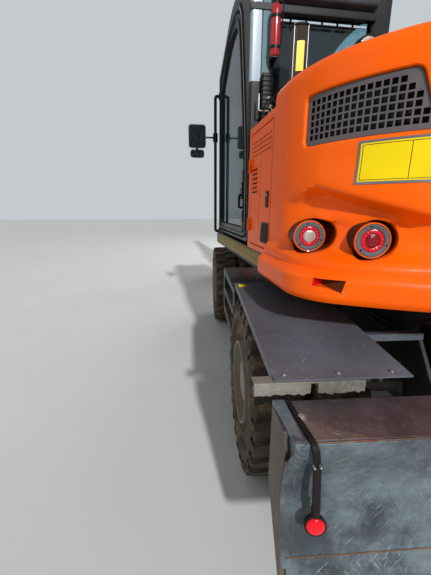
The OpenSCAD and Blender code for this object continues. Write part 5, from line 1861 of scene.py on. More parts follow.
        for name, piece, finish in (
            ("stalks", stalk, Finish.RUBBER), ("rims", rim, Finish.RUBBER), ("lenses", lens, Finish.MARKER),
            ("bolts", bolts, Finish.ZINC),
        ):
            piece.both_sides().finish(f"blade_marker_{name}", "blade", finish)

    def build(self) -> None:
        """Builds the blade with its linkage."""
        self.shell()
        self.welds()
        self.markers()
        for node in ("blade_arms", "blade_links", "blade_barrels"):
            dress(node, Finish.DARK, 3)
        dress("blade_rods", Finish.CHROME, 1.5)


@dataclass(frozen=True)
class Mudguards:
    """Rear mudguards with bolts, stickers and the bent galvanised step strips."""

    top: float = 1117.0
    back: float = 2156.0

    def build(self) -> None:
        """Builds the mudguards."""
        # The guards' grey-blue holds a painted sky reflection.
        dress("rear_mudguards", Finish.GUARD, 1.5)
        bolts = Workpiece()
        bolts.lathe(
            [(8, 0), (8, 1.4), (6, 1.6), (6, 4.6), (4.6, 5.6), (0, 5.6)], (-1196, -self.back + 26, 1043.2),
            (0, -0.07, 1), 12
        )
        heads = Workpiece(PLACE.lower).take(row(bolts, 3, (192, 0, 0)))
        heads.both_sides().finish("mudguard_bolts", "undercarriage", Finish.ZINC)
        sticker = Workpiece(PLACE.lower)
        sticker.loft([
            [
                Vector((x, y, self.top + 0.2 - (-1100 - y) * 0.0729 + lift))
                for x, y in ((-1222, -1182), (-1180, -1182), (-1180, -1134), (-1222, -1134))
            ]
            for lift in (-0.5, 0.9)
        ])
        sticker.both_sides().finish("mudguard_stickers", "undercarriage", Finish.SIGN_YELLOW)
        luck = random.Random(3)
        strip = Workpiece(PLACE.lower)
        for low, high in (((-1306, 990), (-1112, 1034)), ((-1086, 990), (-922, 1032))):
            count = 14
            rings = []
            for i in range(count + 1):
                x = low[0] + (high[0] - low[0]) * i / count
                dent = luck.uniform(-6, 3)
                sway = luck.uniform(-3.5, 3.5)
                rings.append(
                    [
                        Vector((x, -self.back - 10 + dent, low[1] + sway)),
                        Vector((x, -self.back - 5 + dent, low[1] + sway)),
                        Vector((x, -self.back - 3, high[1])), Vector((x, -self.back - 8, high[1])),
                    ]
                )
            strip.loft(rings)
        strip.block((-1306, -self.back - 8, 1028), (-922, -self.back + 40, 1033))
        strip.both_sides().finish("mudguard_step_strips", "undercarriage", Finish.GALVANISED, bevel=1)


@dataclass(frozen=True)
class Wheels:
    """Four pairs of twin tyres on their rims, with lugs, wheel nuts and hubs."""

    radius: float = 525.0
    depth: float = 22.0
    width: float = 275.0
    pitch: float = 318.0
    bead: float = 254.0
    lugs: int = 26
    nuts: int = 10
    hub_bolts: int = 8

    def carcass(self) -> Workpiece:
        """Tyre without its lugs, its axis along x, in the middle of the origin."""
        half, tread, bead = self.width / 2, self.radius - self.depth, self.bead
        wall = [(bead + 1, half - 45), (bead + 22, half - 28), (bead + 34, half - 30), (bead + 50, half - 12)]
        wall += [(p[1], p[0]) for p in arc((half - 45, tread - 75), 45, -70, 48, 8)]
        wall += [(tread - 22, half - 9), (tread - 6, half - 22), (tread - 1, half - 45), (tread, half * 0.3)]
        profile = [(r, x) for r, x in wall] + [(r, -x) for r, x in reversed(wall)]
        return Workpiece().lathe(profile, (0, 0, 0), (1, 0, 0), 84, closed=True)

    def lug(self, way: int) -> Workpiece:
        """One slanted lug that runs over the shoulder, at the top of the tyre."""
        half, tread, top = self.width / 2, self.radius - self.depth, self.radius
        rows = (
            (3, -30, 10, tread - 2, top), (52, -24, 14, tread - 2, top), (92, -10, 24, tread - 3, top - 0.5),
            (half - 10, 2, 34, tread - 8, top - 5), (half - 1, 4, 36, tread - 30, tread - 4),
            (half - 2, 6, 34, tread - 62, tread - 40),
        )
        rings = []
        for x, y0, y1, low, high in rows:
            draft = 3.0
            rings.append(
                [
                    Vector((way * x, way * p[0], p[1]))
                    for p in ((y0 - draft, low), (y1 + draft, low), (y1, high), (y0, high))
                ]
            )
        rings[-1] = [p + Vector((-way * 3, 0, 0)) for p in rings[-1]]
        return Workpiece().loft(rings)

    def tyre(self) -> Workpiece:
        """A whole tyre."""
        made = self.carcass()
        for way in (-1, 1):
            half_step = Matrix.Rotation(math.pi / self.lugs if way > 0 else 0, 4, "X")
            made.take(ring(self.lug(way), self.lugs, (1, 0, 0)), half_step)
        rib = Workpiece().lathe(
            [(self.bead + 70, -2), (self.bead + 74, 1.5), (self.bead + 78, -2)], (self.width / 2 - 8, 0, 0),
            (1, 0, 0), 84, closed=True
        )
        made.take(rib.mesh("rib"))
        return made

    def build(self) -> None:
        """Builds the wheels at the four axle ends."""
        tyre = self.tyre().mesh("tyre")
        groove = [
            1.0 - smoothstep(math.hypot(v.co.y, v.co.z), self.radius - self.depth + 2, self.radius - 5)
            for v in tyre.vertices
        ]
        mark = tyre.attributes.new("groove", "FLOAT", "POINT")
        mark.data.foreach_set("value", groove)
        for end in ("rear", "front"):
            for side in Side:
                self.wheel(tyre, end, side)
        bpy.data.meshes.remove(tyre)

    def wheel(self, tyre: bpy.types.Mesh, end: str, side: Side) -> None:
        """Builds one pair of twin wheels.

        Args:
            tyre: The tyre's mesh about the origin.
            end: The axle, rear or front.
            side: Side of the machine.
        """
        name = f"{end}_{side.word}"
        body = f"wheel_{name}"
        low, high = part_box(f"rims_{name}")
        centre = (low + high) / 2
        at = Matrix.Translation(centre) @ Matrix.Scale(MM, 4)
        bm = bmesh.new()
        for shift, turn in ((-self.pitch / 2, 0.03), (self.pitch / 2, 0.11)):
            copy = tyre.copy()
            copy.transform(Matrix.Translation((shift, 0, 0)) @ Matrix.Rotation(turn * side.value, 4, "X"))
            bm.from_mesh(copy)
            bpy.data.meshes.remove(copy)
        mesh = bpy.data.meshes.new(f"tyres_{name}_lugged")
        bm.to_mesh(mesh)
        bm.free()
        mesh.transform(at)
        set_down(mesh, mesh.name, body, Finish.TYRE, smooth=38, replaces=(f"tyres_{name}",))
        dress(f"rims_{name}", Finish.RIM, 4)
        out = side.value
        face = out * (self.pitch / 2 + 20)
        nut = Workpiece().lathe(
            [(17, 0), (17, 22), (13, 26), (9, 26), (9, 38), (0, 39)], (face, 0, 132), (out, 0, 0), 6
        )
        nuts = Workpiece(at).take(ring(nut, self.nuts, (1, 0, 0)))
        nuts.finish(f"wheel_nuts_{name}", body, Finish.STEEL)
        bolt = Workpiece().lathe([(8, 0), (8, 7), (6, 9), (0, 9)], (out * (self.pitch / 2 + 74), 0, 96), (out, 0, 0), 6)
        cap = Workpiece(at).take(ring(bolt, self.hub_bolts, (1, 0, 0)))
        cap.finish(f"hub_bolts_{name}", body, Finish.STEEL)


@dataclass(frozen=True)
class Undercarriage:
    """Frame, axles, shafts and steps between the wheels."""

    def build(self) -> None:
        """Dresses the frame's parts and adds the slewing ring's bolts and the pipes along the frame."""
        for finish, bevel, nodes in (
            (Finish.DARK, 5, ("chassis_frame", "blade_brackets", "tie_down_eyes")),
            (Finish.DARK, 5, ("rear_axle_beam", "front_axle_beam", "side_steps")),
            (Finish.ENGINE, 3, ("driveline", "slewing_ring")),
            (Finish.DARK, 4, ("knuckle_left", "knuckle_right")),
            (Finish.CHROME, 2, ("steering_rod",)),
        ):
            for node in nodes:
                dress(node, finish, bevel)
        bolt = Workpiece().lathe([(13, 0), (13, 9), (10, 12), (0, 12)], (575, 0, 1110.5), UP, 6)
        ring_bolts = Workpiece(PLACE.lower).take(ring(bolt, 36))
        ring_bolts.finish("slewing_ring_bolts", "undercarriage", Finish.STEEL)
        lines = Workpiece(PLACE.lower)
        for x, z in ((352, 905), (352, 935), (-352, 905), (-352, 935)):
            lines.tube(
                rounded(
                    [(x, -1500, z), (x, -800, z), (x, -620, z - 60), (x, 300, z - 60), (x, 900, z)], 60, 5,
                    closed=False
                ),
                9, 10
            )
        lines.finish("frame_pipes", "undercarriage", Finish.BLACK, slot="steel")
        clips = Workpiece(PLACE.lower)
        for side in Side:
            x = 330 if side is Side.RIGHT else -346
            seed = Workpiece().block((x, -1420, 888), (x + 34 if side is Side.RIGHT else x - 18, -1396, 952))
            clips.take(row(seed, 3, (0, 260, 0)))
        clips.finish("frame_pipe_clips", "undercarriage", Finish.DARK, slot="steel", bevel=1.5)


@dataclass(frozen=True)
class Cab:
    """Operator's cab: shell, glass, door, seals, trim and what hangs on its walls."""

    left: float = 1195.0
    right: float = 270.0
    rear: float = 740.0
    front: float = 980.0
    bend: float = 500.0
    corner: float = 1093.0
    grip: float = 1240.0

    def door(self, inset: float) -> list[Vector]:
        """The door's side outline, moved inwards."""
        rows = ((-650 + inset, 1390 + inset, 60), (-650 + inset, 1960, 500), (-400 + inset, 2990 - inset, 220),
                (20, 2970 - inset, 400), (440 - inset, 2750 - inset, 60), (440 - inset, 1390 + inset, 50))
        return rounded([r[:2] for r in rows], [r[2] for r in rows], 6)

    def upright(self, x: float, outline: Iterable[Vector]) -> list[Vector]:
        """A side outline as a route at one x."""
        return [Vector((x, p[0], p[1])) for p in outline]

    def seals(self) -> None:
        """Builds the rubber seals round the door and the panes, and the pale beading behind the door."""
        kit = Kit("cab_seals", "upper", PLACE.upper)
        seal = kit[Finish.SEAL]
        seal.tube(self.upright(-self.left - 0.5, self.door(-13)), 6, 8, True)
        behind = self.door(-28)
        kit[Finish.BEADING].tube(self.upright(-self.left - 1, behind[5:18]), 6, 8)
        kit[Finish.RUBBER].tube(self.upright(-self.left - 1, self.door(-44)[5:18]), 7, 8)
        window = box_outline((-self.left + 126, 2236), (-self.right - 126, 2934), 60)
        seal.tube([(p.x, -self.rear - 2, p.y) for p in window], 10, 8, True)
        screen = box_outline((-self.corner + 71, 1556), (-self.right - 86, 2680), 60)
        seal.tube(
            [(p.x, self.front + 2, min(p.y, 2290)) for p in screen if p.y < 2300 or abs(p.x + 640) > 360], 9, 8, True
        )
        side = rounded(
            [(-614, 1896), (-614, 2924), (-40, 2944), (560, 2664), (894, 2260), (894, 1896)],
            [40, 60, 200, 200, 100, 40], 6
        )
        seal.tube(self.upright(-self.right + 1, side), 10, 8, True)
        kit.done()
        door = Kit("cab_door_trim", "cab_door", PLACE.upper, 1.5)
        door[Finish.SEAL].tube(self.upright(-self.left + 17, self.door(58)), 10, 8, True)
        door[Finish.BLACK_PLASTIC].tube(self.upright(-self.left - 2, self.door(22)), 5, 8, True)
        door[Finish.BLACK_PLASTIC].prism(
            rounded([(-610, 1660), (-610, 1780), (-560, 1780), (-545, 1660)], 14), -self.left - 10, -self.left + 2
        )
        door[Finish.ZINC].rod((-self.left - 16, -588, 1755), (-self.left + 4, -588, 1755), 11, 20, 2)
        wall, out = -self.left, -self.left - 26
        door[Finish.BLACK_PLASTIC].tube(
            rounded([(wall, -585, 1690), (out, -585, 1690), (out, -585, 1600), (wall, -585, 1600)], 18, 4, False), 9, 10
        )
        door.done()

    def rear_wall(self) -> None:
        """Builds the corner strips, pale blue and teal as a painted sky reflection, the brackets, the window's header
        and its clips.
        """
        kit = Kit("cab_rear_trim", "upper", PLACE.upper, 1.5)
        x, y = -self.left, -self.rear
        wrap = [(x, y + 34), (x - 4, y + 34)] + [
            tuple(p) for p in rounded([(x - 4, y + 33), (x - 4, y - 4), (x + 62, y - 4)], 24, 6, False)
        ]
        wrap += [(x + 62, y), (x, y)]
        # The corner strips and the teal blocks carry a painted sky reflection.
        kit[Finish.SILVER].prism(wrap, 2384, 2770, Axis.Z).prism(wrap, 2806, 3040, Axis.Z)
        kit[Finish.BLACK_PLASTIC].prism(wrap, 1640, 2384, Axis.Z)
        for low, high in ((2230, 2770), (2806, 3000)):
            kit[Finish.TEAL].block((x + 70, y - 4, low), (x + 122, y, high))
        black = kit[Finish.BLACK_PLASTIC]
        black.block((x - 7, y - 10, 2770), (x + 124, y + 40, 2806))
        black.prism(
            rounded([(x + 66, y - 2), (x + 66, y - 46), (x + 124, y - 46), (x + 124, y - 2)], 12), 2110, 2420, Axis.Z
        )
        for z in range(2140, 2410, 26):
            black.prism(
                rounded([(x + 60, y - 2), (x + 60, y - 52), (x + 128, y - 52), (x + 128, y - 2)], 14),
                z, z + 9, Axis.Z
            )
        header = [(y - 4, 2800), (y - 64, 2815), (y - 74, 2900), (y - 20, 2985), (y - 4, 2985)]
        kit[Finish.GREY_PLASTIC].prism(rounded(header, 18), x + 160, -self.right - 130)
        black.prism(
            rounded([(y - 1, 2742), (y - 34, 2748), (y - 34, 2796), (y - 1, 2800)], 8), x + 140, -self.right - 120
        )
        clip = Workpiece().block((x + 146, y - 12, 2716), (x + 236, y - 3, 2728))
        kit[Finish.SILVER].take(row(clip, 6, (104, 0, 0)))
        black.rod((x + 430, y - 80, 2860), (x + 430, y - 60, 2860), 9, 16)
        kit[Finish.GREY_PLASTIC].tube(
            rounded([(x + 108, -520, 1500), (x + 108, -515, 1980), (x + 112, -470, 2300)], 90, 6, False), 13, 14
        )
        kit.done()

    def roof(self) -> None:
        """Builds the roof's hatch, gutters, lamps, aerial and wiper."""
        kit = Kit("cab_roof", "upper", PLACE.upper, 2.5)
        mid = -(self.left + self.right) / 2
        hatch = box_outline((mid - 300, -520), (mid + 300, 60), 60)
        kit[Finish.BLACK_PLASTIC].prism(hatch, 3078, 3104, Axis.Z)
        kit[Finish.MIRROR].prism(box_outline((mid - 240, -460), (mid + 240, 0), 40), 3100, 3108, Axis.Z)
        for s in (-1, 1):
            x = mid + s * 452
            kit[Finish.BLACK_PLASTIC].tube(
                rounded([(x, -690, 3040), (x, -600, 3098), (x, -80, 3096), (x, 520, 2830)], 120, 6, False), 9, 10
            )
        for x in (mid - 330, mid + 330):
            lamp_at(kit, (x, 470, 2900), (0, 1, -0.25))
        kit[Finish.RUBBER].rod((mid + 380, -640, 3060), (mid + 380, -640, 3110), 16, 16, 3)
        kit[Finish.BLACK_PLASTIC].tube(
            [(mid + 380, -640, 3100), (mid + 382, -650, 3300), (mid + 386, -668, 3520)], 2.6, 6
        )
        kit[Finish.BLACK_PLASTIC].rod((mid + 60, self.front - 6, 1500), (mid + 60, self.front + 24, 1500), 22, 20, 3)
        kit[Finish.BLACK_PLASTIC].tube(
            [(mid + 60, self.front + 18, 1500), (mid + 20, self.front + 20, 1820), (mid - 40, self.front + 10, 2180)],
            6, 8
        )
        kit[Finish.RUBBER].block((mid - 46, self.front + 2, 1760), (mid - 34, self.front + 12, 2270))
        kit.done()

    def mirrors(self) -> None:
        """Builds the grab rail, the rounded mirrors on their arms and the right-hand rail."""
        kit = Kit("mirror", "upper", PLACE.upper, 3)
        left = self.bend - 46
        for x0, x1, y, z0, z1 in (
            (-1515, -1341, left, 2188, 2408), (-1500, -1358, left, 2096, 2174), (1425, 1600, 725, 1960, 2300)
        ):
            outline = box_outline((x0, z0), (x1, z1), 30)
            middle = Vector(((x0 + x1) / 2, (z0 + z1) / 2))
            rings = []
            for depth, share in ((35, 0.62), (33, 0.78), (25, 0.93), (14, 1.0), (3, 1.0), (0, 0.985)):
                rings.append(
                    [
                        Vector((middle.x + (p.x - middle.x) * share, y + depth, middle.y + (p.y - middle.y) * share))
                        for p in outline
                    ]
                )
            kit[Finish.BLACK_PLASTIC].loft(rings)
            face = [
                Vector((middle.x + (p.x - middle.x) * 0.93, 0, middle.y + (p.y - middle.y) * 0.93)) for p in outline
            ]
            kit[Finish.MIRROR].loft([[p + Vector((0, y + d, 0)) for p in face] for d in (-1.2, 1)])
        arm = kit[Finish.BLACK_PLASTIC]
        arm.rod((-1350, left + 18, 2292), (-self.grip + 8, left + 18, 2292), 9, 14)
        arm.rod((-1430, left + 18, 2160), (-1430, left + 18, 2200), 14, 16)
        arm.rod((-self.grip, self.bend - 28, 2250), (-self.grip, self.bend - 28, 2334), 25, 20, 4)
        arm.rod((1123, 742, 2152), (1430, 742, 2152), 11, 14)
        kit.done({Finish.BLACK_PLASTIC: ("mirrors",)})
        rails = Kit("handrail", "upper", PLACE.upper)
        y = self.bend - 28
        root, grip = -self.left + 2, -self.grip
        rails[Finish.BLACK].tube(
            rounded([(root, y, 1350), (grip, y, 1350), (grip, y, 2670), (root, y, 2670)], 34, 7, False), 15, 16
        )
        side = 1105
        rails[Finish.BLACK].tube(
            rounded([(side, 740, 1642), (side, 740, 2350), (side, 400, 2350), (side, 400, 1642)], 110, 8, False),
            17, 16
        )
        for place, axis in (
            ((-self.left - 1, y, 1350), (-1, 0, 0)), ((-self.left - 1, y, 2670), (-1, 0, 0)), ((side, 740, 1641), UP),
            ((side, 400, 1641), UP)
        ):
            rails[Finish.BLACK].lathe([(34, 0), (34, 6), (31, 8), (18, 8)], place, axis, 24)
        rails.done({Finish.BLACK: ("handrails",)})

    def build(self) -> None:
        """Builds the cab."""
        for node, finish, bevel, segments in (
            ("cab_shell", Finish.BLACK, 9, 3), ("cab_door", Finish.BLACK, 6, 3), ("cab_glass", Finish.GLASS, 0, 2),
            ("door_glass", Finish.GLASS, 0, 2), ("controls", Finish.BLACK_PLASTIC, 2, 2),
        ):
            dress(node, finish, bevel, segments)
        self.seals()
        self.rear_wall()
        self.roof()
        self.mirrors()


def lamp_at(kit: Kit, place: Vec3, way: Vec3, size: float = 1.0) -> None:
    """Adds a work lamp with ribs, a clear lens and a stirrup.

    Args:
        place: Middle of its lens.
        way: Direction that it shines in.
        size: Scale of the lamp.
    """
    turn = Vector(UP).rotation_difference(Vector(way)).to_matrix().to_4x4()
    at = Matrix.Translation(place) @ turn @ Matrix.Scale(size, 4)
    shell, lens, steel = Workpiece(), Workpiece(), Workpiece()
    shell.lathe([(30, -62), (44, -52), (56, -30), (60, -8), (62, 0), (60, 4), (54, 4), (53, -2)])
    for z in (-46, -36, -26, -16):
        shell.lathe([(46 - z * 0.1, z), (61, z), (61, z + 3), (46 - z * 0.1, z + 3)], closed=True)
    lens.lathe([(53.5, -4), (53.5, 0), (44, 4), (20, 6), (0, 6.5)])
    steel.tube(rounded([(-66, 0, -20), (-66, -66, -20), (66, -66, -20), (66, 0, -20)], 12, 4, False), 5, 8)
    steel.rod((-70, 0, -20), (70, 0, -20), 6, 10).rod((0, -64, -20), (0, -84, -20), 8, 10)
    for finish, piece in ((Finish.BLACK_PLASTIC, shell), (Finish.CLEAR_LENS, lens), (Finish.DARK, steel)):
        kit[finish].take(piece.mesh("lamp"), at)


@dataclass(frozen=True)
class Seat:
    """Operator's seat with soft cushions on its suspension."""

    middle: float = -732.5
    place: Vec2 = (-110.0, 1410.0)
    voxel: float = 0.006
    pressure: float = 4.0
    ticks: int = 20

    def cushion(self, name: str, rings: list[list[Vector]], cap: float) -> None:
        """Swells one cushion from a slim block.

        Args:
            name: The cushion's name.
            rings: Sections of the slim block from side to side.
            cap: The furthest that a point may move, in millimetres.
        """
        slim = Workpiece().loft(rings)
        mesh = slim.mesh(name)
        mesh.transform(PLACE.upper @ Matrix.Translation((self.middle, self.place[0], self.place[1])))
        piece = bpy.data.objects.new(name, mesh)
        bpy.context.scene.collection.objects.link(piece)
        piece = self.baked(piece, "voxels", "REMESH", mode="VOXEL", voxel_size=self.voxel)
        rest = [v.co.copy() for v in piece.data.vertices]
        cloth = piece.modifiers.new("filling", "CLOTH")
        cloth.settings.use_pressure = True
        cloth.settings.uniform_pressure_force = self.pressure
        cloth.settings.effector_weights.gravity = 0.0
        cloth.settings.quality = 5
        cloth.point_cache.frame_start, cloth.point_cache.frame_end = 1, self.ticks
        for tick in range(1, self.ticks + 1):
            bpy.context.scene.frame_set(tick)
        graph = bpy.context.evaluated_depsgraph_get()
        swollen = bpy.data.meshes.new_from_object(piece.evaluated_get(graph))
        piece.modifiers.clear()
        for vert, new, old in zip(piece.data.vertices, swollen.vertices, rest):
            step = new.co - old
            vert.co = old + step * min(1.0, cap * MM / max(step.length, 1e-9))
        bpy.data.meshes.remove(swollen)
        bpy.context.scene.frame_set(1)
        piece = self.baked(piece, "fine", "SUBSURF", levels=1, render_levels=1)
        done = piece.data
        bpy.data.objects.remove(piece)
        node = ("seat",) if name == "seat_cushion" else ()
        made = set_down(done, name, "upper", Finish.FABRIC, smooth=60, replaces=node)

    def baked(self, piece: bpy.types.Object, name: str, kind: str, **settings: object) -> bpy.types.Object:
        """Puts one modifier on a piece and makes its result the piece's mesh."""
        modifier = piece.modifiers.new(name, kind)
        for key, value in settings.items():
            setattr(modifier, key, value)
        graph = bpy.context.evaluated_depsgraph_get()
        mesh = bpy.data.meshes.new_from_object(piece.evaluated_get(graph))
        piece.modifiers.clear()
        piece.data = mesh
        return piece

    def section(self, x: float, outline: list[Vec2], share: float) -> list[Vector]:
        """One rounded section of a cushion, drawn together towards its middle by share."""
        points = rounded(outline, 34, 4)
        middle = sum(points, Vector((0, 0))) / len(points)
        return [Vector((x, *(middle + (p - middle) * share))) for p in points]

    def build(self) -> None:
        """Builds the seat."""
        pad = [(-110, 300), (318, 300), (336, 388), (-80, 380)]
        back = [(-176, 420), (-78, 400), (-92, 620), (-178, 900), (-196, 960), (-276, 950), (-262, 800)]
        head = [(-215, 990), (-196, 1120), (-214, 1140), (-290, 1120), (-296, 1000)]
        for name, outline, half, fill, cap in (
            ("seat_cushion", pad, 222, 0.7, 14), ("seat_back", back, 218, 0.6, 12),
            ("seat_headrest", head, 120, 0.55, 8)
        ):
            rings = [
                self.section(s * half * w, outline, share) for s, w, share in (
                    (-1, 1, 0.55), (-1, 0.96, 0.85), (-1, 0.86, 1.0), (-1, 0.5, 0.93),
                    (1, 0.5, 0.93), (1, 0.86, 1.0), (1, 0.96, 0.85), (1, 1, 0.55),
                )
            ]
            self.cushion(name, rings, cap)
        place = PLACE.upper @ Matrix.Translation((self.middle, self.place[0], self.place[1]))
        kit = Kit("seat_stand", "upper", place, 3)
        plastic = kit[Finish.BLACK_PLASTIC]
        plastic.block((-200, -120, 0), (200, 330, 40)).block((-190, -110, 236), (190, 320, 284))
        for z in range(48, 232, 23):
            plastic.prism(box_outline((-176, -96), (176, 306), 40), z, z + 15, Axis.Z)
        plastic.prism(box_outline((-160, -80), (160, 290), 40), 42, 238, Axis.Z)
        for s in (-1, 1):
            plastic.prism(
                rounded([(-150, 560), (200, 520), (215, 470), (190, 440), (-140, 480)], 22), min(s * 236, s * 186),
                max(s * 236, s * 186)
            )
            kit[Finish.GREY_PLASTIC].tube([(s * 211, 190, 500), (s * 211, 214, 590), (s * 209, 224, 640)], 16, 14)
            kit[Finish.GREY_PLASTIC].ball((s * 209, 228, 664), 26, 8, (0.8, 0.9, 1.3))
        kit.done()


@dataclass(frozen=True)
class Bodywork:
    """Side bays, doors, hood, tank, sill and the fittings between the cab and the tail."""

    half: float = 1195.0
    bay_top: float = 2090.0
    wing: float = 1290.6
    lubricator_at: Vec2 = (-970.0, -960.0)

    def doors(self) -> None:
        """Builds the side doors' louvres, perforations, creases and grip recesses."""
        for side in Side:
            dress(f"side_door_{side.word}", Finish.ORANGE, 5)
            kit = Kit(f"side_door_{side.word}_fittings", f"side_door_{side.word}", PLACE.upper, 0.8)
            x = self.half
            dark = kit[Finish.INSIDE]
            slot = Workpiece().prism(box_outline((-972, 1690), (-858, 1700), 4, 3), x - 1, x + 0.8)
            hood = Workpiece()
            rings = []
            for y, share in ((-980, 0.1), (-966, 1.0), (-864, 1.0), (-850, 0.1)):
                rings.append(
                    [
                        Vector((x - 0.5, y, 1698)), Vector((x + 10 * share, y, 1699)),
                        Vector((x + 10 * share, y, 1703)), Vector((x - 0.5, y, 1712))
                    ]
                )
            hood.loft(rings)
            dark.take(row(slot, 6, (0, 0, 27)))
            kit[Finish.ORANGE].take(row(hood, 6, (0, 0, 27)))
            hole = Workpiece().lathe([(6, -1), (6, 0.7), (0, 0.7)], (x, -1212, 1912), (1, 0, 0), 8)
            dark.take(grid(hole, 15, 4, (0, 25, 0), (0, 0, 25)))
            dark.block((x - 1, -1032, 1384), (x + 0.5, -1029, 1880))
            frame_line = rounded([(-1222, 1400), (-1222, 1512), (-1100, 1512), (-1086, 1400)], 18)
            dark.prism(frame_line, x - 1, x + 0.8)
            kit[Finish.GREY_PLASTIC].tube([(x + 1, p.x, p.y) for p in frame_line], 5, 8, True)
            slat = Workpiece().block((x, -1204, 1404), (x + 7, -1196, 1508))
            kit[Finish.GREY_PLASTIC].take(row(slat, 4, (0, 26, 0)))
            kit[Finish.BLACK_PLASTIC].prism(box_outline((-1206, 1600), (-1166, 1690), 12), x - 1, x + 7)
            kit[Finish.ZINC].rod((x + 5, -1186, 1668), (x + 9, -1186, 1668), 9, 16, 1)
            if side is Side.LEFT:
                for piece in kit.pieces.values():
                    piece.move(Matrix.Diagonal((-1, 1, 1, 1)))
            kit.done()

    def sills(self) -> None:
        """Builds the strips along the skirt, whose ochre is painted shade and reflection on orange, with their yellow
        reflectors.
        """
        kit = Kit("sill", "upper", PLACE.upper, 1.5)
        x = -self.half
        kit[Finish.OCHRE].loft(
            [
                [
                    Vector((px, y, z))
                    for px, z in (
                        (x + 1, 1232), (x - 5, 1236), (x - 9, 1256), (x - 9, 1302), (x - 4, 1316), (x + 1, 1321)
                    )
                ]
                for y in (-1284, 470)
            ]
        )
        kit[Finish.SIGN_YELLOW].block((x - 11, -1236, 1250), (x - 8, -1096, 1296))
        kit[Finish.BLACK_PLASTIC].block((x - 9.5, -1284, 1276), (x - 8.6, 470, 1279))
        bolt = Workpiece().lathe([(8, 0), (8, 4), (5, 6), (0, 6)], (x - 8.5, -1020, 1290), (-1, 0, 0), 10)
        kit[Finish.ZINC].take(row(bolt, 6, (0, 280, 0)))
        kit.done(mirrored=True)

    def lubricator(self) -> None:
        """Builds the clear grease reservoir, its follower, cone and cup, and the thin lines with their fittings."""
        x, y = self.lubricator_at
        base = self.bay_top + 0.3
        kit = Kit("lubricator", "upper", PLACE.upper, 0.8)
        kit[Finish.SMOKED].lathe([(50, 190), (52, 190), (52, 486), (50, 486)], (x, y, base), UP, 40, True)
        dark = kit[Finish.BLACK_PLASTIC]
        dark.lathe([(56, 484), (58, 487), (58, 494), (54, 498), (20, 500), (0, 500)], (x, y, base), UP, 40)
        dark.lathe([(0, 176), (56, 176), (58, 180), (58, 190), (0, 191)], (x, y, base), UP, 40)
        dark.lathe([(0, 100), (34, 100), (38, 104), (50, 168), (50, 176), (0, 177)], (x, y, base), UP, 40)
        dark.lathe([(0, 0), (44, 0), (46, 4), (46, 60), (42, 78), (30, 92), (22, 101), (0, 101)], (x, y, base), UP, 40)
        for z in (8, 20, 32, 44, 56):
            dark.lathe([(44, z), (48, z), (48, z + 5), (44, z + 5)], (x, y, base), UP, 40, True)
        kit[Finish.RUBBER].lathe(
            [(0, 300), (48, 300), (49, 304), (49, 322), (46, 328), (12, 330), (12, 352), (0, 352)],
            (x, y, base), UP, 40
        )
        kit[Finish.BEADING].rod((x, y, base + 352), (x, y, base + 484), 5, 12)
        coil = [
            (x + 30 * math.cos(a), y + 30 * math.sin(a), base + 332 + a * 3.9)
            for a in (i * math.pi / 8 for i in range(97)) if a * 3.9 < 150
        ]
        kit[Finish.ZINC].tube(coil, 2.2, 6)
        for k in range(4):
            a = math.radians(35 + 90 * k)
            kit[Finish.ZINC].rod(
                (x + 60 * math.cos(a) * 0.92, y + 60 * math.sin(a) * 0.92, base + 178),
                (x + 55 * math.cos(a), y + 55 * math.sin(a), base + 498), 3.2, 8
            )
        label = []
        for r in (51.6, 53):
            label.append(
                [
                    Vector((x + r * math.cos(a), y + r * math.sin(a), base + z))
                    for z, turns in ((262, range(-126, -77, 6)), (410, range(-78, -127, -6)))
                    for a in map(math.radians, turns)
                ]
            )
        kit[Finish.SIGN_YELLOW].loft(label)
        lines = (
            (
                (x - 44, y, base + 60), (x - 84, y + 20, base + 66), (x - 130, y + 90, base + 180),
                (x - 158, y + 120, base + 130), (x - 160, y + 125, base - 2)
            ),
            (
                (x - 40, y - 20, base + 130), (x - 92, y - 10, base + 210), (x - 140, y + 60, base + 120),
                (x - 128, y + 80, base + 60), (x - 128, y + 84, base - 2)
            ),
            (
                (x + 40, y - 26, base + 140), (x + 70, y - 40, base + 210), (x + 92, y - 20, base + 120),
                (x + 100, y + 10, base + 20), (x + 100, y + 20, base - 2)
            ),
            (
                (x + 20, y - 50, base + 240), (x + 34, y - 66, base + 190), (x + 60, y - 60, base + 80),
                (x + 64, y - 54, base - 2)
            ),
        )
        for line in lines:
            chain = rounded(line, 46, 6, False)
            kit[Finish.RUBBER].tube(chain, 4.6, 8)
            for at, to in (
                (chain[0], chain[1]), (chain[-1], chain[-2]), (chain[len(chain) // 2], chain[len(chain) // 2 + 1])
            ):
                way = (to - at).normalized()
                kit[Finish.ZINC].rod(at + way * 2, at + way * 22, 7.5, 10, 1.5)
        kit.done({Finish.SMOKED: ("lubricator",)})

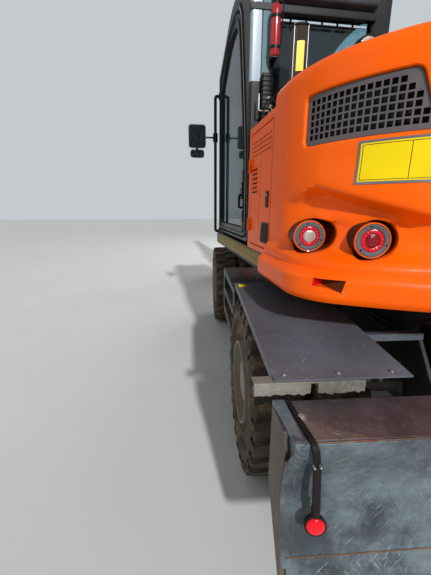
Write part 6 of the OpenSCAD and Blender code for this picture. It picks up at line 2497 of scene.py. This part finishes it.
    def behind_cab(self) -> None:
        """Builds the extinguisher, the bent bracket, the round lamp and the filters behind the cab."""
        kit = Kit("behind_cab", "upper", PLACE.upper, 1.0)
        x, y, z = -1062.0, -796.0, 2500.0
        kit[Finish.RED].lathe(
            [(0, 0), (22, 0), (29, 6), (31, 16), (31, 236), (28, 258), (20, 274), (12, 280), (0, 280)],
            (x, y, z), UP, 32
        )
        kit[Finish.BLACK_PLASTIC].lathe([(0, 276), (13, 276), (13, 300), (10, 304), (0, 304)], (x, y, z), UP, 20)
        kit[Finish.BLACK_PLASTIC].prism(
            rounded([(y - 8, z + 298), (y + 9, z + 298), (y + 10, z + 308), (y - 44, z + 326), (y - 46, z + 320)], 4),
            x - 5, x + 5
        )
        kit[Finish.RUBBER].tube(
            rounded(
                [
                    (x + 6, y - 8, z + 288), (x + 42, y - 14, z + 284), (x + 38, y - 10, z + 120),
                    (x + 33, y - 4, z + 60)
                ],
                30, 5, False
            ),
            4.5, 10
        )
        for level in (z + 40, z + 200):
            kit[Finish.BLACK_PLASTIC].lathe([(31.4, 0), (33.5, 0), (33.5, 18), (31.4, 18)], (x, y, level), UP, 32, True)
            kit[Finish.BLACK_PLASTIC].block((x - 16, y + 28, level), (x + 16, -741, level + 18))
        kit[Finish.BLACK_PLASTIC].block((x - 20, y - 22, z - 8), (x + 20, -741, z))
        bracket = rounded(
            [(-1086, -812, 2091), (-1086, -812, 2196), (-1156, -812, 2196), (-1156, -812, 2292)], 8, 3, False
        )
        kit[Finish.ZINC].tube(bracket, 4.5, 8)
        kit[Finish.ZINC].lathe([(16, 0), (16, 3), (10, 5), (10, 9), (0, 9)], (-1086, -812, 2090), UP, 12)
        lamp_at(kit, (-1082, -1262, 2142), (-0.35, -0.6, -0.25), 0.72)
        kit[Finish.BLACK_PLASTIC].prism(
            rounded([(-1262, 2091), (-1262, 2130), (-1205, 2172), (-1200, 2091)], 14), -1132, -1020
        )
        kit[Finish.BLACK_PLASTIC].lathe(
            [(0, 0), (62, 0), (66, 6), (66, 120), (58, 140), (0, 144)], (-820, -900, 2091), UP, 36
        )
        rib = Workpiece().block((64, -3, 20), (70, 3, 118))
        kit[Finish.BLACK_PLASTIC].take(ring(rib, 24), Matrix.Translation((-820, -900, 2091)))
        kit[Finish.ZINC].lathe([(67, 0), (69, 0), (69, 10), (67, 10)], (-820, -900, 2130), UP, 36, True)
        lamp_at(kit, (-640, -1120, 2440), (0.0, -1, -0.2), 1.0)
        kit[Finish.DARK].block((-652, -1104, 2090), (-628, -1092, 2360))
        kit.done({Finish.BLACK_PLASTIC: ("work_lamps",)})

    def hood(self) -> None:
        """Builds the engine hood's louvres and latch, the tank's cap and the exhaust."""
        kit = Kit("engine_hood_fittings", "engine_hood", PLACE.upper, 0.8)
        louvre = ((-1186, 2343), (-1170, 2356), (-1166, 2355), (-1172, 2342))
        for ends in ((-420, -60), (60, 420)):
            blade = Workpiece().loft([[Vector((x, *p)) for p in louvre] for x in ends])
            kit[Finish.BLACK].take(row(blade, 9, (0, 34, 0)))
        kit[Finish.BLACK_PLASTIC].block((-46, -1592, 2232), (46, -1584, 2272))
        kit[Finish.ZINC].rod((0, -1594, 2252), (0, -1600, 2252), 10, 16, 1)
        kit.done()
        dress("engine_hood", Finish.BLACK, 6, 3)
        pipe = Kit("exhaust", "upper", PLACE.upper, 1.0)
        x, y, z = 760.0, -1050.0, 2090.3
        pipe[Finish.STEEL].lathe(
            [(44, 0), (50, 0), (50, 8), (48, 10), (48, 380), (55, 384), (55, 400), (52, 420), (44, 420), (44, 384)],
            (x, y, z), UP, 40, True
        )
        pipe[Finish.INSIDE].lathe([(0, 330), (45, 330), (45, 334), (0, 334)], (x, y, z), UP, 32)
        pipe[Finish.STEEL].lathe([(48, 60), (54, 60), (54, 76), (48, 76)], (x, y, z), UP, 40, True)
        pipe.done({Finish.STEEL: ("exhaust",)})
        tank = Kit("tank_fittings", "upper", PLACE.upper, 1.0)
        tank[Finish.BLACK_PLASTIC].lathe(
            [(0, 0), (62, 0), (64, 4), (64, 22), (58, 28), (0, 30)], (900, -400, 1960), UP, 36
        )
        grip = Workpiece().block((61, -4, 4), (68, 4, 24))
        tank[Finish.BLACK_PLASTIC].take(ring(grip, 16), Matrix.Translation((900, -400, 1960)))
        for y0, y1, top in ((-720, -330, 1900), (-290, 60, 1900)):
            tank[Finish.INSIDE].tube([(1190.4, p.x, p.y) for p in box_outline((y0, 1380), (y1, top), 40)], 2.2, 6, True)
        tread = Workpiece().block((560, 330, 1640), (1060, 342, 1645))
        tank[Finish.STEEL].take(row(tread, 10, (0, 30, 0)))
        tank.done()

    def build(self) -> None:
        """Builds the bodywork."""
        dress("upper_frame", Finish.DARK, 6)
        for node, bevel in (("rear_bodywork", 7), ("tank_body", 10)):
            dress(node, Finish.ORANGE, bevel, 3)
        dress("engine_block", Finish.ENGINE, 8)
        self.doors()
        self.sills()
        self.lubricator()
        self.behind_cab()
        self.hood()


def inset(chain: list[Vector], by: float) -> list[Vector]:
    """Moves a closed outline inwards.

    Args:
        chain: Points of the outline, as y and z.
        by: Distance to move it; a negative one moves it outwards.

    Returns:
        The moved points.
    """
    count = len(chain)
    area = sum(chain[i].x * chain[(i + 1) % count].y - chain[(i + 1) % count].x * chain[i].y for i in range(count))
    turn = by if area > 0 else -by
    made = []
    for i, here in enumerate(chain):
        run = (chain[(i + 1) % count] - chain[i - 1]).normalized()
        made.append(here + Vector((-run.y, run.x)) * turn)
    return made


def band_rings(outer: list[Vector], inner: list[Vector], low: float, high: float) -> list[list[Vector]]:
    """Four-cornered rings between two side outlines, from x = low to x = high."""
    return [[Vector((x, *p)) for x, p in ((low, a), (high, a), (high, b), (low, b))] for a, b in zip(outer, inner)]


def flange(kit: Kit, chain: list[Vector], x: float, deep: float, out: float) -> None:
    """Adds the edge of a box section's outer plate, proud of its side, with the weld bead under it.

    Args:
        chain: The section's side outline.
        x: Half of the section's width.
        deep: Thickness of the plate.
        out: How far it stands proud.
    """
    rings = band_rings(chain, inset(chain, deep), x - 3, x + out)
    kit[Finish.ORANGE].loft(rings + rings[:1])
    kit[Finish.ORANGE].tube([(x + 1, *p) for p in inset(chain, deep + 2)], 4.0, 6, closed=True)


def pin_cap(kit: Kit, place: Vec3, radius: float, side: int = 1) -> None:
    """Adds the keeper plate on a pin's end, with its three bolts and grease nipple."""
    cap = Workpiece().lathe([(radius, 0), (radius, 6), (radius - 3, 9), (0, 9)])
    bolt = Workpiece().lathe([(8, 9), (8, 11), (5.5, 11), (5.5, 16), (0, 17)], (0, radius * 0.62, 0), UP, 10)
    nipple = Workpiece().lathe([(4, 9), (4, 15), (2, 16), (3, 20), (0, 21)], sides=10)
    at = Matrix.Translation(place) @ Matrix.Rotation(math.radians(90 * side), 4, "Y")
    kit[Finish.DARK].take(cap.mesh("cap"), at)
    kit[Finish.ZINC].take(ring(bolt, 3), at).take(nipple.mesh("nipple"), at)


def pipes(kit: Kit, lines: list[list[Vec3]], radius: float, clamps: list[Vec3], reach: Vec3) -> None:
    """Adds steel pipes with end fittings, held by clamp blocks.

    Args:
        lines: The pipes' routes.
        radius: Their radius.
        clamps: Middles of the clamps.
        reach: Half-sizes of a clamp.
    """
    for line in lines:
        kit[Finish.DARK].tube(rounded([Vector(p) for p in line], 70, 5, closed=False), radius, 14)
        for a, b in ((line[0], line[1]), (line[-1], line[-2])):
            way = (Vector(b) - Vector(a)).normalized()
            kit[Finish.ZINC].rod(Vector(a) - way * 34, Vector(a) + way * 6, radius + 7, 6, 2)
    for clamp in clamps:
        low, high = Vector(clamp) - Vector(reach), Vector(clamp) + Vector(reach)
        kit[Finish.BLACK_PLASTIC].block(low, high)
        side = 1 if clamp[0] > 0 else -1
        kit[Finish.ZINC].rod(
            (clamp[0], clamp[1], clamp[2]), (clamp[0] + side * (reach[0] + 9), clamp[1], clamp[2]), 8, 6, 1
        )


@dataclass(frozen=True)
class Ram:
    """Details of a hydraulic ram: gland, wiper, bands, ports, feed pipe and pin caps."""

    name: str
    base: Vector
    tip: Vector
    barrel: str
    rod: str
    radius: float
    rod_radius: float
    eye: float
    capped: tuple[int, ...] = (-1, 1)

    def place(self) -> Matrix:
        """Matrix from millimetres along the ram to metres, with y from base to tip."""
        y = (self.tip - self.base).normalized()
        x = (PLACE.upper.to_3x3() @ Vector((1, 0, 0))).normalized()
        turn = Matrix((x, y, x.cross(y))).transposed().to_4x4()
        return Matrix.Translation(self.base) @ turn @ Matrix.Scale(MM, 4)

    def build(self) -> None:
        """Builds the details of the barrel and the rod."""
        place, r = self.place(), self.radius
        back = place.inverted()
        points = [back @ v.co for v in frame["nodes"][self.barrel].data.vertices]
        end = max(p.y for p in points if abs(p.x) < r + 20)
        now = (self.tip - self.base).length / MM
        kit = Kit(f"{self.name}_barrel", body_of_node(self.barrel), place)
        bolt = Workpiece().lathe([(9, 0), (9, 7), (6, 8), (0, 8)], (r - 4, 0, 0), UP, 6)
        kit[Finish.ZINC].take(
            ring(bolt, 8), Matrix.Translation((0, end, 0)) @ Matrix.Rotation(math.radians(-90), 4, "X")
        )
        kit[Finish.RUBBER].lathe(
            [
                (self.rod_radius + 0.5, -2), (self.rod_radius + 11, -2), (self.rod_radius + 10, 7),
                (self.rod_radius + 1, 10)
            ],
            (0, end, 0), (0, 1, 0), 40, True
        )
        kit[Finish.DARK].lathe([(r - 1, -6), (r + 6, 0), (r - 1, 6)], (0, end - 92, 0), (0, 1, 0), 40, True)
        start = self.eye + 120
        for y in (start + 40, (start + end) / 2, end - 190):
            kit[Finish.DARK].lathe(
                [(r - 1, -13), (r + 4, -13), (r + 4, 13), (r - 1, 13)], (0, y, 0), (0, 1, 0), 40, True
            )
            kit[Finish.DARK].block((-24, y - 13, r + 2), (24, y + 13, r + 16))
            kit[Finish.ZINC].rod((0, y, r + 14), (0, y, r + 48), 6, 6, 1)
        for y in (start, end - 46):
            kit[Finish.DARK].rod((0, y, r - 4), (0, y, r + 26), 21, 20, 3)
        kit[Finish.DARK].tube(
            rounded(
                [
                    Vector(p)
                    for p in (
                        (0, end - 46, r + 20), (0, end - 46, r + 60), (16, end - 150, r + 28),
                        (16, start + 80, r + 28), (16, start - 4, r + 60)
                    )
                ],
                30, 5, False
            ),
            11, 12
        )
        kit.done()
        kit = Kit(f"{self.name}_rod", body_of_node(self.rod), place)
        for side in self.capped:
            pin_cap(kit, (side * (self.eye + 3), now, 0), 50, side)
        kit.done()


@dataclass(frozen=True)
class Equipment:
    """Boom, arm and bucket with their rams, linkage, pipes and lamp."""

    boom_half: float = 140.0
    boom_length: float = 4600.0
    boom_ram_pin: Vec2 = (1850.0, 620.0)
    arm_ram_base: Vec2 = (1900.0, 1335.0)
    arm_half: float = 115.0
    arm_length: float = 2500.0
    horn: Vec2 = (720.0, 172.0)
    boom_foot_x: float = 110.0
    boom_ram_x: float = 255.0
    boom_ram_base: Vec2 = (900.0, 1406.0)
    rocker: Vec2 = (2100.0, 40.0)
    bucket_half: float = 500.0
    bucket_depth: float = 805.0

    @property
    def horn_pin(self) -> Vec2:
        """Where the arm ram's pin lies beside the arm, along it and above it."""
        reach, angle = self.horn
        return (reach * math.cos(math.radians(angle)), reach * math.sin(math.radians(angle)))

    def boom(self) -> None:
        """Dresses the boom and adds its plate edges, pipes, caps and lamp."""
        dress("boom", Finish.ORANGE, 4)
        kit = Kit("boom_fittings", body_of_node("boom"), PLACE.boom)
        outline = [
            (-60, -175), (900, 190), (1500, 460), (1950, 560), (2350, 500), (3400, 140), (4660, -190), (4750, 130),
            (3600, 500), (2700, 930), (2050, 1150), (1500, 1040), (800, 690), (-150, 150),
        ]
        chain = rounded(outline, [120, 300, 500, 400, 400, 900, 150, 150, 900, 600, 400, 500, 500, 120], 5)
        flange(kit, chain, self.boom_half, 14, 8)
        x = self.boom_half + 24
        for low in (0, 46):
            pipes(
                kit,
                [
                    [
                        (x, 330, 290 + low), (x, 950, 600 + low), (x, 1560, 850 + low), (x, 2060, 935 + low),
                        (x, 2640, 735 + low), (x, 3560, 355 + low), (x, 3800, 260 + low)
                    ]
                ],
                15, [], (0, 0, 0)
            )
        pipes(
            kit, [], 15,
            [(x, y, z) for y, z in ((560, 428), (1120, 695), (1760, 910), (2400, 840), (2960, 628), (3440, 428))],
            (22, 26, 52)
        )
        pin_cap(kit, (169, self.boom_length, 0), 60)
        kit.done(mirrored=True)
        lamp = Kit("boom_lamp", body_of_node("boom"), PLACE.boom)
        lamp_at(lamp, (-240, 2430, 600), (0, 1, -0.35), 1.1)
        lamp[Finish.DARK].prism(
            rounded([Vector(p) for p in ((2330, 520), (2460, 520), (2460, 540), (2330, 560))], 6),
            -252, -self.boom_half
        )
        lamp[Finish.DARK].block((-260, 2360, 516), (-210, 2440, 524))
        lamp.done()

    def arm(self) -> None:
        """Dresses the arm and its linkage and adds plate edges, pipes and caps."""
        dress("arm", Finish.ORANGE, 4)
        for node in ("rocker", "push_link"):
            dress(node, Finish.ORANGE, 4)
        hy, hz = self.horn_pin
        kit = Kit("arm_fittings", body_of_node("arm"), PLACE.arm)
        length = self.arm_length
        outline = [
            (hy - 80, hz - 80), (-120, -210), (400, -215), (1700, -115), (length + 110, -110), (length + 110, 110),
            (1700, 125), (500, 300), (-100, 300), (hy - 80, hz + 90),
        ]
        chain = rounded(outline, [80, 200, 200, 400, 108, 108, 400, 400, 300, 80], 5)
        flange(kit, chain, self.arm_half, 12, 7)
        x = self.arm_half + 20
        for low in (0, 38):
            pipes(kit, [[(x, 330, 120 + low), (x, 900, 96 + low), (x, 1780, 20 + low)]], 12, [], (0, 0, 0))
        pipes(kit, [], 12, [(x, y, z) for y, z in ((520, 130), (1050, 106), (1560, 60))], (18, 22, 44))
        pin_cap(kit, (self.arm_half + 80, *self.rocker), 48)
        kit.done(mirrored=True)

    def bucket(self) -> None:
        """Dresses the bucket and adds teeth, lip shrouds, side cutters, wear strips and pin caps."""
        dress("bucket", Finish.BUCKET, 3)
        kit = Kit("bucket_fittings", body_of_node("bucket"), PLACE.bucket, 1.0)
        half, floor = self.bucket_half, -self.bucket_depth
        for i in range(5):
            x = -half + 60 + i * (2 * half - 120) / 4
            kit[Finish.STEEL].loft([
                [
                    Vector((x - w, y, floor + 2)), Vector((x + w, y, floor + 2)), Vector((x + w, y, floor + h)),
                    Vector((x - w, y, floor + h))
                ]
                for y, w, h in ((-880, 50, 60), (-902, 52, 68), (-936, 50, 62), (-980, 46, 38), (-1020, 40, 10))
            ])
            kit[Finish.DARK].rod((x - 56, -916, floor + 36), (x + 56, -916, floor + 36), 10, 14, 2)
            if i < 4:
                shape = [
                    (-952, floor + 3), (-880, floor + 3), (-880, floor + 44), (-924, floor + 38), (-950, floor + 14)
                ]
                kit[Finish.BUCKET].prism(rounded([Vector(p) for p in shape], 4), x + 60, x + 160)
        start, stop = Vector((-922, floor + 8)), Vector((-214, -232))
        way = (stop - start).normalized()
        deep = Vector((-way.y, way.x)) * -74
        cutter = [
            start, stop, stop + deep * 0.5, stop + deep - way * 60,
            start + way * 130 + deep, start + way * 20 + deep * 0.15
        ]
        for side in (-1, 1):
            low, high = sorted((side * half, side * (half + 9)))
            kit[Finish.STEEL].prism(rounded(cutter, 14), low, high)
            for i in range(5):
                here = start + deep * 0.55 + way * (130 + i * 150)
                kit[Finish.ZINC].rod((side * half, *here), (side * (half + 20), *here), 14, 6, 2)
        outer = rounded(
            [(-930, floor), (-200, floor), (340, floor + 240), (330, -150), (-150, -165)], [1, 300, 420, 120, 1], 6
        )
        back = [p for p in outer if p.x > -120 and p.y < -210]
        centre = Vector((-200, -380))
        proud = [Vector((p.x, max(p.y, floor + 1))) for p in (p + (p - centre).normalized() * 8 for p in back)]
        for x in (-330, 0, 330):
            kit[Finish.STEEL].loft(band_rings(back, proud, x - 45, x + 45))
        for side in (-1, 1):
            pin_cap(kit, (side * (self.arm_half + 58), 0, 0), 58, side)
        kit.done()

    def build(self) -> None:
        """Builds the equipment with its rams."""
        self.boom()
        self.arm()
        self.bucket()
        for finish, nodes in (
            (Finish.DARK, ("boom_barrels", "arm_barrel", "bucket_barrel")),
            (Finish.CHROME, ("boom_rods", "arm_rod", "bucket_rod")),
        ):
            for node in nodes:
                dress(node, finish, 3)
        for side in Side:
            x = side.value * self.boom_ram_x
            base = PLACE.upper @ Vector((self.boom_foot_x + x, *self.boom_ram_base))
            tip = PLACE.boom @ Vector((x, *self.boom_ram_pin))
            Ram(f"boom_ram_{side.word}", base, tip, "boom_barrels", "boom_rods", 62, 38, 40, (side.value,)).build()
        horn = PLACE.arm @ Vector((0, *self.horn_pin))
        Ram("arm_ram", PLACE.boom @ Vector((0, *self.arm_ram_base)), horn, "arm_barrel", "arm_rod", 70, 42, 44).build()


@dataclass(frozen=True)
class Studio:
    """Pale floor, soft light and the camera at the photograph's angle."""

    image_height: float = 575.0
    focal_px: float = 305.0
    eye: Vec3 = (-1490.0, -3050.0, 1600.0)
    yaw: float = 3.6
    pitch: float = 14.7
    sensor: float = 36.0
    near: float = 0.05
    floor_half: float = 40.0
    floor_deep: float = 0.02

    def camera(self) -> None:
        """Sets the camera behind the machine on its left."""
        data = bpy.data.cameras.new("camera")
        data.sensor_width = self.sensor
        data.lens = data.sensor_width * self.focal_px / self.image_height
        data.clip_start = self.near
        camera = bpy.data.objects.new("camera", data)
        bpy.context.scene.collection.objects.link(camera)
        turn = Matrix.Rotation(math.radians(-self.yaw), 4, "Z") @ Matrix.Rotation(math.radians(90 - self.pitch), 4, "X")
        camera.matrix_world = Matrix.Translation(PLACE.lower @ Vector(self.eye)) @ turn
        bpy.context.scene.camera = camera

    def floor(self) -> None:
        """Lays a pale floor."""
        made = Coating("floor", Roughness=0.85, Specular_IOR_Level=0.2)
        s, vector = made.sheet, made.vector
        tone = s.mix(s.noise(vector, 0.8, 5.0), ink("c9cac8"), ink("d6d6d3"))
        made.feed(Base_Color=tone)
        half = self.floor_half
        piece = Workpiece().block((-half, -half, -self.floor_deep), (half, half, 0.0))
        mesh = piece.mesh("floor")
        mesh.materials.append(made.material)
        floor = bpy.data.objects.new("floor", mesh)
        bpy.context.scene.collection.objects.link(floor)

    def light(self) -> None:
        """Lights the machine from behind on its right, and softly from the sky."""
        scene = bpy.context.scene
        scene.view_settings.view_transform = "Standard"
        world = bpy.data.worlds.new("studio")
        scene.world = world
        world.use_nodes = True
        s = Sheet(world.node_tree)
        world.node_tree.nodes.clear()
        path = s.node("ShaderNodeLightPath").outputs
        seen = s.most(path["Is Camera Ray"], path["Is Transmission Ray"])
        sky = s.node("ShaderNodeBackground", {"Color": ink("e9eef2"), "Strength": 0.4}).outputs[0]
        back = s.node("ShaderNodeBackground", {"Color": ink("d9dfe3"), "Strength": 0.8}).outputs[0]
        out = s.node("ShaderNodeMixShader", {0: seen, 1: sky, 2: back}).outputs[0]
        s.feed(s.node("ShaderNodeOutputWorld").inputs[0], out)
        for name, kind, power, size, place, aim in (
            ("key", "SUN", 3.1, 0.04, (1.0, -10.5, 5.9), (-0.4, -2.0, 1.2)),
            ("fill", "AREA", 45.0, 5.0, (-7.0, -4.0, 5.0), (-0.6, -1.5, 1.4)),
            ("front", "AREA", 420.0, 6.0, (5.0, 8.5, 6.0), (0.0, 1.0, 1.5)),
        ):
            data = bpy.data.lights.new(name, kind)
            data.energy = power
            if kind == "SUN":
                data.angle = size
            else:
                data.size = size
            lamp = bpy.data.objects.new(name, data)
            lamp.location = place
            lamp.rotation_mode = "QUATERNION"
            lamp.rotation_quaternion = (Vector(place) - Vector(aim)).to_track_quat("Z", "Y")
            scene.collection.objects.link(lamp)


def main() -> None:
    """Builds the whole machine in order."""
    studio = Studio()
    studio.camera()
    studio.floor()
    studio.light()
    for maker in (
        Undercarriage(), Blade(), Mudguards(), Wheels(), Counterweight(), Cab(), Seat(), Bodywork(), Equipment()
    ):
        maker.build()
        LOG.info("%s done", type(maker).__name__)


logging.basicConfig(level=logging.INFO, format="%(message)s")
if __name__ == "__main__":
    main()
